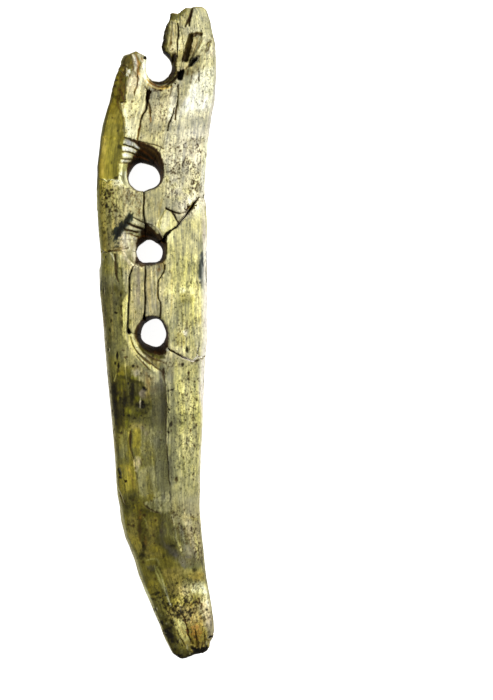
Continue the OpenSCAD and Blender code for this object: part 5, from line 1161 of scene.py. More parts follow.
A.line("brown", [(335, 420), (380, 440), (415, 475), (432, 500)], 9, 0.65, soft=0.4)
A.line("pale", [(112, 588), (130, 605), (145, 640)], 7, 0.8)
A.wash("straw", [(165, 590), (205, 580), (235, 620), (262, 680), (200, 690), (160, 650)], 0.5, soft=0.5, streak=0.2)
A.line("cream", [(198, 580), (232, 620), (255, 670)], 6, 0.75)
A.line("umber", [(112, 575), (150, 578), (190, 572), (236, 560)], [3, 5, 4, 5], 0.8, wob=0.3, depth=0.4)
A.line("brown", [(188, 548), (215, 552)], 5, 0.7, depth=0.3)
A.wash("olive", [(25, 60), (60, 100), (66, 160), (60, 240), (35, 240)], 0.6, soft=0.8)
A.dabs("black", [(100, 200, 24, 12, 10), (84, 222, 16, 18, 0), (125, 190, 16, 14, 0), (96, 296, 20, 26, 0), (140, 245, 8, 10, 0), (150, 300, 8, 10, 0), (128, 330, 8, 10, 0), (85, 180, 10, 10, 0), (70, 205, 8, 10, 0), (110, 235, 12, 10, 0)], 0.8, wob=0.5, mott=0.2, depth=0.2)
A.spray("umber", [(60, 140), (330, 200), (320, 380), (160, 400), (60, 420)], 160, (0.1, 0.2), 0.75, soft=3)
A.dabs("lemon", [(520, 170, 60, 50, 0), (600, 200, 50, 40, 0), (560, 250, 60, 40, 0), (480, 120, 30, 40, 0), (640, 240, 40, 20, 0)], 0.35, soft=1.2, wob=1.0, mott=0.4)
A.wash("umber", [(280, 640), (300, 655), (350, 655), (400, 640), (420, 650), (380, 668), (300, 672)], 0.8, soft=0.4)

# ---- closer work on the stain below the fourth hole
A.at(105, 360, 8.96)
A.dabs("lime", [(140, 235, 50, 90, 0), (212, 460, 70, 80, 0), (292, 345, 46, 60, 0), (130, 330, 34, 60, 0), (212, 130, 22, 100, 0), (300, 480, 70, 36, 0), (150, 150, 60, 50, 0), (270, 160, 60, 40, 0), (205, 560, 22, 90, 0)], 0.6, soft=0.7, wob=0.9, mott=0.35)
A.wash("ash", [(430, 230), (540, 200), (552, 360), (545, 560), (470, 580), (420, 540), (425, 400)], 0.55, soft=1.0, wob=0.8, streak=0.4)
A.line("ash", [(505, 240), (520, 400), (515, 540)], 46, 0.5, soft=0.6, streak=0.3)
A.line("mauve", [(480, 100), (510, 200), (520, 280)], 16, 0.4, streak=0.4)
A.line("black", [(80, 240), (84, 340), (98, 500), (110, 570)], [36, 50, 40, 24], 0.8, soft=0.6, wob=0.5, mott=0.3)
A.line("black", [(182, 290), (176, 380), (170, 500)], [22, 32, 20], 0.8, soft=0.4, wob=0.5, mott=0.2)
A.line("black", [(250, 210), (244, 310), (240, 410)], [26, 38, 18], 0.8, soft=0.4, wob=0.5, mott=0.2)
A.line("stain", [(120, 150), (200, 160), (250, 190), (330, 200)], [26, 30, 34, 20], 0.7, soft=0.6, wob=0.6, mott=0.3)
A.line("stain", [(200, 60), (196, 140), (212, 220)], 12, 0.7, soft=0.3, mott=0.2)
A.line("stain", [(130, 470), (136, 560), (128, 640)], [40, 52, 30], 0.6, soft=0.6, wob=0.6, mott=0.35)
A.line("stain", [(175, 330), (250, 330), (300, 400), (400, 400)], [16, 22, 30, 20], 0.65, soft=0.5, wob=0.6, mott=0.3)
A.dabs("black", [(354, 262, 34, 26, 20), (345, 246, 16, 16, 0), (300, 408, 60, 34, 0), (335, 380, 30, 40, 0), (215, 500, 30, 20, 0), (270, 520, 24, 16, 0), (205, 210, 20, 26, 0), (145, 345, 24, 40, 0), (120, 90, 16, 40, 0), (230, 590, 10, 60, 0), (395, 430, 20, 26, 0), (330, 500, 20, 12, 0), (150, 650, 24, 12, 0), (90, 640, 12, 24, 0), (310, 640, 14, 30, 0), (395, 140, 18, 26, 0), (330, 120, 14, 20, 0)], 0.75, soft=0.3, wob=0.5, mott=0.2)
A.dabs("mauve", [(342, 295, 40, 60, 0), (290, 110, 50, 60, 0), (340, 610, 50, 40, 0), (380, 650, 50, 50, 0), (500, 640, 40, 30, 0)], 0.45, soft=0.5, wob=0.7, mott=0.4)
A.line("tan", [(375, 120), (388, 190), (402, 262)], [18, 26, 14], 0.6, soft=0.5, mott=0.3)
A.line("pink", [(322, 366), (318, 424)], 8, 0.8)
A.line("straw", [(186, 30), (190, 110), (202, 200)], 5, 0.7, streak=0.2)
A.line("straw", [(105, 130), (88, 190)], 7, 0.7)
A.line("lemon", [(78, 450), (84, 560), (98, 700)], [8, 14, 12], 0.5, soft=0.4, streak=0.3)
A.line("straw", [(562, 180), (562, 320), (570, 420), (560, 560), (556, 680)], 9, 0.75, soft=0.3, mott=0.2)
A.line("umber", [(548, 200), (551, 340), (548, 480), (545, 600)], 5, 0.6, soft=0.3, mott=0.3)
A.dabs("black", [(568, 274, 12, 18, 0), (605, 266, 26, 12, 0), (578, 440, 16, 18, 0), (590, 572, 16, 44, 15), (566, 640, 20, 14, 0), (124, 50, 16, 48, 0), (95, 32, 14, 16, 0), (254, 54, 26, 24, -30), (296, 62, 10, 22, 0), (655, 382, 12, 14, 0), (700, 45, 20, 30, 20), (745, 170, 14, 20, 0), (690, 560, 10, 14, 0)], 0.85, soft=0.25, depth=0.15)
A.wash("gold", [(262, 610), (318, 612), (322, 700), (316, 780), (250, 780), (262, 700)], 0.6, soft=0.5, mott=0.25)
A.line("umber", [(236, 640), (228, 700), (230, 770)], [10, 16, 10], 0.75, soft=0.3, depth=0.25)
A.line("bone", [(420, 600), (412, 680), (418, 770)], 8, 0.5, soft=0.4, mott=0.3)
A.spray("black", [(120, 380), (420, 380), (420, 560), (140, 600)], 60, (0.1, 0.22), 0.7, soft=3)

# ---- closer work on the lower handle
A.at(118, 490, 8.46)
A.wash("bone", [(230, 110), (320, 60), (430, 40), (480, 120), (430, 185), (350, 190), (270, 150)], 0.6, soft=0.5, wob=0.8, mott=0.35)
A.wash("greycream", [(430, 10), (660, 0), (672, 170), (600, 210), (470, 190), (440, 100)], 0.45, soft=1.2, wob=0.8, streak=0.35)
A.line("umber", [(218, 95), (238, 130), (270, 158), (345, 190)], [5, 8, 7, 10], 0.75, soft=0.3, wob=0.3, depth=0.2)
A.dabs("gold", [(175, 120, 60, 90, 0), (275, 55, 80, 60, 0), (150, 160, 40, 60, 0), (310, 490, 90, 60, 0), (420, 590, 60, 60, 0), (300, 270, 60, 60, 0), (150, 420, 60, 70, 0), (80, 240, 34, 50, 0), (650, 240, 70, 34, 0), (330, 560, 60, 30, 0)], 0.55, soft=0.8, wob=1.0, mott=0.4)
A.dabs("umber", [(25, 42, 20, 24, 0), (130, 80, 24, 16, 0), (60, 100, 20, 30, 0), (40, 70, 16, 20, 0), (228, 208, 22, 26, 0), (90, 290, 26, 16, 0), (130, 296, 24, 18, 0), (285, 84, 20, 12, 0), (368, 124, 10, 14, 0), (215, 605, 18, 20, 0), (160, 575, 16, 12, 0), (318, 745, 20, 18, 0), (385, 568, 14, 14, 0), (320, 250, 22, 22, 0), (370, 345, 22, 34, 0), (562, 325, 14, 16, 0), (640, 255, 10, 14, 0), (562, 160, 12, 14, 0), (75, 330, 14, 20, 0), (240, 330, 16, 16, 0), (300, 380, 14, 16, 0)], 0.75, soft=0.3, wob=0.4, mott=0.2)
A.line("umber", [(182, 230), (190, 320), (184, 420)], [26, 34, 22], 0.5, soft=0.7, wob=0.9, mott=0.35)
A.line("stain", [(212, 455), (222, 500), (200, 560)], [26, 36, 30], 0.75, soft=0.5, wob=0.7, mott=0.25)
A.dabs("black", [(212, 470, 22, 26, 0), (214, 545, 30, 30, 0), (195, 575, 16, 16, 0), (480, 545, 44, 18, 15), (455, 470, 50, 20, 15), (645, 672, 30, 30, 0), (700, 520, 10, 30, 0)], 0.7, soft=0.4, wob=0.6, mott=0.3)
A.line("ash", [(372, 195), (384, 320), (372, 420), (430, 490), (520, 560), (560, 640)], [30, 44, 50, 60, 60, 40], 0.6, soft=0.8, wob=1.0, mott=0.3)
A.line("ash", [(398, 450), (440, 500), (500, 545)], [20, 40, 30], 0.5, soft=0.6, wob=0.8, mott=0.35)
A.wash("ash", [(540, 470), (640, 480), (660, 560), (640, 640), (560, 640), (540, 560)], 0.4, soft=1.0, wob=0.9, mott=0.4)
A.line("pewter", [(540, 300), (545, 400), (570, 500)], 40, 0.45, soft=0.7, streak=0.4)
A.line("ivory", [(486, 330), (492, 400), (504, 450), (545, 530)], [5, 7, 6, 4], 0.5, soft=0.3, mott=0.35)
A.line("ivory", [(460, 210), (475, 270), (480, 330)], 6, 0.55, soft=0.3)
A.line("straw", [(640, 320), (640, 420), (655, 500)], 8, 0.5, soft=0.4, streak=0.3)
A.line("straw", [(215, 220), (240, 260), (256, 330)], 6, 0.5, soft=0.3)
A.line("lemon", [(308, 635), (330, 700), (352, 760)], [9, 13, 9], 0.7, soft=0.4)
A.line("straw", [(240, 596), (272, 583), (312, 584), (340, 620), (356, 650)], 4, 0.3, soft=0.4, wob=0.4, mott=0.4)
A.dabs("ash", [(290, 655, 60, 50, 0), (262, 640, 40, 20, 0), (600, 560, 50, 26, 0)], 0.6, soft=0.5, wob=0.8, mott=0.4)
A.line("dkolive", [(694, 250), (702, 360), (724, 500), (742, 620)], 14, 0.6, soft=0.5, streak=0.3)
A.line("dkolive", [(330, 300), (345, 380), (350, 430)], 34, 0.5, soft=0.8, wob=0.9, mott=0.4)
A.line("rust", [(240, 400), (236, 460)], 26, 0.3, soft=0.8, mott=0.4)
A.line("rust", [(186, 170), (196, 240)], 22, 0.3, soft=0.8, mott=0.4)
A.spray("umber", [(420, 160), (680, 190), (720, 560), (600, 640), (460, 420)], 240, (0.08, 0.18), 0.75, tall=2.2, soft=3)
A.spray("umber", [(40, 160), (380, 200), (400, 700), (240, 740), (120, 480)], 90, (0.1, 0.24), 0.55, soft=3)
# painted rim highlight: pale line along the left contour of the lower handle
A.line("pale", [(6, 30), (24, 150), (62, 340), (105, 480), (168, 640), (205, 730)], 6, 0.7, soft=0.3, streak=0.2)

# ---- closer work on the tip
A.at(140, 572, 9.3)
A.wash("ivory", [(510, 110), (600, 90), (640, 150), (640, 200), (560, 190), (500, 170)], 0.35, soft=0.8, wob=0.9, mott=0.5)
A.wash("moss", [(100, 250), (180, 260), (300, 440), (330, 600), (400, 700), (360, 780), (280, 720), (220, 560), (160, 420)], 0.5, soft=0.8, wob=0.8, mott=0.4)
A.dabs("black", [(205, 465, 34, 30, 0), (240, 560, 50, 60, -20), (285, 590, 60, 60, 0), (270, 520, 40, 30, 0), (300, 640, 40, 34, 0), (230, 590, 24, 40, 0), (345, 640, 24, 40, -20), (370, 775, 40, 20, 0), (150, 350, 20, 34, -20), (120, 245, 40, 14, 20), (150, 205, 40, 12, -20), (180, 190, 18, 16, 0), (315, 350, 40, 30, 0), (345, 395, 44, 30, 0), (300, 400, 24, 20, 0), (380, 370, 14, 50, 0), (420, 350, 18, 20, 0), (450, 372, 30, 12, 0), (275, 300, 22, 20, 0), (330, 720, 26, 16, 0), (395, 680, 16, 20, 0), (260, 400, 16, 20, 0), (235, 330, 12, 30, -20), (300, 470, 20, 30, 0), (285, 440, 14, 30, 0)], 0.8, soft=0.25, wob=0.6, mott=0.15, depth=0.1)
A.dabs("greyolive", [(270, 470, 30, 30, 0), (310, 560, 24, 40, -20), (330, 690, 50, 40, 0), (390, 740, 40, 40, 0), (200, 400, 30, 40, 0), (350, 600, 20, 40, -20), (410, 770, 30, 20, 0), (230, 620, 16, 30, -20)], 0.7, soft=0.35, wob=0.6, mott=0.3)
A.dabs("bone", [(160, 340, 16, 30, -20), (320, 445, 12, 26, 0), (245, 480, 12, 16, 0), (370, 640, 8, 40, -30), (440, 700, 12, 50, -10), (465, 760, 14, 30, 0), (290, 300, 12, 30, 0), (378, 330, 6, 60, -10)], 0.75, soft=0.25, wob=0.3)
A.wash("straw", [(330, 440), (400, 450), (430, 520), (440, 600), (420, 640), (370, 600), (340, 520)], 0.55, soft=0.5, wob=0.6, mott=0.35)
A.wash("gold", [(440, 480), (560, 470), (620, 540), (600, 640), (520, 680), (460, 620), (450, 540)], 0.55, soft=0.7, wob=0.8, mott=0.35)
A.dabs("orange", [(520, 510, 60, 50, 0), (500, 560, 50, 50, 0), (555, 560, 40, 60, 0), (440, 560, 20, 60, 0), (530, 620, 50, 30, 0)], 0.55, soft=0.6, wob=0.8, mott=0.4)
A.dabs("umber", [(510, 600, 26, 30, 0), (470, 640, 16, 40, 0), (545, 660, 20, 20, 0), (560, 500, 10, 20, 0), (420, 600, 10, 30, 0), (610, 600, 16, 26, 0), (590, 660, 14, 20, 0), (520, 470, 10, 24, 0), (480, 520, 10, 16, 0)], 0.7, soft=0.25, wob=0.4, mott=0.2)
A.line("umber", [(396, 400), (418, 460), (440, 520), (452, 580), (470, 640)], [8, 9, 11, 9, 6], 0.85, wob=0.4, depth=0.4)
A.line("rust", [(410, 420), (436, 500), (446, 560)], 6, 0.7)
A.wash("greycream", [(600, 330), (672, 330), (684, 540), (640, 580), (600, 500)], 0.45, soft=0.8, wob=0.6, mott=0.4)
A.wash("black", [(500, 700), (560, 700), (630, 690), (610, 730), (520, 760), (495, 740)], 0.75, soft=0.5, wob=0.6)
A.dabs("black", [(652, 602, 44, 14, -20), (345, 95, 16, 18, 0), (240, 110, 10, 16, 0), (400, 60, 12, 10, 0), (550, 78, 14, 14, 0), (522, 88, 16, 12, 0), (580, 250, 12, 30, 0), (628, 240, 10, 24, 0), (585, 205, 10, 26, 0), (495, 285, 20, 20, 0), (555, 285, 20, 14, 0), (620, 350, 14, 20, 0), (600, 420, 10, 30, 0), (430, 260, 14, 40, 10), (570, 130, 24, 10, 0)], 0.75, soft=0.25, wob=0.3, mott=0.2)
A.spray("umber", [(420, 40), (600, 20), (650, 300), (640, 440), (480, 460), (420, 300)], 150, (0.08, 0.18), 0.7, tall=2, soft=2.5)
A.spray("black", [(240, 270), (480, 240), (480, 440), (400, 450), (280, 450)], 130, (0.08, 0.2), 0.75, tall=1.8, soft=2.5)
A.line("pale", [(205, 60), (235, 160), (262, 240), (282, 300)], [8, 14, 10, 5], 0.65, soft=0.3, mott=0.3, depth=-0.1)
A.line("straw", [(165, 10), (190, 70), (215, 150)], [9, 12, 8], 0.6, soft=0.3, mott=0.3)

# ---- where the fine dark flecks lie thick and thin
A.at(0, 0, 1)
for spots, f in [
    ([(160, 163), (200, 160), (206, 205), (190, 216), (166, 204), (160, 186)], 1.0),
    ([(172, 100), (206, 80), (214, 120), (204, 160), (166, 160)], 0.62),
    ([(100, 184), (124, 186), (126, 232), (104, 252), (98, 230)], 0.85),
    ([(176, 20), (205, 14), (214, 60), (210, 90), (188, 80), (182, 40)], 0.75),
    ([(142, 92), (166, 92), (164, 146), (140, 140)], 0.6),
    ([(138, 186), (158, 186), (150, 218), (126, 226), (124, 200)], 0.6),
    ([(178, 216), (208, 206), (208, 290), (166, 300), (166, 240)], 0.42),
    ([(172, 296), (208, 292), (208, 352), (182, 372), (170, 346)], 0.72),
    ([(172, 384), (206, 384), (204, 470), (176, 466)], 0.95),
    ([(104, 270), (126, 270), (132, 372), (112, 372)], 0.5),
    ([(160, 590), (196, 580), (208, 640), (190, 656), (168, 640)], 0.95),
    ([(128, 262), (162, 262), (162, 324), (128, 324)], 0.55),
]:
    A.wash(None, spots, soft=4.0, wob=1.2, fleck=f)

A.at(112, 5, 6.909)
A.wash("olive", [(64, 362), (138, 340), (156, 440), (112, 446), (58, 432)], 0.55, soft=0.8, wob=0.6, mott=0.4)
A.dabs("brown", [(100, 380, 30, 18, 0), (132, 418, 20, 24, 0), (82, 418, 20, 20, 0), (150, 380, 10, 30, 0), (62, 560, 12, 50, 0), (86, 620, 12, 50, 0), (40, 600, 12, 50, 0), (76, 500, 12, 26, 0)], 0.5, soft=0.8, wob=0.8, mott=0.4)
A.dabs("stain", [(84, 442, 14, 12, 0), (122, 398, 14, 10, 0), (60, 512, 12, 20, 0), (30, 640, 10, 30, 0), (96, 652, 10, 30, 0), (12, 560, 10, 26, 0)], 0.5, soft=0.6, wob=0.8, mott=0.4)
A.dabs("lime", [(60, 440, 30, 18, 0), (30, 500, 20, 20, 0), (66, 530, 16, 36, 0), (50, 640, 20, 50, 0)], 0.35, soft=1.0, wob=0.8, mott=0.5)
A.line("cream", [(140, 335), (150, 380), (160, 420), (168, 450)], [10, 16, 14, 8], 0.85, soft=0.3)
A.line("cream", [(172, 328), (184, 350), (200, 370)], 9, 0.8, soft=0.3)
A.line("rust", [(164, 345), (178, 390), (184, 440), (178, 500)], [6, 10, 8, 5], 0.6, soft=0.4)
A.wash("dkolive", [(528, 214), (562, 214), (550, 300), (528, 392), (490, 396), (504, 310)], 0.5, soft=0.5, mott=0.2)
A.wash("cream", [(452, 408), (524, 402), (500, 432), (462, 450)], 0.75, soft=0.4, mott=0.15)
A.at(105, 360, 8.96)
A.dabs("moss", [(110, 330, 60, 36, 0), (140, 270, 50, 36, 0), (192, 300, 40, 36, 0), (112, 450, 40, 60, 0), (162, 430, 60, 36, 0), (212, 440, 70, 50, 0), (250, 400, 60, 36, 0), (112, 540, 50, 60, 0), (330, 470, 60, 36, 0), (80, 250, 30, 40, 0)], 0.42, soft=1.2, wob=1.3, mott=0.5)
A.dabs("lime", [(225, 460, 50, 36, 0), (292, 430, 60, 36, 0), (214, 560, 30, 60, 0), (292, 350, 40, 26, 0), (140, 160, 50, 36, 0), (136, 345, 40, 14, 0), (180, 220, 30, 30, 0)], 0.35, soft=1.0, wob=1.3, mott=0.5)
A.dabs("brown", [(420, 200, 60, 50, 0), (440, 264, 60, 40, 0), (404, 330, 50, 50, 0), (432, 160, 50, 36, 0)], 0.36, soft=1.5, wob=1.2, mott=0.4)
A.dabs("greyolive", [(420, 420, 50, 80, 0), (400, 500, 60, 60, 0), (450, 560, 60, 50, 0), (384, 560, 60, 50, 0), (470, 470, 40, 60, 0)], 0.4, soft=1.5, wob=1.2, mott=0.45)
A.dabs("tan", [(384, 200, 30, 60, 0), (370, 110, 36, 50, 0), (390, 250, 24, 30, 0)], 0.32, soft=1.2, wob=1.0, mott=0.4)
A.line("grey", [(604, 400), (600, 480), (594, 560), (592, 640)], 34, 0.42, soft=1.0, streak=0.3)
A.at(0, 0, 1)
A.wash("pink", [(123, 232), (136, 240), (136, 262), (133, 268), (126, 262), (119, 244)], 0.5, soft=1.0, wob=0.5, mott=0.35)
A.line("slate", [(202.5, 253), (203.5, 262), (204, 272), (204.5, 284)], [3, 4.5, 4.5, 2], 0.85, soft=0.4, wob=0.4, streak=0.3)
A.line("slate", [(200, 262), (200.5, 270), (201, 278)], [1.5, 2.5, 1.5], 0.7, soft=0.4, wob=0.3, streak=0.3)
A.line("slate", [(203, 285), (204, 290), (204, 295)], 1.5, 0.5, soft=0.4)
A.line("umber", [(168.5, 348.5), (174, 352), (181, 355.5), (187, 358.5), (193, 361), (198, 360.5), (204, 357.5)], 1.3, 0.85, soft=0.3)
A.wash(None, [(188, 574), (208, 574), (214, 622), (190, 622)], soft=3.0, wob=0.5, gloss=0.05)
# painted shade: dark olive band down the tall prong's left contour
A.line("dkolive", [(169, 18), (166.5, 28), (165.5, 38), (163.5, 47), (168, 54), (173, 61), (175.5, 70)], [3, 4.5, 5.5, 6.5, 5.5, 4.5, 3], 0.62, soft=0.9, wob=0.5, streak=0.35)
A.line("stain", [(165.5, 26), (163.5, 38), (161.5, 47), (166, 54), (171, 61)], [2, 3, 3.5, 3, 2], 0.6, soft=0.6, wob=0.4, streak=0.3)
A.line("slate", [(204.5, 253), (203.5, 261), (201.5, 270), (202, 279), (203.5, 288)], [3, 4.5, 6, 4.5, 2.5], 0.7, soft=0.6, wob=0.7, streak=0.35)
A.line("brown", [(126.5, 66), (123, 73), (120.5, 80), (123.5, 86), (121.5, 93), (124.5, 100), (124, 108)], [1.2, 1.8, 1.6, 2.0, 1.6, 1.6, 1.0], 0.6, soft=0.4, wob=0.6, streak=0.3)
A.line("brown", [(122, 68), (126.5, 71), (129.5, 76), (128.5, 81)], [1.0, 1.4, 1.4, 1.0], 0.6, soft=0.4, wob=0.5)
A.line("brown", [(117, 88), (119.5, 95), (118, 102), (121, 108)], [1.0, 1.5, 1.5, 1.0], 0.45, soft=0.5, wob=0.6)
A.line("brown", [(131, 54), (134, 61), (133.5, 69), (136, 77)], [0.9, 1.2, 1.2, 0.8], 0.6, soft=0.3, wob=0.4)
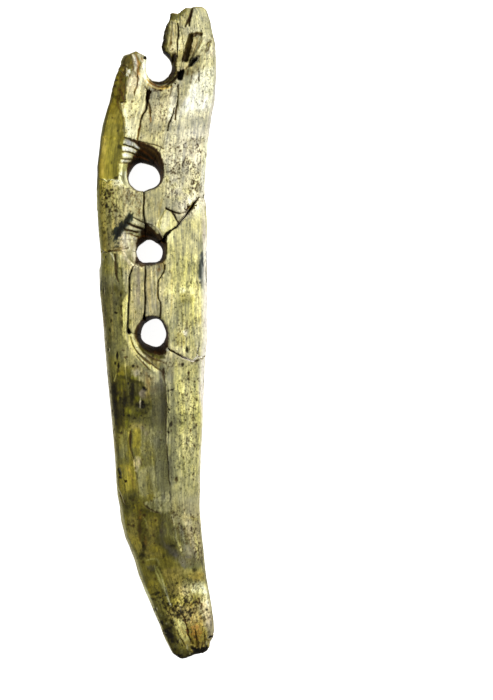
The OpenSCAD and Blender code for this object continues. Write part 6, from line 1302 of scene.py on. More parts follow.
# ---- broad light and dark over the whole face; the entries marked below are painted shade
LEAN = (1.0, 0.985, 0.80)
for spots, gain, soft, hue in [
    ([(121, 60), (128, 110), (127, 182), (96, 182), (97, 120), (112, 70)], 1.22, 2.0, (1, 1, 1)),
    ([(193, 130), (216, 130), (212, 200), (213, 300), (209, 380), (200, 380), (194, 300), (192, 200)], 1.08, 3.0, (1, 1, 1)),
    ([(88, 164), (106, 164), (106, 250), (112, 270), (104, 270), (90, 240)], 1.12, 4.0, LEAN),
    ([(104, 365), (122, 365), (126, 440), (108, 440)], 1.06, 4.0, (1, 0.98, 0.76)),
    ([(106, 425), (122, 425), (128, 500), (146, 572), (116, 540), (106, 470)], 1.2, 5.0, (1, 1, 0.97)),
    ([(124, 408), (172, 385), (186, 390), (190, 450), (186, 505), (134, 508), (128, 450)], 0.93, 5.0, (1, 1, 0.98)),
    ([(130, 504), (180, 506), (190, 545), (160, 560), (142, 548)], 0.92, 4.0, (1, 1, 0.97)),
    ([(156, 300), (196, 300), (196, 342), (164, 342)], 0.88, 4.0, (1, 1, 1)),
    ([(186, 122), (210, 120), (208, 136), (186, 136)], 0.93, 4.0, (1, 1, 1)),
    ([(150, 104), (210, 100), (208, 120), (152, 122)], 1.09, 4.0, (1, 1, 1.01)),
    ([(164, 286), (204, 286), (204, 314), (166, 314)], 1.11, 4.0, (1, 1, 1)),
    ([(118, 440), (148, 440), (150, 500), (122, 500)], 1.14, 5.0, (1, 1, 1)),
    ([(165, 520), (192, 520), (192, 562), (172, 562)], 1.15, 4.0, (1, 1, 1.04)),
    ([(176, 390), (206, 388), (206, 408), (176, 408)], 1.12, 4.0, (1, 1, 1.03)),
    ([(168, 40), (198, 40), (198, 54), (168, 54)], 1.1, 3.0, (1, 1, 1)),
    ([(116, 56), (146, 60), (146, 84), (116, 80)], 1.12, 3.0, (1, 1, 1.02)),
    ([(156, 598), (180, 598), (182, 616), (160, 616)], 1.2, 3.0, (1, 1, 1)),
    ([(180, 586), (216, 585), (216, 616), (206, 630), (182, 622)], 1.26, 4.0, (1, 1, 1.1)),
    # painted shade on the tall prong's left side, darker and more olive
    ([(152, 28), (170, 26), (168, 50), (166, 66), (152, 70), (148, 48)], 0.66, 2.0, (1, 0.97, 0.74)),
    ([(166, 55), (198, 52), (196, 74), (166, 76)], 0.86, 2.0, (1, 0.97, 0.85)),
    ([(182, 18), (202, 14), (206, 44), (190, 50), (182, 40)], 1.17, 3.0, (1, 1, 0.98)),
    ([(126, 104), (146, 104), (148, 152), (126, 148)], 1.1, 4.0, (1, 1, 0.98)),
    ([(158, 134), (172, 132), (174, 166), (160, 160)], 1.22, 3.0, (1, 1, 1)),
    ([(182, 132), (208, 130), (208, 162), (182, 160)], 1.2, 5.0, (1, 1, 1.04)),
    ([(118, 176), (132, 176), (132, 198), (118, 198)], 1.16, 3.0, (1, 1, 1)),
    ([(130, 198), (144, 198), (144, 224), (126, 224)], 1.2, 3.0, (1, 1, 0.98)),
    ([(182, 196), (210, 196), (210, 216), (182, 214)], 1.26, 4.0, (1, 1, 1.06)),
    ([(157, 222), (172, 222), (172, 242), (160, 240)], 1.2, 2.5, (1, 1, 1)),
    ([(116, 236), (131, 238), (133, 256), (116, 256)], 1.14, 2.5, (1, 1, 1)),
    ([(104, 248), (120, 250), (122, 282), (102, 282)], 1.22, 4.0, (1, 1, 1)),
    ([(168, 326), (184, 326), (184, 352), (168, 352)], 1.22, 4.0, (1, 1, 1.03)),
    ([(128, 262), (160, 262), (160, 330), (128, 346)], 1.1, 4.0, (1, 1, 0.98)),
    ([(166, 230), (196, 230), (196, 330), (168, 330)], 1.07, 5.0, (1, 1, 0.99)),
    ([(134, 262), (165, 262), (165, 318), (134, 318)], 0.96, 3.0, (1, 1, 1)),
    ([(184, 500), (206, 500), (208, 560), (190, 560)], 0.98, 4.0, (1, 1, 1.06)),
    ([(130, 88), (172, 88), (170, 138), (130, 138)], 1.05, 4.0, (1, 1, 1)),
    ([(168, 166), (210, 166), (208, 196), (168, 196)], 1.08, 4.0, (1, 1, 1)),
    ([(157, 114), (172, 114), (172, 134), (157, 134)], 0.9, 3.0, (1, 1, 1)),
    ([(102, 296), (134, 296), (136, 364), (108, 364)], 1.1, 5.0, (1, 0.99, 0.9)),
    # painted shade on the tall prong's left contour
    ([(150, 34), (164, 34), (162, 60), (152, 62)], 0.86, 2.0, (1, 0.98, 0.86)),
    ([(168, 42), (184, 42), (184, 56), (168, 56)], 1.1, 3.0, (1, 1, 1)),
    ([(156, 106), (172, 106), (172, 122), (156, 122)], 1.18, 3.0, (1, 1, 1)),
    ([(129, 134), (145, 134), (145, 152), (129, 152)], 1.12, 3.0, (1, 1, 1)),
    ([(88, 172), (105, 172), (105, 202), (88, 202)], 1.13, 3.0, (1, 1, 1)),
    ([(182, 588), (210, 588), (210, 606), (182, 606)], 1.2, 3.0, (1, 1, 1)),
    ([(184, 566), (208, 566), (206, 590), (186, 590)], 1.0, 3.0, (0.98, 1, 1.05)),
    # painted shade: a little darker along the lower right contour
    ([(193, 412), (212, 412), (212, 550), (194, 550)], 0.97, 2.0, (1, 1, 1.0)),
    # painted shade on the tall prong's left side, darker and more olive
    ([(148, 28), (160, 28), (160, 62), (150, 62)], 0.72, 1.5, (1, 0.98, 0.72)),
    ([(100, 78), (118, 56), (124, 66), (120, 108), (100, 112)], 0.93, 2.5, (1, 0.97, 0.68)),
    ([(88, 130), (112, 130), (112, 260), (90, 260)], 0.98, 4.0, (1, 1, 0.88)),
    ([(176, 104), (208, 104), (206, 134), (176, 134)], 0.92, 3.0, (1, 1, 1)),
    ([(164, 198), (208, 198), (206, 258), (164, 256)], 0.93, 4.0, (1, 1, 1)),
    ([(160, 366), (178, 366), (178, 482), (160, 482)], 0.9, 3.0, (1, 1, 1)),
    ([(124, 404), (140, 404), (140, 434), (124, 434)], 1.12, 3.0, (1, 1, 1.03)),
    ([(106, 286), (124, 286), (124, 302), (106, 302)], 0.88, 3.0, (1, 1, 1.03)),
    ([(176, 546), (192, 546), (192, 564), (176, 564)], 1.14, 3.0, (1, 1, 1)),
    ([(138, 78), (151, 78), (151, 94), (138, 94)], 1.14, 2.0, (1, 1, 1)),
    ([(194, 8), (206, 10), (212, 40), (200, 46), (184, 30), (176, 12)], 0.95, 3.0, (1, 1, 1)),
    ([(164, 2), (186, 4), (182, 16), (166, 18)], 0.88, 2.0, (1, 1, 0.96)),
    ([(155, 354), (172, 354), (170, 364), (163, 366), (163, 430), (155, 430)], 1.14, 1.5, (1, 1, 1)),
    ([(176, 430), (192, 430), (192, 456), (176, 456)], 1.1, 3.0, (1, 1, 1.03)),
    ([(169, 187), (181, 187), (181, 197), (169, 197)], 1.14, 2.0, (1, 1, 1)),
    ([(86, 132), (98, 132), (98, 148), (86, 148)], 0.88, 3.0, (1, 1, 0.96)),
    ([(86, 236), (110, 236), (108, 256), (98, 276), (88, 276)], 0.88, 3.0, (1, 1, 0.96)),
    ([(186, 284), (206, 284), (206, 300), (186, 300)], 0.97, 3.0, (1, 1, 1)),
    ([(131, 262), (162, 262), (162, 318), (131, 318)], 1.0, 3.0, (1.01, 0.995, 1.02)),
    ([(186, 576), (204, 576), (206, 600), (188, 600)], 0.93, 3.0, (1, 1, 0.93)),
    ([(176, 546), (196, 546), (196, 562), (176, 562)], 1.1, 3.0, (1, 1, 1)),
    ([(150, 84), (212, 84), (208, 245), (168, 245), (168, 140), (150, 136)], 1.0, 5.0, (1, 1, 1.05)),
    ([(184, 84), (196, 84), (196, 101), (184, 101)], 1.1, 3.0, (1, 1, 1)),
    ([(150, 84), (164, 84), (164, 106), (150, 106)], 0.91, 3.0, (1, 1, 1)),
    ([(190, 120), (212, 120), (210, 170), (190, 170)], 0.94, 4.0, (1, 1, 1)),
    ([(164, 416), (192, 416), (190, 432), (164, 432)], 0.93, 3.0, (1, 1, 1)),
    ([(190, 364), (208, 364), (206, 414), (190, 414)], 0.92, 3.0, (1, 1, 1)),
    ([(152, 354), (163, 354), (163, 392), (152, 392)], 1.1, 2.0, (1, 1, 1)),
    ([(164, 546), (177, 546), (177, 574), (164, 574)], 0.9, 2.5, (1, 1, 1)),
    ([(164, 586), (176, 586), (176, 601), (164, 601)], 0.88, 2.5, (1, 1, 1.03)),
    ([(178, 586), (192, 586), (192, 601), (178, 601)], 1.13, 2.5, (1, 1, 1.05)),
    ([(177, 562), (196, 562), (196, 573), (177, 573)], 1.09, 2.5, (1, 1, 1.03)),
    ([(155, 566), (160, 564), (170, 603), (165, 606)], 0.84, 1.2, (1, 1, 0.97)),
    ([(190, 578), (206, 578), (208, 600), (192, 600)], 0.93, 3.0, (1, 1, 1)),
    ([(190, 184), (203, 184), (203, 196), (190, 196)], 0.92, 2.5, (1, 1, 1)),
    ([(190, 262), (206, 262), (206, 275), (190, 275)], 0.9, 2.5, (1, 1, 1)),
    ([(177, 14), (190, 14), (190, 28), (177, 28)], 1.07, 2.5, (1, 1, 1)),
    ([(189, 106), (206, 106), (206, 118), (189, 118)], 1.08, 2.5, (1, 1, 1)),
    ([(164, 262), (196, 262), (196, 288), (164, 288)], 0.94, 3.0, (1, 1, 1)),
    ([(177, 300), (194, 300), (194, 316), (177, 316)], 0.9, 3.0, (1, 1, 1)),
    ([(112, 228), (138, 230), (138, 262), (114, 262)], 0.93, 3.0, (1, 1, 1)),
    ([(86, 132), (97, 132), (97, 147), (86, 147)], 0.9, 2.0, (1, 1, 0.95)),
    ([(86, 260), (98, 260), (98, 277), (86, 277)], 0.88, 2.0, (1, 1, 0.95)),
]:
    A.shade(spots, gain, soft=soft, hue=hue)
A.texture(1.0, 1.0, 0.65)

# ================================================================ back face
B.at(0, 0, 1)
B.wash("ivory", [(330, -10), (500, -10), (500, 680), (330, 680)], 1.0, rnd=False, fleck=0.55, gloss=0.4)

# ---- both prongs and the body down to the second hole
B.at(350, 0, 11.2)
B.wash("greycream", [(120, 40), (560, 60), (640, 380), (660, 520), (590, 640), (640, 800), (900, 840), (1180, 620), (1300, 900), (1500, 1568), (300, 1568), (200, 1200), (120, 800), (100, 400)], 0.22, soft=1.0, mott=0.4, fleck=0.95)
B.wash("straw", [(110, 330), (240, 320), (330, 640), (280, 760), (200, 800), (120, 700), (100, 500)], 0.35, soft=2.0)
B.wash("bone", [(130, 100), (280, 90), (330, 160), (300, 250), (190, 240), (140, 200)], 0.6, soft=1.0, mott=0.3)
B.wash("pewter", [(280, 740), (520, 740), (660, 860), (720, 960), (640, 1060), (500, 1040), (360, 1020), (240, 980), (230, 860)], 0.38, soft=1.6, mott=0.75, fleck=1.0)
B.wash("grey", [(300, 750), (560, 780), (640, 900), (600, 1000), (440, 980), (320, 900)], 0.4, soft=1.0, mott=0.7)
B.wash("pewter", [(830, 860), (960, 820), (1080, 900), (1100, 1100), (1080, 1300), (900, 1320), (830, 1160), (810, 1000)], 0.38, soft=1.4, mott=0.7, fleck=1.0)
B.wash("bone", [(840, 1020), (1000, 1080), (1060, 1200), (980, 1300), (860, 1200)], 0.4, soft=1.0, mott=0.5)
B.wash("pewter", [(480, 330), (600, 330), (640, 400), (580, 430), (500, 400)], 0.5, soft=0.7, mott=0.5)
B.wash("pewter", [(530, 270), (570, 270), (570, 310), (530, 310)], 0.5, soft=0.5)
B.wash("greycream", [(900, 620), (1080, 640), (1140, 820), (1080, 920), (960, 900), (900, 760)], 0.5, soft=1.0, mott=0.5, fleck=0.9)
B.spray("umber", [(130, 100), (560, 100), (640, 420), (600, 640), (240, 720), (130, 500)], 300, (0.08, 0.24), 0.5, tall=1.4)
B.spray("umber", [(230, 740), (620, 740), (900, 840), (1180, 700), (1240, 900), (1380, 1568), (330, 1568), (240, 1100)], 900, (0.08, 0.26), 0.55, tall=1.4)
B.spray("stain", [(300, 760), (600, 800), (680, 960), (560, 1040), (320, 1000)], 260, (0.1, 0.26), 0.5, tall=1.3)
B.spray("stain", [(840, 860), (1000, 830), (1100, 960), (1090, 1300), (880, 1300)], 240, (0.1, 0.26), 0.5, tall=1.3)
B.wash("ochre", [(1010, 540), (1160, 570), (1230, 740), (1190, 800), (1120, 700), (1040, 620)], 0.35, soft=1.0, mott=0.2)
B.wash("olive", [(1130, 600), (1180, 600), (1190, 720), (1140, 700)], 0.35, soft=0.8)
B.wash("straw", [(160, 800), (220, 900), (300, 1300), (400, 1568), (290, 1568), (200, 1200), (150, 950)], 0.6, soft=1.0)
B.wash("tan", [(320, 1300), (460, 1300), (480, 1568), (350, 1568)], 0.3, soft=1.6, mott=0.3)
B.wash("cream", [(1180, 640), (1240, 720), (1320, 980), (1420, 1250), (1520, 1568), (1400, 1568), (1320, 1250), (1230, 1000), (1200, 860)], 0.75, soft=1.0, mott=0.15, fleck=0.25)
B.line("brown", [(82, 340), (66, 460), (58, 600), (66, 700), (90, 800), (120, 950), (165, 1100), (205, 1250), (240, 1400), (275, 1568)], [14, 34, 40, 44, 44, 46, 48, 50, 50, 50], 0.85, soft=0.5, fleck=0.2, gloss=0.5)
B.line("umber", [(90, 350), (78, 460), (72, 600), (78, 680), (92, 740)], [10, 30, 34, 30, 10], 0.85, soft=0.5)
B.line("tan", [(140, 900), (185, 1080), (225, 1230), (262, 1400), (296, 1568)], 26, 0.6, soft=0.6)
B.line("brown", [(150, 880), (190, 1000), (235, 1200), (280, 1420), (300, 1568)], 9, 0.7, streak=0.2)
B.line("cream", [(120, 700), (150, 830), (200, 1000), (240, 1140), (280, 1350), (320, 1568)], 20, 0.55, soft=0.4, streak=0.2)
B.line("black", [(132, 88), (160, 76), (192, 62)], 22, 0.9, depth=0.3)
B.line("stain", [(112, 190), (126, 250), (116, 310), (104, 340)], [10, 24, 22, 8], 0.75)
B.line("umber", [(418, 84), (424, 140), (428, 200), (430, 240), (434, 282)], [8, 7, 8, 10, 8], 0.85, depth=0.5)
B.dabs("umber", [(420, 320, 26, 40, 20), (372, 352, 40, 30, 0), (388, 366, 20, 18, 0), (305, 330, 16, 14, 0), (335, 290, 12, 14, 0), (545, 160, 12, 22, -30), (100, 215, 10, 30, 0)], 0.75)
B.dabs("brown", [(240, 648, 40, 26, 30), (236, 708, 26, 30, 0), (205, 640, 14, 16, 0), (375, 178, 30, 26, 0), (140, 770, 14, 26, 20), (152, 806, 12, 20, 0), (132, 742, 12, 14, 0)], 0.8)
B.wash("umber", [(838, 540), (905, 560), (925, 600), (905, 640), (880, 660), (872, 720), (884, 760), (866, 790), (858, 760), (862, 700), (842, 640), (836, 580)], 0.85, soft=0.4, wob=0.3, depth=0.3, dsoft=0.8)
B.line("umber", [(850, 545), (900, 548), (950, 590), (990, 600)], 9, 0.7, depth=0.3)
B.line("tan", [(868, 575), (910, 590), (940, 612)], 10, 0.6, soft=0.3)
B.line("brown", [(880, 640), (930, 612), (940, 640)], 8, 0.6)
B.line("brown", [(993, 540), (992, 590), (990, 640)], 8, 0.65, depth=0.2)
B.line("stain", [(920, 536), (975, 524), (1040, 540), (1090, 552)], 8, 0.6)
B.dabs("umber", [(1165, 965, 50, 30, 20), (1180, 995, 26, 30, 0), (1205, 972, 14, 20, 0)], 0.85, depth=0.2)
B.wash("slate", [(305, 1105), (350, 1100), (380, 1140), (372, 1172), (330, 1180), (300, 1150)], 0.8, soft=0.4, mott=0.35)
B.dabs("slate", [(372, 1165, 26, 20, 0), (310, 1100, 20, 14, 0)], 0.75, mott=0.2)
B.line("brown", [(900, 850), (930, 895), (965, 930)], 10, 0.6, depth=0.3)
B.line("stain", [(958, 935), (960, 990), (955, 1045)], 14, 0.7, depth=0.4)
B.line("brown", [(822, 900), (818, 1000), (832, 1080), (848, 1150)], 9, 0.5, depth=0.2)
B.line("pewter", [(808, 1000), (815, 1080), (835, 1160)], 16, 0.4, soft=0.5)
B.line("umber", [(785, 1390), (788, 1460), (790, 1568)], [8, 16, 14], 0.9, depth=0.6)
B.line("brown", [(702, 1310), (704, 1380), (700, 1440)], 8, 0.55)
B.line("brown", [(683, 826), (684, 860), (690, 900)], 10, 0.5)
B.line("cream", [(700, 845), (760, 850), (800, 870), (800, 910), (740, 930), (700, 900)], 30, 0.4, soft=0.8, mott=0.3)
B.line("umber", [(592, 668), (615, 640), (640, 605), (655, 560)], 10, 0.7, soft=0.3)
B.dabs("umber", [(632, 1296, 40, 20, 15), (1068, 1282, 40, 26, -20), (935, 1555, 40, 30, 0), (1000, 1560, 20, 20, 0), (470, 1375, 30, 20, 0), (400, 650, 16, 18, 0), (550, 745, 20, 16, 0)], 0.55, mott=0.3)

# ---- second and third hole
B.at(375, 130, 10.453)
B.wash("greycream", [(80, 0), (1000, 0), (1060, 400), (1000, 800), (900, 1050), (560, 1000), (500, 640), (300, 900), (200, 500)], 0.30, soft=1.5, mott=0.5, fleck=0.85)
B.wash("bone", [(240, 80), (520, 60), (560, 250), (460, 400), (300, 420), (220, 260)], 0.35, soft=1.0, mott=0.5)
B.wash("pewter", [(500, 40), (900, 80), (980, 330), (920, 340), (860, 230), (740, 180), (620, 190), (520, 280), (480, 200)], 0.30, soft=1.2, mott=0.7, fleck=0.9)
B.wash("bone", [(340, 580), (520, 600), (640, 700), (560, 760), (400, 720), (340, 660)], 0.5, soft=0.8, mott=0.4)
B.wash("grey", [(340, 590), (420, 590), (440, 680), (360, 680)], 0.4, soft=0.6, mott=0.5)
B.wash("greycream", [(560, 700), (840, 780), (880, 880), (800, 940), (640, 900), (560, 800)], 0.5, soft=0.8, mott=0.5, fleck=1.0)
B.spray("umber", [(120, 20), (500, 20), (480, 560), (300, 620), (200, 400)], 200, (0.08, 0.24), 0.6)
B.spray("umber", [(500, 20), (1000, 60), (1080, 400), (1080, 900), (900, 900), (560, 900), (420, 760), (940, 560), (940, 300), (740, 180), (520, 240)], 330, (0.08, 0.24), 0.6)
B.spray("umber", [(900, 900), (1100, 850), (1120, 1300), (960, 1420), (940, 1160)], 90, (0.08, 0.24), 0.6)
B.wash("straw", [(80, 100), (170, 100), (240, 420), (300, 640), (340, 800), (420, 900), (380, 1060), (300, 1080), (200, 700), (120, 400)], 0.5, soft=1.6, mott=0.2, fleck=0.2)
B.wash("lemon", [(240, 1050), (330, 1060), (350, 1120), (270, 1140)], 0.45, soft=1.2, mott=0.3)
B.wash("straw", [(240, 580), (330, 600), (350, 780), (270, 780)], 0.6, soft=1.2)
B.wash("ochre", [(260, 1200), (460, 1180), (480, 1440), (440, 1568), (250, 1568), (220, 1400)], 0.32, soft=1.6, mott=0.4)
B.wash("pink", [(380, 1330), (560, 1360), (560, 1568), (400, 1568)], 0.25, soft=1.4, mott=0.4)
B.wash("cream", [(380, 1000), (480, 1000), (520, 1120), (460, 1300), (400, 1250), (370, 1100)], 0.55, soft=1.0, mott=0.2, fleck=0.1)
B.wash("cream", [(940, 880), (1080, 800), (1120, 1200), (1100, 1400), (980, 1300), (930, 1100)], 0.5, soft=1.2, mott=0.2, fleck=0.4)
# left margin: strip, lamella from behind, hairlines
B.wash("brown", [(-30, -40), (30, -40), (60, 200), (110, 480), (150, 700), (60, 640), (40, 400), (-10, 100)], 0.55, soft=0.6, streak=0.3, fleck=0.2)
B.wash("greyolive", [(60, 640), (110, 660), (150, 900), (210, 1300), (250, 1568), (130, 1568), (110, 1200), (60, 850), (55, 700)], 0.65, soft=0.7, streak=0.3, gloss=0.5)
B.line("cream", [(60, 120), (90, 330), (130, 500), (160, 640)], 22, 0.5, soft=0.5, streak=0.3)
B.line("stain", [(80, 455), (72, 460)], 26, 0.8)
B.dabs("black", [(84, 690, 30, 70, -18), (95, 895, 30, 50, 0), (76, 460, 26, 24, 0)], 0.85, soft=0.3, depth=0.3)
B.line("white", [(90, 715), (110, 800), (124, 880), (140, 980), (170, 1100), (195, 1250), (215, 1380)], [8, 9, 8, 8, 9, 8, 6], 0.8, soft=0.15)
B.line("stain", [(118, 880), (126, 980), (156, 1110), (182, 1240)], 7, 0.5)
B.line("brown", [(112, 380), (140, 500), (170, 640), (190, 720)], 6, 0.6, streak=0.2, depth=0.15)
B.line("umber", [(200, 420), (214, 500), (224, 620), (234, 720), (246, 820), (256, 880)], 7, 0.75, streak=0.1, depth=0.25)
B.line("black", [(224, 840), (240, 900), (254, 955), (268, 1010), (282, 1052)], [7, 10, 10, 10, 6], 0.95, depth=0.6)
B.line("umber", [(215, 1360), (240, 1400), (258, 1480), (272, 1568)], 7, 0.75, depth=0.25)
B.line("brown", [(300, 1060), (330, 1220), (352, 1330), (380, 1460), (400, 1568)], 6, 0.55, streak=0.3, depth=0.15)
B.line("brown", [(150, 560), (175, 700), (200, 820)], 5, 0.5)
B.line("umber", [(470, -20), (474, 60), (476, 130), (472, 205)], [12, 12, 10, 6], 0.85, depth=0.6)
B.dabs("umber", [(620, 128, 18, 74, -18), (603, 95, 16, 30, -10), (678, 105, 12, 58, 6), (455, 350, 14, 34, -10), (580, 158, 16, 14, 0), (516, 70, 12, 12, 0)], 0.85, depth=0.25)
B.dabs("slate", [(246, 130, 50, 34, 20), (790, 806, 46, 34, 0), (300, 435, 20, 18, 0), (250, 340, 16, 16, 0), (345, 508, 30, 22, 0), (250, 518, 26, 20, 0), (412, 410, 30, 20, 30), (265, 225, 20, 20, 0), (290, 265, 24, 18, 0), (680, 820, 16, 14, 0), (888, 950, 18, 14, 0), (1070, 795, 16, 14, 0), (1066, 1048, 14, 14, 0), (800, 835, 14, 10, 0)], 0.7, mott=0.25)
B.wash("greyolive", [(300, 800), (340, 790), (375, 850), (370, 960), (350, 950), (335, 880), (300, 860)], 0.55, soft=0.5, mott=0.5)
B.wash("mauve", [(500, 900), (600, 900), (600, 960), (540, 1010), (500, 980)], 0.5, soft=0.8, mott=0.3)
B.wash("slate", [(455, 1080), (495, 1045), (512, 1060), (505, 1125), (470, 1125)], 0.75, soft=0.35)
B.wash("mauve", [(455, 1080), (495, 1045), (512, 1060), (505, 1125), (470, 1125)], 0.3, soft=0.5)
B.dabs("slate", [(412, 1150, 30, 44, 30), (425, 1130, 20, 20, 0)], 0.65, mott=0.3)
B.dabs("brown", [(270, 1275, 30, 40, 20), (335, 1375, 20, 20, 0), (415, 1415, 26, 24, 0), (160, 256, 30, 22, 0), (470, 1500, 30, 30, 0)], 0.6, mott=0.2)
B.dabs("slate", [(205, 1468, 34, 20, 20), (560, 1490, 44, 40, 30), (410, 1548, 34, 26, 0), (640, 1445, 16, 14, 0)], 0.8, mott=0.2)
B.wash("pewter", [(600, 1470), (760, 1450), (860, 1500), (860, 1568), (620, 1568)], 0.4, soft=0.9, mott=0.6)
# second hole from behind: dark crescent on the right, brown stain deepened as painted shade on the wall turned from the
# light; fan of grooves below
B.wash("brown", [(610, 240), (680, 200), (760, 200), (850, 265), (910, 370), (930, 480), (915, 560), (860, 590), (760, 640), (660, 620), (840, 500), (820, 330), (700, 262)], 0.95, soft=0.45, wob=0.3, fleck=0.1)
B.wash("umber", [(625, 235), (680, 205), (760, 205), (835, 260), (880, 330), (840, 350), (790, 300), (700, 262)], 0.85, soft=0.5, wob=0.3)
B.wash("gold", [(840, 330), (880, 360), (905, 460), (890, 540), (850, 560), (838, 440)], 0.35, soft=0.8, streak=0.2)
B.line("umber", [(860, 290), (905, 380), (922, 470), (915, 560)], 12, 0.6, soft=0.4)
B.wash("ochre", [(540, 600), (680, 610), (800, 600), (930, 570), (960, 640), (950, 700), (860, 740), (760, 780), (640, 690), (560, 650)], 0.55, soft=0.6, mott=0.2, fleck=0.2)
B.line("cream", [(550, 615), (640, 660), (720, 720), (790, 790)], 16, 0.7, soft=0.3)
B.line("cream", [(740, 625), (830, 635), (900, 650), (960, 670)], 12, 0.6, soft=0.25)
B.line("cream", [(700, 640), (800, 672), (880, 710), (900, 725)], 12, 0.6, soft=0.25)
B.line("cream", [(860, 595), (910, 598), (960, 590)], 14, 0.6, soft=0.25)
B.line("umber", [(810, 588), (870, 570), (920, 568), (962, 577)], [8, 14, 18, 10], 0.9, depth=0.5)
B.line("umber", [(770, 632), (830, 612), (890, 608), (935, 625), (962, 640)], [6, 10, 14, 14, 6], 0.85, depth=0.5)
B.line("umber", [(720, 635), (790, 645), (860, 655), (910, 670), (952, 692)], [5, 9, 12, 14, 6], 0.85, depth=0.5)
B.line("umber", [(690, 650), (760, 680), (830, 705), (885, 735)], [5, 10, 16, 8], 0.8, depth=0.5)
B.line("brown", [(640, 640), (700, 680), (750, 725), (790, 770)], [5, 9, 14, 12], 0.8, depth=0.45)
B.line("brown", [(570, 630), (630, 665), (680, 710), (720, 750)], 9, 0.6, depth=0.3)
# third hole from behind: dark crescent on the right, brown stain deepened as painted shade on the wall turned from the
# light
B.wash("brown", [(570, 1050), (640, 1000), (700, 965), (760, 962), (840, 1000), (905, 1070), (935, 1170), (915, 1290), (870, 1310), (760, 1330), (700, 1320), (810, 1230), (800, 1120), (740, 1070), (640, 1060)], 0.95, soft=0.4, wob=0.3, fleck=0.1)
B.wash("umber", [(580, 1050), (650, 1010), (690, 965), (780, 965), (860, 1020), (890, 1070), (820, 1060), (760, 1060), (650, 1062)], 0.8, soft=0.6, wob=0.3)
B.wash("gold", [(800, 1080), (860, 1090), (900, 1190), (880, 1270), (820, 1280), (815, 1160)], 0.4, soft=0.7, streak=0.2)
B.line("umber", [(850, 1010), (905, 1080), (930, 1170), (918, 1280)], 10, 0.6, soft=0.35)
B.line("umber", [(650, 975), (700, 985), (730, 1000)], 12, 0.7, soft=0.3)
B.wash("ochre", [(580, 1310), (720, 1330), (860, 1310), (930, 1320), (940, 1370), (870, 1430), (800, 1450), (640, 1400)], 0.5, soft=0.5, fleck=0.2)
B.line("cream", [(590, 1320), (650, 1370), (720, 1420), (770, 1450)], 12, 0.6, soft=0.3)
B.line("amber", [(720, 1345), (780, 1370), (820, 1410), (850, 1450)], 14, 0.7, soft=0.3)
B.line("cream", [(830, 1345), (890, 1360), (880, 1400), (870, 1450)], 14, 0.7, soft=0.3)
B.line("cream", [(880, 1318), (920, 1330), (960, 1350)], 12, 0.6, soft=0.3)
B.line("umber", [(840, 1300), (880, 1290), (945, 1308)], [8, 12, 6], 0.85, depth=0.4)
B.line("umber", [(770, 1330), (830, 1328), (880, 1345), (935, 1375)], [6, 12, 16, 6], 0.88, depth=0.5)
B.line("umber", [(720, 1330), (780, 1362), (830, 1385), (862, 1415)], [6, 12, 18, 8], 0.85, depth=0.5)
B.line("umber", [(670, 1350), (730, 1395), (780, 1430), (815, 1455)], [6, 12, 18, 8], 0.85, depth=0.5)
B.line("umber", [(600, 1330), (650, 1390), (700, 1430), (720, 1455)], [6, 10, 12, 8], 0.7, depth=0.4)
B.line("umber", [(513, 1250), (528, 1300), (548, 1350), (572, 1388)], [8, 14, 16, 10], 0.85, depth=0.5)
B.line("cream", [(535, 1270), (560, 1330), (590, 1370)], 16, 0.5, soft=0.4)
B.line("ochre", [(545, 1250), (560, 1290), (600, 1330)], 9, 0.5)
# right margin ridge: pale in itself, with painted light on it as it faces the light
B.line("white", [(1110, -40), (1130, 200), (1140, 400), (1140, 700), (1140, 1000), (1150, 1300), (1150, 1600)], 60, 0.75, soft=2.2, streak=0.2, fleck=0.05)
B.line("lemon", [(1170, 100), (1195, 400), (1200, 700)], 22, 0.3, soft=1.4)
B.line("brown", [(1130, 1455), (1160, 1465), (1200, 1462)], 6, 0.55)
B.dabs("pewter", [(1195, 720, 20, 60, 0), (1190, 360, 26, 40, 0)], 0.5)

# ---- fourth hole, the break across, the dark patch
B.at(385, 270, 11.2)
B.wash("straw", [(60, 0), (330, 0), (370, 300), (440, 500), (520, 800), (600, 1000), (640, 1568), (200, 1568), (120, 950), (80, 600), (40, 200)], 0.5, soft=2.0, streak=0.3, fleck=0.35)
B.wash("ochre", [(380, 850), (560, 830), (720, 1000), (760, 1120), (520, 1160), (450, 1100), (380, 980)], 0.42, soft=1.6, mott=0.3)
B.wash("ochre", [(420, 1130), (760, 1120), (860, 1300), (900, 1568), (500, 1568), (440, 1300)], 0.5, soft=1.6, mott=0.25)
B.wash("ochre", [(130, 960), (330, 990), (420, 1120), (500, 1568), (210, 1568), (160, 1200)], 0.42, soft=1.2, mott=0.25)
B.wash("greycream", [(50, 0), (160, 0), (200, 300), (240, 560), (240, 700), (100, 700), (70, 400)], 0.4, soft=1.2, streak=0.5, fleck=0.5)
B.wash("bone", [(880, 380), (1050, 340), (1060, 700), (940, 760), (900, 620)], 0.4, soft=1.2, mott=0.3)
B.wash("greycream", [(420, -20), (900, -20), (1000, 300), (860, 250), (640, 290), (520, 420), (420, 340)], 0.5, soft=1.2, mott=0.4, fleck=0.8)
B.wash("pink", [(380, 60), (560, 100), (560, 260), (440, 420), (380, 280)], 0.25, soft=1.4, mott=0.3)
B.wash("mauve", [(580, 1000), (760, 1020), (880, 1100), (860, 1300), (780, 1200), (640, 1100)], 0.25, soft=1.4, mott=0.4)
B.wash("cream", [(900, 1000), (1100, 900), (1150, 1568), (900, 1568), (860, 1300)], 0.35, soft=1.6, mott=0.4, fleck=0.6)
B.spray("umber", [(80, 500), (260, 500), (340, 930), (130, 930)], 150, (0.1, 0.32), 0.6, tall=1.8)
B.spray("brown", [(60, 20), (160, 20), (220, 500), (90, 500)], 70, (0.1, 0.26), 0.6, tall=1.8)
B.spray("umber", [(680, 60), (1020, 60), (1040, 280), (860, 240), (700, 240)], 130, (0.08, 0.26), 0.65)
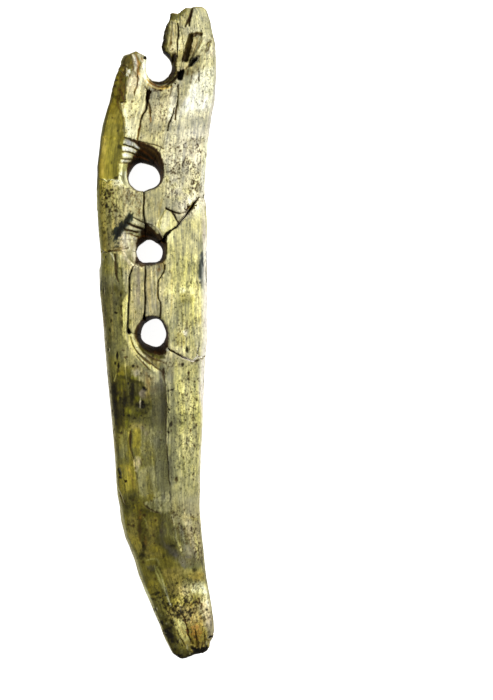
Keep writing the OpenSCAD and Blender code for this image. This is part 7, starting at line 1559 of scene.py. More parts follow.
B.spray("umber", [(360, 480), (500, 640), (620, 860), (560, 960), (420, 800), (340, 620)], 120, (0.1, 0.3), 0.55)
B.spray("brown", [(640, 840), (1000, 900), (1100, 1200), (1100, 1568), (700, 1568), (780, 1200)], 260, (0.08, 0.26), 0.5)
B.spray("brown", [(120, 1000), (600, 1000), (640, 1568), (220, 1568)], 120, (0.08, 0.22), 0.5)
B.dabs("brown", [(378, 200, 36, 60, 0), (385, 248, 26, 30, 0), (465, 235, 26, 40, 20), (575, 968, 40, 26, 0), (488, 1140, 16, 16, 0), (280, 830, 30, 50, 0), (255, 935, 24, 26, 0), (510, 930, 40, 60, 0), (560, 890, 30, 30, 0)], 0.65, mott=0.3)
B.dabs("slate", [(490, 25, 50, 60, 20), (555, 190, 60, 44, 0), (460, 220, 16, 14, 0), (105, 90, 30, 26, 0), (992, 502, 50, 40, 0), (945, 712, 30, 26, 0), (652, 868, 26, 20, 0), (330, 85, 26, 20, 0), (635, 190, 30, 20, 0)], 0.7, mott=0.35)
B.wash("slate", [(852, 770), (905, 735), (915, 770), (905, 825), (860, 800)], 0.65, soft=0.4, mott=0.35)
# the long crack and the break across
B.line("umber", [(158, -20), (176, 60), (196, 150), (206, 220), (222, 300), (236, 350), (240, 420), (250, 490), (266, 570), (284, 640), (304, 720), (324, 800), (338, 870), (352, 940)], [7, 7, 8, 10, 14, 12, 10, 12, 18, 12, 12, 12, 14, 18], 0.92, depth=0.5)
B.line("gold", [(285, 640), (340, 860), (370, 960)], 14, 0.35, soft=0.6)
B.wash("black", [(316, 972), (342, 960), (366, 966), (384, 1008), (400, 1062), (416, 1096), (392, 1082), (366, 1030), (340, 996)], 0.95, soft=0.2, wob=0.1, depth=1.0, dsoft=0.4)
B.line("umber", [(120, 952), (160, 958), (200, 960)], 5, 0.5)
B.line("umber", [(196, 956), (228, 966), (262, 972), (292, 974), (325, 978)], [8, 12, 8, 12, 20], 0.9, depth=0.5)
B.line("gold", [(190, 950), (240, 952)], 10, 0.5)
B.dabs("white", [(272, 962, 22, 14, 0)], 0.9)
B.line("white", [(215, 974), (262, 986), (310, 990), (346, 1022), (378, 1060), (400, 1092)], 7, 0.85, soft=0.15)
B.line("umber", [(414, 1092), (424, 1150), (436, 1220), (452, 1310), (468, 1390), (488, 1470), (506, 1568)], [10, 10, 12, 12, 12, 14, 16], 0.92, depth=0.6)
B.line("straw", [(440, 1160), (462, 1280), (490, 1400), (520, 1500)], 12, 0.5)
B.line("black", [(368, 295), (376, 345), (388, 392), (404, 436), (424, 468), (452, 488)], [8, 12, 14, 18, 20, 12], 0.95, depth=0.7)
B.line("umber", [(296, 60), (322, 180), (346, 300)], 5, 0.45)
B.line("brown", [(505, 1418), (545, 1408), (585, 1402)], 12, 0.75, depth=0.3)
# fourth hole from behind: dark crescent on the right, brown stain deepened as painted shade on the wall turned from the
# light
B.wash("umber", [(540, 500), (580, 430), (600, 380), (660, 340), (760, 330), (800, 380), (860, 400), (905, 480), (905, 600), (880, 690), (810, 760), (740, 790), (800, 700), (812, 620), (780, 550), (700, 500), (600, 492)], 0.92, soft=0.5, wob=0.3, fleck=0.1)
B.wash("brown", [(790, 430), (860, 420), (905, 500), (900, 600), (870, 690), (800, 760), (810, 640), (790, 550)], 0.8, soft=0.7, streak=0.2)
B.wash("rust", [(810, 500), (860, 500), (880, 580), (850, 620), (815, 590)], 0.5, soft=0.7, mott=0.2)
B.wash("black", [(560, 470), (600, 420), (700, 400), (780, 430), (790, 500), (700, 490), (600, 490)], 0.75, soft=0.6)
B.wash("gold", [(830, 620), (880, 640), (840, 730), (800, 750), (820, 680)], 0.4, soft=0.7)
B.line("umber", [(505, 450), (530, 410), (580, 362), (640, 330), (720, 312), (780, 300), (838, 288)], [12, 10, 12, 18, 16, 12, 6], 0.85, depth=0.6)
B.line("olive", [(560, 370), (640, 300), (720, 262), (790, 240), (840, 250)], 12, 0.6, soft=0.35, depth=0.2)
B.line("umber", [(640, 320), (700, 270), (740, 250)], 8, 0.4, soft=0.4)
B.line("tan", [(600, 380), (680, 345), (760, 330)], 14, 0.6, soft=0.35)
B.line("umber", [(760, 378), (820, 376), (870, 380), (915, 390)], [10, 16, 16, 6], 0.88, depth=0.6)
B.line("tan", [(770, 352), (830, 345), (880, 352)], 14, 0.55, soft=0.35)
B.line("umber", [(870, 462), (905, 478), (940, 490)], [12, 12, 6], 0.8, depth=0.4)
B.line("brown", [(870, 420), (900, 450), (915, 500)], 12, 0.5)
B.wash("cream", [(505, 470), (540, 420), (590, 415), (600, 430), (560, 480), (525, 540), (512, 520)], 0.85, soft=0.3, wob=0.2)
B.line("brown", [(505, 455), (520, 430), (560, 420)], 8, 0.7)
B.wash("cream", [(470, 480), (510, 500), (512, 600), (520, 680), (560, 760), (520, 760), (460, 640), (450, 540)], 0.5, soft=0.8, mott=0.2)
B.line("greyolive", [(508, 560), (512, 650), (548, 740), (610, 782), (700, 786)], 7, 0.6)
B.line("orange", [(722, 800), (770, 812), (820, 834), (862, 848), (905, 856), (960, 868), (1010, 882)], 9, 0.7, depth=0.15)
B.line("umber", [(800, 828), (850, 846), (900, 858)], 5, 0.6)
B.wash("tan", [(700, 780), (780, 770), (860, 830), (780, 830), (730, 810)], 0.5, soft=0.6)
B.wash("pewter", [(760, 850), (860, 840), (900, 940), (880, 1060), (800, 1090), (740, 1000)], 0.22, soft=1.6, mott=0.3)
B.wash("bone", [(760, 960), (850, 980), (880, 1080), (800, 1100)], 0.6, soft=1.0, mott=0.2, fleck=0.1)
B.wash("amber", [(1000, 840), (1060, 860), (1060, 1000), (1010, 1020)], 0.3, soft=1.2, mott=0.3)
B.line("brown", [(1082, -20), (1080, 120), (1078, 320), (1076, 540), (1060, 700), (1050, 820), (1044, 920)], [3, 3, 8, 8, 8, 6, 5], 0.55, streak=0.2, depth=0.15)
B.line("amber", [(1068, 600), (1050, 800), (1042, 940)], 9, 0.5, streak=0.2)
# the same right margin ridge: pale in itself, with painted light as it faces the light
B.line("white", [(1120, 0), (1130, 200), (1140, 330)], 60, 0.5, soft=1.4)
B.dabs("umber", [(1062, 690, 10, 40, 0), (1078, 540, 10, 60, 0)], 0.7)
# dark patch
B.wash("stain", [(530, 1190), (572, 1176), (600, 1186), (625, 1160), (690, 1152), (740, 1178), (758, 1215), (740, 1240), (712, 1280), (690, 1310), (662, 1342), (610, 1350), (570, 1322), (548, 1290), (556, 1250), (536, 1222)], 0.85, soft=0.35, wob=0.3, mott=0.35, depth=0.12)
B.wash("umber", [(560, 1200), (640, 1180), (720, 1190), (720, 1250), (650, 1320), (590, 1310)], 0.55, soft=0.6, mott=0.4)
B.line("bone", [(640, 1225), (646, 1260), (640, 1290)], 9, 0.8, soft=0.15)
B.line("bone", [(655, 1275), (650, 1300), (632, 1312)], 7, 0.7, soft=0.15)
B.dabs("bone", [(706, 1212, 20, 24, 0), (682, 1186, 14, 8, 0), (590, 1222, 16, 8, 0), (668, 1232, 8, 20, 0)], 0.5)
B.wash("brown", [(790, 1120), (840, 1110), (850, 1180), (820, 1260), (850, 1330), (840, 1440), (790, 1420), (780, 1300), (800, 1220)], 0.35, soft=0.9, mott=0.5)
B.dabs("brown", [(898, 1555, 50, 40, 0), (984, 1125, 26, 26, 0), (1140, 1290, 12, 12, 0), (948, 1300, 12, 12, 0), (340, 1480, 30, 60, 0), (370, 1320, 16, 30, 0)], 0.6, mott=0.2)

# ---- below: long crack to the triangular chip
B.at(395, 400, 11.2)
B.wash("straw", [(60, -40), (1100, -40), (1060, 1568), (180, 1568)], 0.45, soft=3.0, mott=0.2, fleck=0.3)
B.wash("greycream", [(60, -40), (360, -40), (470, 500), (560, 900), (600, 1200), (480, 1568), (180, 1568), (100, 700)], 0.35, soft=1.6, mott=0.4)
B.wash("ochre", [(430, 60), (900, 60), (950, 500), (920, 1100), (860, 1568), (480, 1568), (640, 1250), (560, 800), (480, 400)], 0.55, soft=2.5, mott=0.3)
B.wash("amber", [(900, 440), (970, 450), (960, 720), (900, 760)], 0.35, soft=1.4, mott=0.3)
B.wash("amber", [(420, 1100), (620, 1250), (700, 1568), (400, 1568), (380, 1300)], 0.28, soft=2.5, mott=0.3)
B.wash("greycream", [(960, -40), (1100, -40), (1080, 700), (1040, 1400), (940, 1400), (970, 600)], 0.5, soft=1.6, streak=0.4, fleck=0.5)
B.wash("bone", [(560, 200), (800, 240), (800, 420), (620, 440), (560, 330)], 0.3, soft=1.8, mott=0.5)
B.wash("cream", [(300, 200), (400, 200), (470, 560), (540, 900), (450, 900), (360, 600)], 0.35, soft=1.2, streak=0.3)
B.spray("umber", [(440, 60), (900, 60), (960, 700), (900, 1200), (640, 1150), (560, 700)], 420, (0.08, 0.26), 0.5)
B.spray("brown", [(120, 60), (380, 60), (560, 1000), (560, 1568), (240, 1568)], 150, (0.08, 0.24), 0.5)
B.spray("umber", [(820, 800), (980, 800), (960, 1568), (760, 1568)], 160, (0.08, 0.26), 0.55)
B.line("umber", [(368, -20), (386, 60), (405, 130), (420, 190), (434, 250), (448, 300), (460, 345), (468, 400), (480, 470), (494, 520), (510, 565), (522, 620), (532, 680), (540, 760), (548, 810), (562, 860), (576, 920), (592, 985), (606, 1035), (620, 1085), (634, 1140), (650, 1196), (672, 1232)],
       [16, 15, 14, 12, 12, 12, 13, 12, 14, 12, 12, 14, 13, 14, 14, 16, 16, 20, 20, 24, 28, 30, 24], 0.94, depth=0.9)
B.line("white", [(350, -20), (384, 110), (412, 230), (440, 350), (458, 460), (486, 560), (512, 700), (528, 820), (556, 930), (586, 1040), (616, 1150), (640, 1220)], 8, 0.6, soft=0.18)
B.line("black", [(668, 1228), (696, 1250), (728, 1258), (752, 1246), (764, 1210), (762, 1170), (756, 1150)], [22, 20, 20, 22, 24, 18, 8], 0.93, depth=0.8)
B.line("brown", [(756, 1152), (792, 1156), (826, 1164), (854, 1184)], [8, 9, 8, 6], 0.75, depth=0.3)
B.wash("cream", [(636, 1236), (680, 1262), (720, 1282), (762, 1268), (800, 1232), (842, 1202), (820, 1262), (800, 1330), (786, 1410), (772, 1480), (752, 1490), (722, 1462), (692, 1410), (660, 1350), (640, 1290)], 0.9, soft=0.35, wob=0.2, mott=0.1, depth=0.25, dsoft=1.2, fleck=0)
B.wash("white", [(660, 1280), (720, 1300), (790, 1262), (780, 1340), (750, 1430), (700, 1390)], 0.7, soft=0.7, mott=0.2)
B.dabs("pewter", [(714, 1398, 26, 16, 30), (736, 1412, 18, 12, 0), (700, 1378, 14, 10, 0), (690, 1330, 16, 40, 20)], 0.6, mott=0.3)
B.line("tan", [(780, 1440), (772, 1500), (764, 1568)], 12, 0.5)
B.line("umber", [(180, 280), (206, 420), (236, 580), (256, 740), (272, 860), (286, 960), (300, 1060), (314, 1180), (328, 1300), (340, 1430), (350, 1568)], [5, 7, 8, 8, 8, 9, 9, 8, 9, 9, 9], 0.7, streak=0.15, depth=0.3)
B.line("cream", [(230, 620), (256, 820), (290, 1060), (320, 1320), (340, 1500)], 14, 0.45, soft=0.5)
B.line("greyolive", [(90, 100), (130, 400), (180, 800), (230, 1250), (260, 1568)], 24, 0.45, soft=1.4, streak=0.3)
B.wash("slate", [(740, 155), (780, 160), (800, 200), (760, 230), (700, 235), (690, 205), (720, 195)], 0.6, soft=0.4, mott=0.35)
B.dabs("slate", [(782, 108, 34, 30, 0), (650, 280, 40, 40, 0), (640, 392, 34, 30, 0), (565, 500, 34, 80, -10), (700, 850, 50, 44, 0), (612, 330, 20, 20, 0), (840, 330, 20, 20, 0)], 0.6, mott=0.35)
B.dabs("mauve", [(560, 470, 50, 90, -10), (548, 560, 30, 60, 0), (690, 620, 60, 40, 0)], 0.45, soft=0.5, mott=0.3)
B.dabs("brown", [(715, 512, 50, 60, 0), (720, 540, 30, 30, 0), (905, 1220, 34, 54, 0), (880, 980, 20, 24, 0), (660, 700, 26, 26, 0), (812, 640, 20, 30, 0)], 0.65, mott=0.25)
B.wash("dkolive", [(700, 690), (760, 680), (785, 740), (780, 820), (750, 860), (712, 830), (690, 760)], 0.55, soft=0.6, mott=0.45)
B.wash("dkolive", [(715, 960), (760, 955), (775, 1010), (755, 1060), (715, 1050)], 0.6, soft=0.5, mott=0.4)
B.dabs("dkolive", [(735, 905, 30, 30, 0), (650, 930, 26, 20, 0), (820, 900, 30, 26, 0)], 0.5, mott=0.3)

# ---- the lower end
B.at(395, 530, 11.2)
B.wash("straw", [(180, -40), (1040, -40), (960, 600), (800, 1200), (430, 1200), (250, 1000), (220, 400)], 0.4, soft=2.5, mott=0.3, fleck=0.3)
B.wash("ochre", [(440, -40), (900, -40), (900, 500), (780, 700), (480, 640), (400, 300)], 0.4, soft=2.0, mott=0.4)
B.wash("greycream", [(420, 640), (820, 640), (800, 1180), (560, 1190), (440, 1180), (420, 900)], 0.55, soft=1.2, mott=0.4, fleck=0.6)
B.wash("greycream", [(270, 540), (380, 560), (400, 1000), (390, 1120), (290, 1080), (270, 800)], 0.5, soft=0.9, streak=0.4)
B.wash("cream", [(380, 100), (480, 100), (520, 600), (470, 1000), (420, 1000), (400, 500)], 0.3, soft=1.2, streak=0.3)
B.spray("umber", [(440, 40), (920, 40), (860, 700), (780, 1180), (460, 1180), (430, 600)], 430, (0.08, 0.26), 0.55)
B.spray("brown", [(230, 40), (380, 40), (400, 1000), (280, 1000)], 110, (0.08, 0.24), 0.55)
B.line("umber", [(340, -20), (352, 60), (360, 150), (366, 240), (371, 320), (375, 420), (380, 520), (386, 610), (392, 700), (398, 790), (402, 880), (405, 980), (408, 1080), (412, 1150), (420, 1200), (432, 1245)], [9, 10, 10, 11, 12, 12, 12, 13, 14, 14, 15, 16, 18, 20, 22, 16], 0.93, depth=0.7)
B.line("cream", [(356, 300), (364, 500), (376, 700), (386, 900), (392, 1060)], 10, 0.5, soft=0.3)
B.line("brown", [(230, 780), (250, 880), (270, 960), (290, 1050)], 26, 0.6, streak=0.4, soft=0.5)
B.wash("black", [(268, 1040), (300, 1070), (318, 1130), (326, 1200), (312, 1262), (288, 1296), (262, 1250), (246, 1180), (248, 1100)], 0.85, soft=0.5, wob=0.3, mott=0.15, depth=0.7, dsoft=1.0)
B.line("cream", [(330, 1090), (344, 1180), (340, 1260)], 12, 0.6)
B.dabs("dkolive", [(690, 220, 60, 60, 0), (685, 380, 54, 70, 0), (692, 440, 40, 60, 0), (620, 860, 26, 30, 0), (580, 940, 26, 26, 0), (710, 855, 30, 24, 0), (590, 1070, 26, 30, 0), (490, 832, 20, 46, 10)], 0.65, soft=0.35, mott=0.3)
B.dabs("slate", [(676, 372, 30, 40, 0), (690, 232, 26, 30, 0), (682, 492, 26, 26, 0), (640, 1100, 18, 18, 0), (520, 1000, 16, 20, 0)], 0.6, mott=0.25)
B.line("umber", [(600, 630), (650, 600), (700, 562)], 6, 0.6)
B.line("brown", [(648, 684), (672, 700), (702, 692)], 6, 0.6)
B.line("brown", [(640, 1022), (700, 1030), (760, 1050)], 6, 0.5)
B.wash("amber", [(560, 440), (640, 440), (640, 560), (570, 560)], 0.3, soft=1.0, mott=0.4)
# broken lower end
B.wash("dkolive", [(330, 1250), (430, 1262), (440, 1340), (420, 1400), (360, 1380), (320, 1310)], 0.6, soft=0.6, mott=0.4)
B.wash("olive", [(540, 1250), (720, 1230), (730, 1300), (640, 1340), (560, 1310)], 0.7, soft=0.6, mott=0.3)
B.line("stain", [(430, 1236), (466, 1230), (505, 1216), (560, 1202), (620, 1190), (670, 1204), (724, 1228)], [16, 20, 18, 12, 12, 14, 10], 0.85, depth=0.5)
B.wash("straw", [(512, 1214), (600, 1198), (642, 1214), (640, 1262), (600, 1290), (530, 1284), (508, 1254)], 0.65, soft=0.35, mott=0.3)
B.wash("black", [(430, 1240), (500, 1236), (520, 1290), (520, 1332), (470, 1340), (434, 1300)], 0.85, soft=0.4, mott=0.2, depth=0.7, dsoft=0.8)
B.wash("umber", [(540, 1312), (620, 1330), (700, 1310), (712, 1370), (660, 1410), (560, 1400)], 0.8, soft=0.5, mott=0.3, depth=0.4)
B.wash("straw", [(418, 1262), (432, 1270), (470, 1330), (492, 1356), (470, 1372), (430, 1340), (412, 1300)], 0.8, soft=0.3, mott=0.2)
B.line("black", [(340, 1380), (420, 1416), (500, 1420), (600, 1420), (700, 1396)], 26, 0.7, soft=0.5, mott=0.2)
B.line("tan", [(600, 1300), (650, 1320), (700, 1300)], 12, 0.6, mott=0.2)
B.at(0, 0, 1)
B.line("greyolive", [(355, 30), (357, 90), (365, 130), (374, 170), (381, 215), (386, 260), (391, 320), (398, 380), (406, 440), (412, 500), (415, 560), (413, 620)], 1.6, 0.45, soft=1.2, wob=0.2, streak=0.3)
B.line("brown", [(357, 48), (356, 75), (360, 100), (366, 122), (372, 142), (378, 165), (383, 186)], 5.5, 0.55, soft=1.0, wob=0.3, streak=0.3)
B.line("umber", [(355, 60), (355, 78), (359, 100), (365, 124), (371, 145), (378, 172)], 2.2, 0.6, soft=0.5)
B.line("greyolive", [(382, 180), (386, 215), (389, 260), (393, 310), (399, 370), (405, 430), (411, 480), (414, 540)], 7, 0.5, soft=1.8, wob=0.4, streak=0.3)
B.line("brown", [(388, 190), (393, 240), (400, 300), (404, 340)], 1.2, 0.4, soft=0.4, streak=0.3)
B.dabs("stain", [(446, 383, 16, 12, 0), (439, 378, 8, 6, 0), (455, 376, 8, 8, 0), (448, 391, 10, 6, 0)], 0.6, soft=0.8, wob=0.8, mott=0.35)
B.dabs("umber", [(459, 466, 6, 11, 0), (456, 474, 5, 7, 0), (462, 412, 6, 5, 0), (464, 418, 5, 4, 0), (456, 549, 5, 7, 0), (455, 569, 6, 12, 0), (452, 583, 6, 6, 0), (448, 500, 4, 4, 0), (456, 432, 4, 4, 0), (452, 446, 4, 4, 0)], 0.6, soft=0.8, wob=0.8, mott=0.4)
B.dabs("amber", [(450, 478, 16, 22, 0), (452, 560, 18, 30, 0), (446, 585, 12, 12, 0), (462, 470, 8, 20, 0), (452, 604, 14, 12, 0)], 0.35, soft=2.0, wob=1.0, mott=0.4)
B.wash("white", [(451, 509), (456, 512), (461, 512.5), (467, 507.5), (463, 518), (460, 528), (457, 530), (454, 522)], 0.95, soft=0.35, wob=0.2, depth=-0.1)
B.dabs("pewter", [(457, 524, 4, 2.4, 30), (459, 526.5, 2, 2, 0), (455.5, 520, 1.6, 3, 0)], 0.7, soft=0.3, mott=0.3)
B.wash("stain", [(412, 640), (420, 634), (424, 650), (432, 640), (446, 636), (460, 638), (462, 656), (450, 672), (430, 668), (414, 656)], 0.6, soft=1.2, wob=0.9, mott=0.45)
B.dabs("black", [(418, 634, 5, 14, 0), (440, 644, 12, 5, 20), (452, 646, 10, 7, 0), (446, 656, 10, 8, 0), (428, 656, 10, 4, 0)], 0.7, soft=0.6, wob=0.6, mott=0.3)
for spots, gain, soft, hue in [
    ([(320, -20), (510, -20), (510, 330), (320, 330)], 1.0, 12.0, (1, 1, 1.09)),
    ([(464, 140), (510, 140), (510, 330), (474, 330), (470, 230)], 1.03, 8.0, (1, 1, 1.06)),
    ([(355, 5), (385, 5), (390, 60), (356, 60)], 1.04, 6.0, (1, 1, 1.05)),
    ([(418, 440), (474, 440), (480, 520), (470, 560), (438, 560), (424, 520)], 0.97, 8.0, (1.0, 0.96, 0.78)),
    ([(438, 542), (470, 542), (468, 604), (438, 604)], 0.84, 6.0, (1.0, 0.96, 0.74)),
    ([(408, 556), (436, 556), (432, 624), (408, 624)], 0.88, 5.0, (1, 1, 0.97)),
    ([(428, 608), (466, 608), (462, 636), (428, 636)], 1.1, 4.0, (1, 0.99, 0.92)),
    ([(470, 520), (500, 500), (490, 570), (468, 590)], 1.03, 5.0, (1, 0.98, 0.86)),
    ([(408, 636), (430, 636), (440, 640), (462, 634), (466, 660), (440, 680), (408, 664)], 0.5, 2.5, (1, 0.95, 0.72)),
]:
    B.shade(spots, gain, soft=soft, hue=hue)
for spots, f in [
    ([(372, 60), (410, 66), (446, 60), (462, 110), (480, 140), (470, 170), (380, 160), (366, 100)], 0.95),
    ([(360, 8), (402, 8), (406, 60), (362, 60)], 0.7),
    ([(385, 165), (470, 170), (478, 240), (474, 330), (430, 330), (392, 300)], 0.75),
    ([(440, 330), (480, 330), (490, 420), (470, 520), (440, 480)], 0.65),
    ([(436, 540), (472, 540), (462, 640), (436, 640)], 0.8),
]:
    B.wash(None, spots, soft=5.0, wob=1.5, fleck=f)
B.wash("white", [(451, 509), (456, 512), (461, 512.5), (467, 507.5), (463, 518), (460, 528), (457, 530), (454, 522)], 1.0, soft=0.3, wob=0.2)
B.dabs("pewter", [(457, 524, 4, 2.4, 30), (459, 526.5, 2, 2, 0)], 0.6, soft=0.3, mott=0.3)
B.dabs("ash", [(446, 382, 16, 12, 0), (440, 379, 8, 8, 0), (453, 376, 8, 7, 0)], 0.55, soft=0.7, wob=0.9, mott=0.35)
B.dabs("stain", [(441, 380, 3, 8, 20), (445, 389, 10, 2.4, -15), (453, 377, 5, 6, 30), (450, 385, 2, 7, 0), (437, 377, 3, 4, 0)], 0.7, soft=0.5, wob=0.8, mott=0.3)
B.dabs("grey", [(446, 381, 4, 4, 0), (449, 378, 3, 2, 0)], 0.5, soft=0.6, wob=0.6, mott=0.3)
B.dabs("dkolive", [(457, 467, 7, 10, 0), (460, 462, 5, 5, 0), (455, 473, 5, 5, 0), (456, 549, 6, 8, 0), (455, 570, 7, 13, 0), (453, 582, 5, 6, 0), (452, 446, 3, 4, 0), (447, 452, 3, 3, 0), (450, 500, 3, 5, 0)], 0.62, soft=0.8, wob=0.9, mott=0.4)
B.dabs("ash", [(463, 411, 4, 7, 20), (460, 417, 6, 4, -30), (456, 421, 3, 3, 0)], 0.65, soft=0.6, wob=0.9, mott=0.35)
B.dabs("stain", [(458, 465, 3, 5, 0), (456, 551, 3, 4, 0), (455, 568, 3, 6, 0), (462, 412, 2, 3, 0)], 0.5, soft=0.6, wob=0.8, mott=0.4)
B.texture(1.1, 0.5, 0.4)

# ================================================================ left edge
L.at(255, 0, 9.2235)
L.wash("ivory", [(-60, -60), (700, -60), (700, 1700), (-60, 1700)], 1.0, rnd=False, fleck=0.3, gloss=0.45)
L.wash("cream", [(40, 300), (200, 260), (240, 500), (260, 820), (200, 980), (165, 1100), (165, 1700), (20, 1700), (40, 1000)], 0.7, soft=0.8, mott=0.15, fleck=0.45)
L.wash("white", [(80, 320), (150, 330), (150, 520), (110, 620), (80, 560)], 0.5, soft=1.0)
L.line("white", [(150, 1060), (150, 1200), (140, 1350), (148, 1600)], 30, 0.6, soft=0.6)
L.line("lemon", [(60, 900), (62, 1150), (66, 1400), (80, 1700)], 34, 0.5, soft=0.8, streak=0.2)
L.wash("tan", [(150, 470), (220, 500), (225, 620), (200, 800), (230, 900), (190, 940), (150, 900), (140, 700), (130, 560)], 0.45, soft=0.8, mott=0.45, fleck=1.0)
L.spray("brown", [(120, 500), (220, 500), (240, 900), (200, 960), (90, 900), (120, 620)], 150, (0.1, 0.3), 0.65, tall=1.4)
L.spray("umber", [(90, 900), (200, 900), (150, 1100), (150, 1500), (80, 1500)], 60, (0.08, 0.22), 0.7, tall=1.2)
# recess: the inner surface under the lost outer layer
L.wash("greyolive", [(262, 790), (320, 720), (400, 800), (440, 1000), (460, 1300), (440, 1700), (176, 1700), (178, 1200), (185, 1080), (215, 960)], 0.62, soft=0.6, mott=0.15, fleck=0.35, gloss=0.55)
L.wash("bone", [(290, 700), (380, 800), (420, 950), (430, 1120), (330, 1200), (250, 1150), (250, 900)], 0.5, soft=2.0, mott=0.2)
L.wash("straw", [(210, 960), (300, 900), (330, 1100), (250, 1200), (195, 1100)], 0.35, soft=1.6)
L.wash("grey", [(200, 1250), (420, 1250), (440, 1480), (200, 1500)], 0.45, soft=1.8, mott=0.3)
L.wash("tan", [(220, 430), (340, 440), (370, 560), (240, 570), (222, 500)], 0.6, soft=0.5, mott=0.2, depth=0.1)
L.wash("tan", [(240, 570), (350, 600), (370, 780), (280, 820), (250, 700)], 0.4, soft=0.9, mott=0.3)
L.wash("ochre", [(96, 30), (200, 10), (250, 80), (180, 180), (170, 290), (96, 300), (88, 150)], 0.8, soft=0.5, mott=0.15)
L.wash("amber", [(110, 60), (170, 50), (180, 150), (150, 280), (100, 290), (96, 160)], 0.55, soft=0.7)
L.wash("pale", [(190, 80), (250, 90), (295, 200), (300, 280), (220, 300), (190, 240), (180, 160)], 0.8, soft=0.8)
L.line("umber", [(100, 60), (140, 16), (200, 14), (230, 50), (260, 110), (290, 160)], 12, 0.7, soft=0.4)
L.wash("cream", [(78, 330), (140, 300), (200, 240), (200, 340), (150, 370), (90, 420)], 0.8, soft=0.4)
L.line("ochre", [(190, 240), (200, 280), (205, 330)], 16, 0.7, soft=0.4)
L.line("umber", [(132, 352), (160, 372), (188, 385), (212, 412)], [8, 14, 20, 16], 0.93, depth=0.5)
L.dabs("umber", [(208, 384, 16, 20, 0), (246, 420, 40, 30, 20), (240, 372, 26, 10, 0), (262, 440, 16, 14, 0), (206, 325, 12, 16, 0)], 0.85, depth=0.3)
L.line("umber", [(208, 425), (212, 470), (218, 520), (236, 548), (268, 556), (330, 556)], [8, 10, 14, 12, 16, 10], 0.88, depth=0.5)
L.line("umber", [(200, 545), (214, 580), (224, 640), (234, 690), (246, 730), (242, 765), (262, 812)], [8, 14, 16, 14, 18, 16, 8], 0.9, depth=0.6)
L.line("umber", [(262, 610), (268, 650), (240, 655)], 8, 0.75, depth=0.3)
L.line("cream", [(212, 425), (214, 460)], 10, 0.7, soft=0.2)
L.line("brown", [(280, 470), (284, 550)], 10, 0.7, depth=0.3)
L.wash("brown", [(300, 540), (360, 540), (380, 640), (390, 780), (370, 800), (350, 640), (310, 580)], 0.6, soft=0.5, mott=0.3)
L.dabs("umber", [(376, 785, 24, 40, 0), (350, 560, 30, 40, 0)], 0.85)
L.line("brown", [(340, 680), (342, 760)], 16, 0.55, soft=0.4)
L.line("brown", [(338, 760), (340, 900), (342, 1050), (344, 1180)], 7, 0.45, depth=0.15)
L.line("umber", [(180, 1060), (176, 1140), (174, 1260), (172, 1400), (178, 1568)], [14, 12, 14, 14, 14], 0.6, soft=0.5, streak=0.25)
L.line("umber", [(436, 1040), (440, 1130), (446, 1240), (440, 1340), (432, 1460)], [16, 26, 26, 26, 20], 0.7, soft=0.6)
L.line("gold", [(410, 1080), (416, 1180)], 20, 0.55, soft=0.8)
L.line("brown", [(400, 1200), (404, 1300), (390, 1400)], 18, 0.45, mott=0.3)
L.dabs("umber", [(110, 1112, 16, 12, 0), (145, 1190, 12, 20, 0), (210, 1350, 14, 22, 0), (305, 1425, 16, 14, 0), (372, 1418, 14, 12, 0), (135, 1385, 20, 16, 0)], 0.7)
L.wash("gold", [(310, 1500), (350, 1510), (360, 1600), (300, 1600)], 0.5, soft=0.6)

L.at(255, 160, 9.2235)
L.wash("cream", [(60, -20), (160, -20), (170, 400), (190, 800), (212, 1150), (215, 1340), (140, 1340), (110, 900), (80, 500)], 0.6, soft=0.5)
# white along the back-side facet of the left edge: pale in itself, with painted light as it faces the light
L.line("white", [(132, 0), (140, 200), (155, 420), (170, 700), (184, 950), (198, 1180), (206, 1340)], [30, 44, 50, 44, 40, 36, 20], 0.9, soft=0.5, fleck=0.15)
L.line("lemon", [(76, 0), (92, 300), (110, 620), (125, 900), (150, 1200), (165, 1400), (190, 1568)], 30, 0.55, soft=0.7, streak=0.15)
L.spray("slate", [(100, 180), (160, 180), (165, 540), (120, 540)], 36, (0.1, 0.3), 0.55, tall=2.0)
L.wash("gold", [(176, 20), (350, 20), (356, 760), (330, 900), (340, 1000), (300, 1180), (240, 1340), (216, 1300), (200, 900), (180, 400)], 0.55, soft=0.5, mott=0.25, fleck=0.55, gloss=0.5)
L.wash("greyolive", [(180, 60), (290, 60), (300, 600), (260, 620), (190, 600)], 0.55, soft=1.2, mott=0.25)
L.wash("grey", [(230, 250), (290, 250), (290, 600), (220, 600)], 0.4, soft=1.2, mott=0.4)
L.wash("ochre", [(300, 20), (355, 40), (352, 700), (330, 860), (300, 500)], 0.35, soft=1.0, mott=0.2)
L.wash("gold", [(310, 30), (350, 30), (350, 130), (316, 110)], 0.7, soft=0.5)
L.wash("olive", [(210, 880), (330, 900), (300, 1180), (240, 1330), (216, 1200)], 0.45, soft=0.8, mott=0.3)
L.dabs("slate", [(262, 230, 26, 30, 0), (270, 270, 34, 50, 0), (275, 330, 30, 34, 0), (285, 375, 26, 26, 0), (270, 500, 44, 30, 0), (290, 465, 20, 20, 0), (250, 600, 20, 50, 0), (195, 520, 14, 20, 0), (240, 825, 26, 30, 0), (205, 730, 16, 40, 0)], 0.55, soft=0.35, mott=0.35)
L.dabs("umber", [(215, 160, 20, 10, -30), (195, 200, 20, 10, -20), (215, 190, 10, 10, 0), (205, 410, 16, 12, 0), (260, 1050, 20, 14, 0), (255, 1000, 30, 12, -40), (230, 940, 14, 20, 0), (232, 1110, 14, 12, 0)], 0.75)
L.line("cream", [(296, 955), (280, 990)], 8, 0.8, soft=0.15)
L.dabs("white", [(266, 80, 16, 20, 0), (282, 150, 34, 40, 0), (266, 158, 16, 16, 0)], 0.75, soft=0.2)
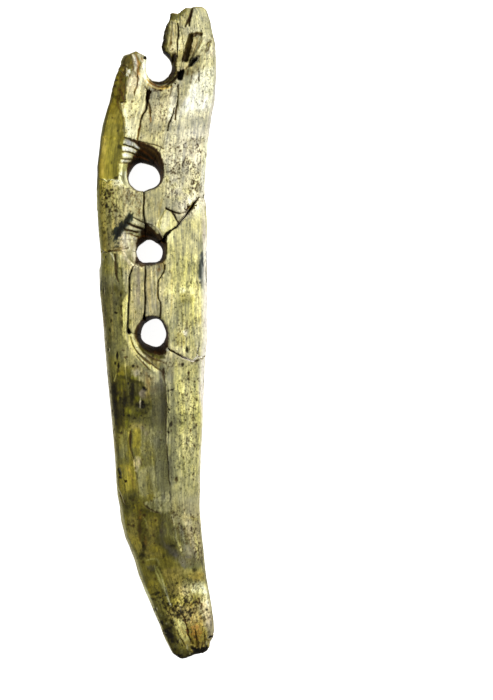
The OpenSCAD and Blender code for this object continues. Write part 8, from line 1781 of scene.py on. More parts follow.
L.line("umber", [(170, 40), (176, 200), (184, 420), (194, 640), (204, 860), (214, 1060), (222, 1240), (224, 1340)], [10, 12, 10, 10, 10, 10, 9, 9], 0.55, soft=0.4, streak=0.3)
# the lamella's broken face, pale, and the dark crack behind it
L.wash("pale", [(400, 20), (414, 60), (418, 200), (424, 300), (432, 400), (440, 520), (446, 650), (452, 792), (420, 780), (384, 768), (374, 700), (366, 560), (356, 400), (352, 220), (354, 130), (384, 90)], 0.95, soft=0.25, wob=0.15, mott=0.08, fleck=0.5, gloss=0.3)
L.line("lemon", [(392, 150), (398, 350), (408, 550), (420, 740)], 20, 0.4, soft=0.6)
L.wash("greyolive", [(418, 30), (470, 60), (500, 200), (530, 450), (530, 620), (524, 740), (460, 780), (446, 600), (432, 380), (422, 180)], 0.75, soft=0.4, mott=0.3, fleck=0.7)
L.wash("pewter", [(500, 180), (530, 300), (545, 500), (530, 640), (516, 560), (510, 380)], 0.6, soft=0.6, mott=0.2)
L.spray("slate", [(430, 100), (520, 200), (525, 700), (460, 740)], 70, (0.1, 0.28), 0.5, tall=1.8)
L.line("black", [(352, 170), (354, 320), (358, 480), (362, 620), (366, 720), (384, 768), (404, 772)], [10, 12, 14, 16, 22, 18, 12], 0.93, depth=0.9)
L.wash("black", [(364, 750), (400, 770), (384, 800), (376, 850), (368, 910), (344, 920), (334, 870), (350, 840), (364, 800)], 0.9, soft=0.3, depth=0.8, dsoft=0.6)
L.line("umber", [(400, 770), (430, 778), (462, 782), (486, 768), (506, 744), (524, 738)], [10, 8, 10, 22, 16, 12], 0.9, depth=0.6)
L.dabs("gold", [(490, 790, 14, 14, 0), (500, 765, 12, 12, 0)], 0.8)
L.wash("white", [(392, 790), (420, 776), (460, 792), (462, 850), (440, 920), (400, 900), (380, 880), (386, 830)], 0.85, soft=0.4, fleck=0.05)
L.wash("cream", [(462, 800), (466, 880), (450, 960), (400, 1070), (350, 1180), (290, 1280), (260, 1340), (236, 1360), (240, 1310), (290, 1200), (340, 1080), (370, 980), (380, 900), (440, 880)], 0.9, soft=0.35, mott=0.1, fleck=0.15)
L.line("straw", [(456, 880), (430, 980), (380, 1100), (330, 1200), (270, 1310)], 10, 0.5, soft=0.3)
L.wash("ivory", [(466, 800), (520, 760), (560, 900), (580, 1200), (580, 1568), (240, 1568), (240, 1400), (330, 1260), (440, 1040)], 0.6, soft=0.5, fleck=0.85)
L.wash("ochre", [(330, 1260), (430, 1120), (480, 1200), (480, 1500), (300, 1480), (280, 1380)], 0.45, soft=1.2, mott=0.4, fleck=0.9)
L.wash("greyolive", [(500, 800), (560, 860), (600, 1200), (600, 1568), (520, 1568), (505, 1200)], 0.5, soft=1.0, streak=0.4)
L.line("tan", [(462, 960), (470, 1020)], 26, 0.4, soft=0.8)
L.spray("slate", [(400, 1010), (450, 1020), (440, 1150), (396, 1140)], 50, (0.1, 0.32), 0.6, tall=2.2)
L.spray("slate", [(490, 1040), (520, 1040), (525, 1340), (500, 1340)], 50, (0.1, 0.3), 0.6, tall=2.2)
L.dabs("slate", [(402, 1100, 20, 70, 0), (502, 1130, 16, 80, 0), (516, 1290, 14, 40, 0)], 0.6, soft=0.3, mott=0.4)
L.spray("brown", [(330, 1260), (480, 1120), (500, 1568), (300, 1568)], 200, (0.1, 0.3), 0.65, tall=2.0)
L.line("cream", [(408, 1190), (430, 1240), (440, 1300)], 8, 0.6)
L.dabs("umber", [(322, 1470, 26, 34, 0), (348, 1380, 20, 20, 0), (295, 1468, 14, 18, 0), (268, 1470, 20, 12, 0), (345, 1470, 18, 20, 0), (336, 1520, 16, 18, 0), (300, 1400, 16, 12, 0), (325, 1395, 16, 14, 0), (232, 1392, 12, 16, 0), (345, 1400, 40, 12, 0)], 0.8)
L.spray("umber", [(200, 1480), (240, 1480), (236, 1568), (206, 1568)], 26, (0.1, 0.26), 0.75)

L.at(255, 320, 9.2235)
L.wash("cream", [(236, 40), (560, 40), (600, 400), (610, 900), (640, 1568), (280, 1568), (270, 900), (250, 500)], 0.55, soft=1.0, mott=0.2, fleck=0.6)
L.wash("white", [(240, 80), (320, 80), (330, 400), (300, 420), (260, 380)], 0.55, soft=1.0, mott=0.1)
L.wash("white", [(290, 880), (370, 900), (390, 1300), (330, 1330), (300, 1200)], 0.4, soft=1.2)
L.wash("lemon", [(440, 980), (600, 1000), (620, 1568), (300, 1568), (320, 1380), (420, 1200)], 0.28, soft=2.5)
L.line("ochre", [(170, 40), (186, 260), (210, 540), (232, 900), (252, 1260), (262, 1568)], 30, 0.6, soft=0.6, streak=0.25)
L.line("amber", [(190, 200), (212, 420), (224, 560)], 20, 0.5, soft=0.6)
L.line("cream", [(228, 100), (232, 300), (240, 500), (256, 720), (258, 960), (262, 1160)], 14, 0.5, soft=0.4)
L.line("umber", [(226, 10), (222, 60), (230, 110), (238, 240), (244, 400), (250, 520), (262, 620), (272, 720), (270, 860), (268, 1000), (270, 1150), (278, 1300), (284, 1440)], [18, 20, 12, 12, 12, 13, 14, 14, 10, 9, 8, 6, 6], 0.8, soft=0.25, depth=0.45)
L.spray("umber", [(214, 660), (240, 660), (246, 960), (226, 940)], 24, (0.1, 0.24), 0.8, tall=1.6)
L.line("rust", [(262, 1190), (268, 1290)], 10, 0.6, soft=0.4)
L.wash("slate", [(372, 440), (400, 396), (428, 400), (452, 436), (450, 452), (420, 440), (384, 450)], 0.85, soft=0.25)
L.wash("slate", [(416, 724), (440, 700), (472, 692), (482, 730), (450, 740), (420, 742)], 0.8, soft=0.25)
L.dabs("umber", [(515, 612, 26, 40, 10), (520, 795, 30, 30, -20), (486, 985, 26, 40, 0), (532, 965, 18, 24, 0), (444, 648, 18, 20, 0), (384, 206, 30, 26, 0), (350, 212, 16, 26, 0), (330, 130, 20, 12, 0), (336, 44, 14, 20, 0), (458, 120, 16, 26, 0), (512, 155, 20, 24, 0), (378, 910, 18, 16, 0), (436, 1208, 14, 30, 0), (330, 262, 12, 18, 0), (450, 540, 12, 30, 0), (376, 660, 18, 16, 0), (420, 490, 18, 12, 0), (560, 905, 14, 30, 0), (506, 918, 14, 10, 0), (412, 735, 22, 24, 0), (440, 458, 16, 22, 0), (460, 180, 14, 10, 0), (320, 5, 30, 14, 0), (586, 1035, 14, 20, 0), (530, 1270, 14, 12, 0), (545, 1405, 18, 12, 0), (448, 1530, 16, 26, 0)], 0.8, mott=0.15)
L.spray("brown", [(300, 330), (560, 330), (560, 900), (320, 900)], 260, (0.08, 0.28), 0.6)
L.spray("umber", [(310, 540), (370, 540), (370, 700), (310, 700)], 40, (0.1, 0.26), 0.6)
L.spray("brown", [(380, 40), (540, 40), (560, 330), (420, 330)], 110, (0.08, 0.28), 0.6)
L.wash("ochre", [(505, 1000), (570, 980), (570, 1180), (500, 1170)], 0.45, soft=0.8, mott=0.35)
L.dabs("brown", [(520, 1050, 50, 20, -30), (545, 1070, 30, 30, 0), (540, 1160, 20, 40, 0), (460, 1100, 20, 60, 10), (484, 1180, 16, 40, 0)], 0.6, mott=0.3)
L.wash("pewter", [(556, 1330), (590, 1300), (610, 1360), (606, 1440), (586, 1470), (560, 1400)], 0.6, soft=0.5, mott=0.4)
L.line("dkolive", [(600, 200), (618, 330), (628, 500), (634, 700), (634, 900), (640, 1050)], [20, 40, 50, 50, 46, 30], 0.6, soft=1.2, streak=0.2)
L.line("grey", [(570, 40), (590, 300), (596, 700), (600, 1000), (616, 1568)], 40, 0.45, soft=1.2, streak=0.4)

L.at(255, 480, 8.2526)
L.wash("straw", [(262, -20), (600, -20), (560, 300), (520, 700), (440, 1050), (340, 1260), (280, 1260), (320, 900), (350, 400)], 0.5, soft=1.5, mott=0.2, fleck=0.6)
L.line("cream", [(440, 60), (410, 220), (390, 380), (380, 600)], 26, 0.5, soft=1.0)
L.line("umber", [(410, 30), (396, 130), (380, 190), (366, 250), (352, 330), (350, 400), (346, 550), (342, 750), (332, 880), (322, 980), (304, 1130), (284, 1262)], [5, 7, 7, 7, 7, 7, 7, 8, 8, 8, 8, 6], 0.75, soft=0.2, depth=0.3)
L.line("ochre", [(330, 100), (310, 300), (312, 600), (300, 900), (280, 1150)], 50, 0.5, soft=1.2, streak=0.3)
L.line("brown", [(270, 100), (266, 400), (276, 800), (262, 1100)], 16, 0.4, soft=0.8, streak=0.3)
L.spray("umber", [(370, 400), (500, 400), (480, 820), (370, 820)], 130, (0.1, 0.28), 0.65)
L.spray("brown", [(300, 60), (560, 60), (500, 1000), (330, 1000)], 140, (0.08, 0.24), 0.5)
L.spray("black", [(350, 1040), (460, 1030), (440, 1200), (380, 1290), (340, 1240)], 150, (0.12, 0.4), 0.8)
L.wash("tan", [(262, 1290), (340, 1260), (420, 1240), (400, 1400), (340, 1500), (280, 1500)], 0.6, soft=0.8, mott=0.3)
L.wash("brown", [(270, 1380), (320, 1360), (380, 1400), (350, 1500), (290, 1500)], 0.6, soft=0.8, mott=0.3)
L.line("umber", [(290, 1290), (330, 1330), (340, 1400)], 12, 0.7, mott=0.2)
L.at(0, 0, 1)
for spots, gain, soft, hue in [
    ([(262, 95), (300, 95), (304, 150), (262, 150)], 0.93, 5.0, (1, 1, 1)),
    ([(262, 150), (292, 150), (292, 300), (262, 300)], 0.86, 5.0, (1, 0.99, 0.93)),
    ([(280, 590), (320, 590), (318, 640), (280, 640)], 1.2, 4.0, (1, 0.99, 0.95)),
    ([(280, 540), (322, 540), (322, 590), (280, 590)], 1.08, 5.0, (1, 1, 1)),
    ([(280, 330), (325, 330), (325, 540), (285, 540)], 1.02, 8.0, (1, 0.99, 1.0)),
]:
    L.shade(spots, gain, soft=soft, hue=hue)
L.texture(0.5, 0.6, 0.4)

# ================================================================ right edge
# the right edge's front-side facet is painted lit (white, cream) and its back-side facet painted in shade (gold, olive,
# and the darkening at the end), over the edge's own cream and yellow-olive
R.at(0, 0, 9.2235)
R.wash("cream", [(-60, -60), (700, -60), (700, 1700), (-60, 1700)], 0.9, rnd=False, fleck=0.3, gloss=0.4)
R.wash("tan", [(140, 20), (330, 20), (320, 160), (290, 260), (200, 280), (150, 220)], 0.55, soft=0.9, mott=0.3)
R.wash("tan", [(80, 350), (150, 350), (165, 420), (140, 480), (80, 470)], 0.6, soft=0.6, mott=0.3)
R.line("umber", [(250, 268), (272, 310), (284, 350), (290, 402)], [8, 12, 12, 8], 0.88, depth=0.5)
R.dabs("black", [(190, 410, 26, 56, 0), (235, 460, 20, 28, 0)], 0.85, soft=0.25, depth=0.35)
R.line("umber", [(262, 500), (276, 560), (282, 600), (286, 642)], 10, 0.8, depth=0.3)
R.line("ochre", [(262, 790), (268, 1000), (262, 1250), (270, 1568)], 56, 0.6, soft=1.0, streak=0.2)
R.line("orange", [(318, 1160), (321, 1350), (322, 1568)], 9, 0.6, soft=0.3)
R.line("greyolive", [(340, 740), (352, 960), (360, 1200), (366, 1568)], 60, 0.65, soft=0.8, streak=0.25)
R.line("bone", [(310, 780), (325, 1000), (335, 1300), (340, 1568)], 12, 0.5, streak=0.2)
R.line("black", [(340, 690), (352, 790), (360, 900), (374, 1060), (382, 1180), (390, 1320), (398, 1568)], [10, 16, 14, 14, 12, 14, 14], 0.92, depth=0.6)
R.line("dkolive", [(360, 690), (385, 820), (404, 1000), (420, 1300), (430, 1568)], 34, 0.7, soft=0.7, streak=0.2)
R.line("grey", [(400, 820), (425, 1050), (440, 1300), (455, 1568)], 26, 0.5, soft=0.8, streak=0.3)
R.wash("stain", [(350, 676), (392, 690), (396, 800), (370, 812), (352, 760)], 0.75, soft=0.4, mott=0.2)
R.spray("slate", [(60, 500), (240, 500), (250, 1568), (60, 1568)], 210, (0.08, 0.22), 0.5, tall=1.3)
R.wash("white", [(110, 500), (220, 500), (240, 1000), (230, 1500), (140, 1500), (110, 900)], 0.4, soft=2.0, mott=0.2)

R.at(0, 160, 9.2235)
# painted light: white on the front-side facet, which faces the light; painted shade: gold on the back-side facet
R.wash("white", [(60, 880), (290, 880), (300, 1300), (300, 1600), (50, 1600)], 0.8, soft=1.0, mott=0.15, fleck=0.1)
R.wash("cream", [(60, 560), (220, 560), (250, 900), (60, 900)], 0.5, soft=1.0, mott=0.2, fleck=0.15)
R.wash("gold", [(300, 740), (440, 720), (460, 1000), (466, 1600), (304, 1600), (300, 1200), (296, 960)], 0.62, soft=0.6, mott=0.1, streak=0.25, fleck=0.3, gloss=0.5)
R.line("ochre", [(285, 0), (300, 160), (312, 330), (300, 500)], 40, 0.6, soft=0.8, streak=0.2)
R.line("bone", [(345, 0), (352, 300), (350, 560), (345, 800)], 34, 0.5, soft=0.5, streak=0.4)
R.line("greyolive", [(372, 0), (384, 300), (396, 560), (410, 740)], 36, 0.65, soft=0.6, streak=0.3)
R.line("black", [(398, -20), (406, 100), (414, 220), (424, 330), (432, 440), (440, 560), (452, 680), (462, 790)], [14, 16, 14, 18, 18, 14, 14, 12], 0.92, depth=0.6)
R.line("dkolive", [(430, 0), (448, 260), (462, 560), (468, 740)], 26, 0.65, soft=0.6, streak=0.2)
R.wash("black", [(450, 820), (470, 810), (480, 860), (472, 910), (452, 900)], 0.85, soft=0.3, depth=0.2)
R.spray("umber", [(150, 40), (260, 40), (270, 170), (180, 170)], 40, (0.12, 0.3), 0.8, tall=1.5)
R.spray("umber", [(110, 240), (270, 240), (270, 480), (120, 480)], 70, (0.1, 0.22), 0.7, tall=1.5)
R.spray("slate", [(70, 0), (270, 0), (280, 480), (90, 480)], 110, (0.08, 0.22), 0.6)
R.dabs("umber", [(320, 325, 26, 30, 0), (245, 90, 14, 20, 0), (245, 155, 20, 16, 0), (165, 415, 24, 16, 20), (205, 450, 20, 14, 30), (175, 400, 16, 12, 0), (120, 405, 16, 16, 0), (292, 370, 12, 26, 0), (140, 350, 16, 14, 0)], 0.8, mott=0.15)
R.wash("gold", [(72, 530), (100, 560), (142, 556), (136, 600), (124, 642), (108, 620), (90, 590)], 0.85, soft=0.25, depth=0.15)
R.line("brown", [(70, 520), (100, 556), (140, 556)], 8, 0.7, depth=0.3)
R.line("tan", [(140, 548), (210, 548)], 6, 0.6)
R.line("umber", [(228, 512), (246, 496), (270, 494), (290, 518), (320, 546), (328, 580), (328, 690)], [10, 18, 18, 14, 16, 14, 10], 0.9, depth=0.6)
R.wash("bone", [(250, 515), (300, 540), (318, 580), (315, 690), (260, 720), (225, 660), (232, 560)], 0.55, soft=0.6, mott=0.2)
R.dabs("brown", [(240, 602, 24, 14, 0), (268, 604, 14, 12, 0), (292, 606, 16, 12, 0)], 0.7)
R.wash("umber", [(278, 700), (306, 690), (330, 712), (322, 744), (296, 752), (276, 730)], 0.7, soft=0.3, mott=0.3)
R.wash("lemon", [(220, 590), (262, 700), (290, 800), (280, 960), (262, 990), (252, 850), (228, 740)], 0.6, soft=0.6)
R.line("slate", [(242, 1030), (256, 1080), (270, 1140), (284, 1200), (296, 1250)], [16, 18, 18, 14, 8], 0.7, soft=0.35, streak=0.35)
R.line("slate", [(236, 1150), (230, 1210), (226, 1270)], [14, 20, 10], 0.6, soft=0.4, streak=0.4)
R.line("slate", [(284, 1050), (280, 1100)], 12, 0.5, streak=0.3)
R.spray("slate", [(230, 1000), (300, 1000), (300, 1320), (220, 1320)], 60, (0.1, 0.3), 0.6, tall=2.6)
R.wash("mauve", [(130, 740), (200, 720), (210, 900), (150, 930)], 0.35, soft=1.2, mott=0.3)
R.line("rust", [(372, 690), (388, 800), (386, 950), (376, 1040)], 16, 0.45, soft=0.6, streak=0.3)
R.wash("pewter", [(320, 800), (370, 820), (372, 1130), (340, 1160), (318, 1000)], 0.35, soft=0.9, streak=0.3)
R.line("umber", [(300, 1160), (308, 1260), (310, 1400), (304, 1500)], [8, 16, 20, 12], 0.55, soft=0.4, streak=0.25)
R.dabs("umber", [(348, 1258, 20, 12, 0), (186, 858, 18, 12, 0), (308, 1330, 20, 60, 0)], 0.7)
R.line("dkolive", [(440, 800), (452, 1000), (456, 1300), (460, 1568)], 30, 0.65, soft=0.8, streak=0.3)

R.at(0, 320, 9.2235)
# painted light: white on the front-side facet, which faces the light; painted shade: gold on the back-side facet
R.wash("white", [(50, -40), (296, -40), (270, 300), (262, 700), (236, 1300), (226, 1600), (40, 1600), (30, 800)], 0.8, soft=2.0, mott=0.12, fleck=0.1)
R.wash("gold", [(300, -40), (470, -40), (460, 500), (440, 1000), (420, 1600), (232, 1600), (244, 1200), (268, 700), (272, 300)], 0.72, soft=2.0, streak=0.2, mott=0.1, fleck=0.5, gloss=0.5)
R.line("ochre", [(300, 500), (290, 800), (270, 1100), (255, 1500)], 60, 0.45, soft=1.2, streak=0.2)
R.line("olive", [(400, 0), (400, 400), (395, 800), (385, 1400)], 40, 0.45, soft=1.2, streak=0.4)
R.line("rust", [(362, 590), (362, 800), (368, 1000), (372, 1200), (380, 1568)], 9, 0.55, soft=0.3, streak=0.2)
R.line("brown", [(42, 398), (62, 450), (82, 502), (110, 530), (142, 560), (166, 556), (192, 536), (240, 544), (300, 556), (328, 568), (352, 592)], 7, 0.8, depth=0.35)
R.dabs("umber", [(345, 600, 12, 56, 0), (95, 460, 14, 12, 0), (178, 460, 14, 12, 0), (190, 635, 16, 14, 0), (85, 600, 12, 14, 0), (230, 760, 14, 18, 0), (120, 980, 12, 14, 0), (150, 1200, 12, 12, 0), (320, 860, 12, 20, 0), (300, 1150, 14, 24, 0)], 0.7)
R.line("umber", [(420, 190), (424, 300), (420, 430)], [14, 30, 16], 0.6, soft=0.5, streak=0.3)
R.line("umber", [(412, 700), (414, 780), (410, 850)], [12, 22, 12], 0.6, soft=0.5, streak=0.3)
R.spray("brown", [(280, 300), (430, 300), (410, 1400), (250, 1400)], 170, (0.08, 0.26), 0.5, tall=2.0)
R.spray("umber", [(60, 560), (250, 560), (220, 1500), (50, 1500)], 70, (0.08, 0.22), 0.55)

R.at(0, 480, 8.2526)
R.wash("ochre", [(206, -20), (400, -20), (390, 500), (350, 900), (360, 1260), (180, 1260), (140, 700), (136, 450), (180, 200)], 0.5, soft=1.0, streak=0.2, mott=0.2, fleck=0.7)
R.wash("cream", [(30, -20), (206, -20), (160, 270), (128, 520), (130, 700), (60, 700), (30, 300)], 0.5, soft=0.8, mott=0.15)
R.spray("umber", [(170, 520), (270, 520), (270, 1020), (180, 1020)], 200, (0.08, 0.28), 0.6, tall=1.5)
R.line("greyolive", [(270, 80), (278, 400), (280, 700), (290, 920)], 26, 0.6, soft=0.6, streak=0.3)
R.line("umber", [(285, 140), (294, 300), (302, 450), (312, 650), (330, 800), (344, 950), (362, 1100), (374, 1290)], [6, 12, 12, 14, 14, 16, 16, 14], 0.9, depth=0.6)
R.line("straw", [(330, 300), (340, 600), (362, 900)], 26, 0.45, soft=0.7)
R.wash("black", [(336, 1240), (356, 1300), (352, 1400), (322, 1432), (300, 1420), (298, 1350), (316, 1300)], 0.8, soft=0.4, mott=0.2, depth=0.6, dsoft=0.8)
R.wash("tan", [(200, 1240), (300, 1240), (300, 1480), (260, 1520), (200, 1400)], 0.6, soft=0.8, mott=0.3)
R.wash("brown", [(220, 1360), (300, 1380), (290, 1500), (240, 1500)], 0.5, soft=0.8, mott=0.3)
R.at(0, 0, 1)
R.line("slate", [(14, 252), (15, 262), (16.5, 272), (18, 284)], [3, 5, 4.5, 2], 0.75, soft=0.4, wob=0.4, streak=0.3)
for spots, gain, soft, hue in [
    ([(8, 0), (40, 0), (40, 36), (8, 36)], 0.80, 5.0, (1, 0.98, 0.88)),
    ([(0, 36), (36, 36), (36, 100), (0, 100)], 0.88, 6.0, (1, 1, 1.04)),
    ([(0, 100), (34, 100), (34, 150), (0, 150)], 0.95, 5.0, (1, 1, 1.1)),
    ([(0, 150), (30, 150), (30, 205), (0, 205)], 1.14, 5.0, (1, 1, 1.0)),
    ([(0, 205), (31, 205), (31, 420), (0, 420)], 1.03, 4.0, (1, 0.995, 1.08)),
    ([(0, 420), (25, 420), (20, 540), (0, 540)], 0.98, 4.0, (1, 0.995, 1.02)),
    # painted shade: the back-side third of the right edge, turned from the light, darkened and yellowed over its olive
    # colour
    ([(34, 205), (56, 205), (56, 480), (33, 480)], 0.5, 5.0, (1, 0.95, 0.68)),
    ([(34, 60), (56, 60), (58, 205), (37, 205)], 0.5, 5.0, (1, 0.98, 0.8)),
    ([(20, 560), (40, 560), (44, 630), (20, 630)], 0.84, 4.0, (1, 1, 1)),
]:
    R.shade(spots, gain, soft=soft, hue=hue)
R.texture(0.5, 0.6, 0.4)
# ---------------------------------------------------------------- the fragment fields
AX = np.arange(-19.6, 19.61, H)
AY = np.arange(-102.2, 102.21, H)
AZ = np.arange(-1.0, 16.6, H)
PXX, PYY = np.meshgrid(AX, AY, indexing="ij")
# break lines wander a little, the same way for the two sides of each break
WX = PXX + 0.5 * (fbm2(PXX * 0.9, PYY * 0.9, 3, 3) - 0.5)
WY = PYY + 0.5 * (fbm2(PXX * 0.9 + 40, PYY * 0.9, 3, 5) - 0.5)

CELL = {k: poly_sdf(WX, WY, v).astype(F32) for k, v in PLAN.items()}
OUT2 = poly_sdf(PXX + 0.25 * (fbm2(PXX * 1.3, PYY * 1.3, 2, 8) - 0.5), PYY + 0.25 * (fbm2(PXX * 1.3 + 9, PYY * 1.3, 2, 9) - 0.5), OUTLINE).astype(F32)
# the plan outline trims only the broken upper end and the tip; elsewhere the loft has the outline already
OUT2 = OUT2 - (0.5 * (1 - step(PYY, 70, 78)) * step(PYY, -97, -93)).astype(F32)
SEAM_H = np.interp(AY, *SEAM)[None, :, None]
LO_H, HI_H = z_lo(AY)[None, :, None], z_hi(AY)[None, :, None]
MID_H = (LO_H + HI_H) / 2
XL_H, XR_H = edge_left(np.clip(AY, -100.5, 100.5))[None, :, None], edge_right(np.clip(AY, -100.5, 100.5))[None, :, None]

DA, DB = A.sample(A.depth, PXX, PYY), B.sample(B.depth, PXX, PYY)
_zz, _yy = np.meshgrid(AZ, AY, indexing="ij")
DL, DR = L.sample(L.depth, _zz, _yy).T, R.sample(R.depth, _zz, _yy).T  # (Y, Z)


def smax(a, b, r):
    """Maximum with a rounded corner."""
    h = np.maximum(r - np.abs(a - b), 0) / r
    return np.maximum(a, b) + h * h * r * 0.25


def body_field(i0, i1, j0, j1):
    """The whole bar with its relief, before it is parted."""
    x, y, z = PXX[i0:i1, j0:j1, None], PYY[i0:i1, j0:j1, None], AZ[None, None, :]
    f = sample_base(AX[i0:i1], AY[j0:j1], AZ)
    f = smax(f, OUT2[i0:i1, j0:j1, None], 0.9)
    top = step(z - MID_H[:, j0:j1], -0.5, 2.0)
    u = (x - XL_H[:, j0:j1]) / (XR_H[:, j0:j1] - XL_H[:, j0:j1])
    wl, wr = 1 - step(u, 0.16, 0.34), step(u, 0.72, 0.88)
    da = DA[i0:i1, j0:j1, None] * top
    db = DB[i0:i1, j0:j1, None] * (1 - step(z - MID_H[:, j0:j1], -2.0, 0.5))
    dl = DL[None, j0:j1, :] * wl
    dr = DR[None, j0:j1, :] * wr
    # the outer layer is lost from the upper left edge, down to one clean inner surface
    rim = RIM[i0:i1, j0:j1, None]
    lost = np.maximum(rim, (LEDGE_H[:, j0:j1] - z))
    band = np.maximum(BAND[None, j0:j1, :], u * 30 - 9)
    deep = LOST_DEEP[:, j0:j1] * (0.22 + 0.78 * step(u, 0.015, 0.11))  # least at the very edge, which keeps the outline
    f = f + np.maximum.reduce([da, db, dl, dr])
    f = np.maximum(f, -smax(np.minimum(lost, band), -(f + deep), 0.5))
    for k in (1, 2, 3, 4):
        c = HOLES[k]["c"]
        if AY[j0] < c[1] + 15 and AY[j1 - 1] > c[1] - 15:
            f = smax(f, -hole_field(k, x, y, z) + np.maximum(da, db) * 0.8, 0.45)
    return f.astype(F32)


# where the outer layer is missing, in plan above the ledge, and as a band under the lamella
RIM_PLAN = [(-9.3, 78.4), (-9.6, 75.0), (-9.9, 71.3), (-11.2, 70.7), (-10.4, 66.2), (-9.9, 61.2), (-10.0, 59.9), (-10.6, 57.8), (-10.9, 54.4),
            (-11.7, 52.2), (-11.8, 47.2), (-14.2, 47.2), (-15.3, 46.4), (-16.8, 47.4), (-22, 48), (-22, 84), (-12.0, 81.5), (-10.6, 80.2)]
RIM = poly_sdf(PXX + 0.5 * (fbm2(PXX * 1.1, PYY * 1.1, 3, 13) - 0.5), PYY + 0.5 * (fbm2(PXX * 1.1 + 9, PYY * 1.1, 3, 14) - 0.5), RIM_PLAN).astype(F32)
LEDGE_H = (3.3 + 0.35 * np.sin(AY * 0.21) + 1.4 * step(AY, 62, 80))[None, :, None]
_by, _bz = np.meshgrid(AY, AZ, indexing="ij")
BAND_EDGE = [(60, 17), (60, 3.0), (50, 3.1), (40, 3.0), (30, 3.0), (20, 3.1), (12, 3.3), (7.2, 3.5), (7.2, 3.9), (10, 4.8), (14, 6.0), (18, 7.4), (22, 9.2), (24.6, 10.2), (25.2, 9.4), (30, 9.3), (38, 9.2), (44, 9.0), (46.4, 9.4), (47.5, 10.5), (48.5, 12), (49, 17)]
BAND = poly_sdf(_by + 0.5 * (fbm2(_by * 1.1, _bz * 1.1, 3, 17) - 0.5), _bz + 0.4 * (fbm2(_by * 0.8, _bz * 1.1 + 9, 3, 18) - 0.5), BAND_EDGE).astype(F32)
LOST_DEEP = (1.25 + 0.45 * step(AY, 50, 60) * (1 - step(AY, 74, 80)) - 0.5 * (1 - step(AY, 8, 22)))[None, :, None]


def gape(f, body, i0, i1, j0, j1):
    """Opens the breaks that gape, to a depth under the bar's surface."""
    z = AZ[None, None, :]
    mid = MID_H[:, j0:j1]
    for gapes, side in ((GAPES, 1), (BACK_GAPES, -1)):
        for pts, half, depth in gapes:
            p = np.array(pts)
            m = 1.5
            if p[:, 1].min() - m > AY[j1 - 1] or p[:, 1].max() + m < AY[j0] or p[:, 0].min() - m > AX[i1 - 1] or p[:, 0].max() + m < AX[i0]:
                continue
            d, _ = line_dist(WX[i0:i1, j0:j1], WY[i0:i1, j0:j1], p, half)
            deep = np.clip(-body, 0, depth) / depth
            wall = np.maximum(d[:, :, None] + 0.34 * deep, np.maximum(-body - depth, (mid - z) * side))
            f = np.maximum(f, -wall)
    return f


def closed_fit(x, y, z):
    """1 where two pieces fit so closely that the joint hardly shows, 0 where the break shows."""
    t = (1 - step(z, 5.0, 6.0)) * np.maximum(step(y, 73.5, 74.5) * (1 - step(y, 77.5, 78.5)), step(y, -60.8, -59.8) * (1 - step(y, -56.2, -55.4)) * (1 - step(x, -2.0, -0.6)))
    t = np.maximum(t, step(x, 10.5, 12.0) * (1 - step(y, -9.5, -8.9)) * step(y, -59.5, -58.5))
    t = np.maximum(t, 0.85 * step(x, 12.2, 13.0) * step(y, -9.0, -8.4) * (1 - step(y, -6.6, -6.0)))
    t = np.maximum(t, 0.8 * step(x, 4.0, 4.8) * (1 - step(y, -53.5, -52.5)) * step(y, -59.5, -58.5) * step(z, 7, 8))
    t = np.maximum(t, (1 - step(y, -91.0, -90.5)) * step(y, -95.5, -95.0) * step(z, 5.0, 6.0))
    t = np.maximum(t, (1 - step(x, -13.0, -12.0)) * step(y, 23.8, 24.3) * (1 - step(y, 26.6, 27.0)) * (1 - step(z, 8.6, 9.2)))
    t = np.maximum(t, np.maximum(1 - step(x, -15.4, -14.8), step(x, -10.4, -10.0) * (1 - step(x, -7.8, -7.2))) * step(y, 24.0, 24.4) * (1 - step(y, 26.2, 26.6)))
    t = np.maximum(t, step(x, -13.4, -12.9) * (1 - step(x, -10.9, -10.3)) * step(y, 26.6, 27.4) * (1 - step(y, 45.0, 46.0)) * step(z, 9.4, 10.2))
    return t


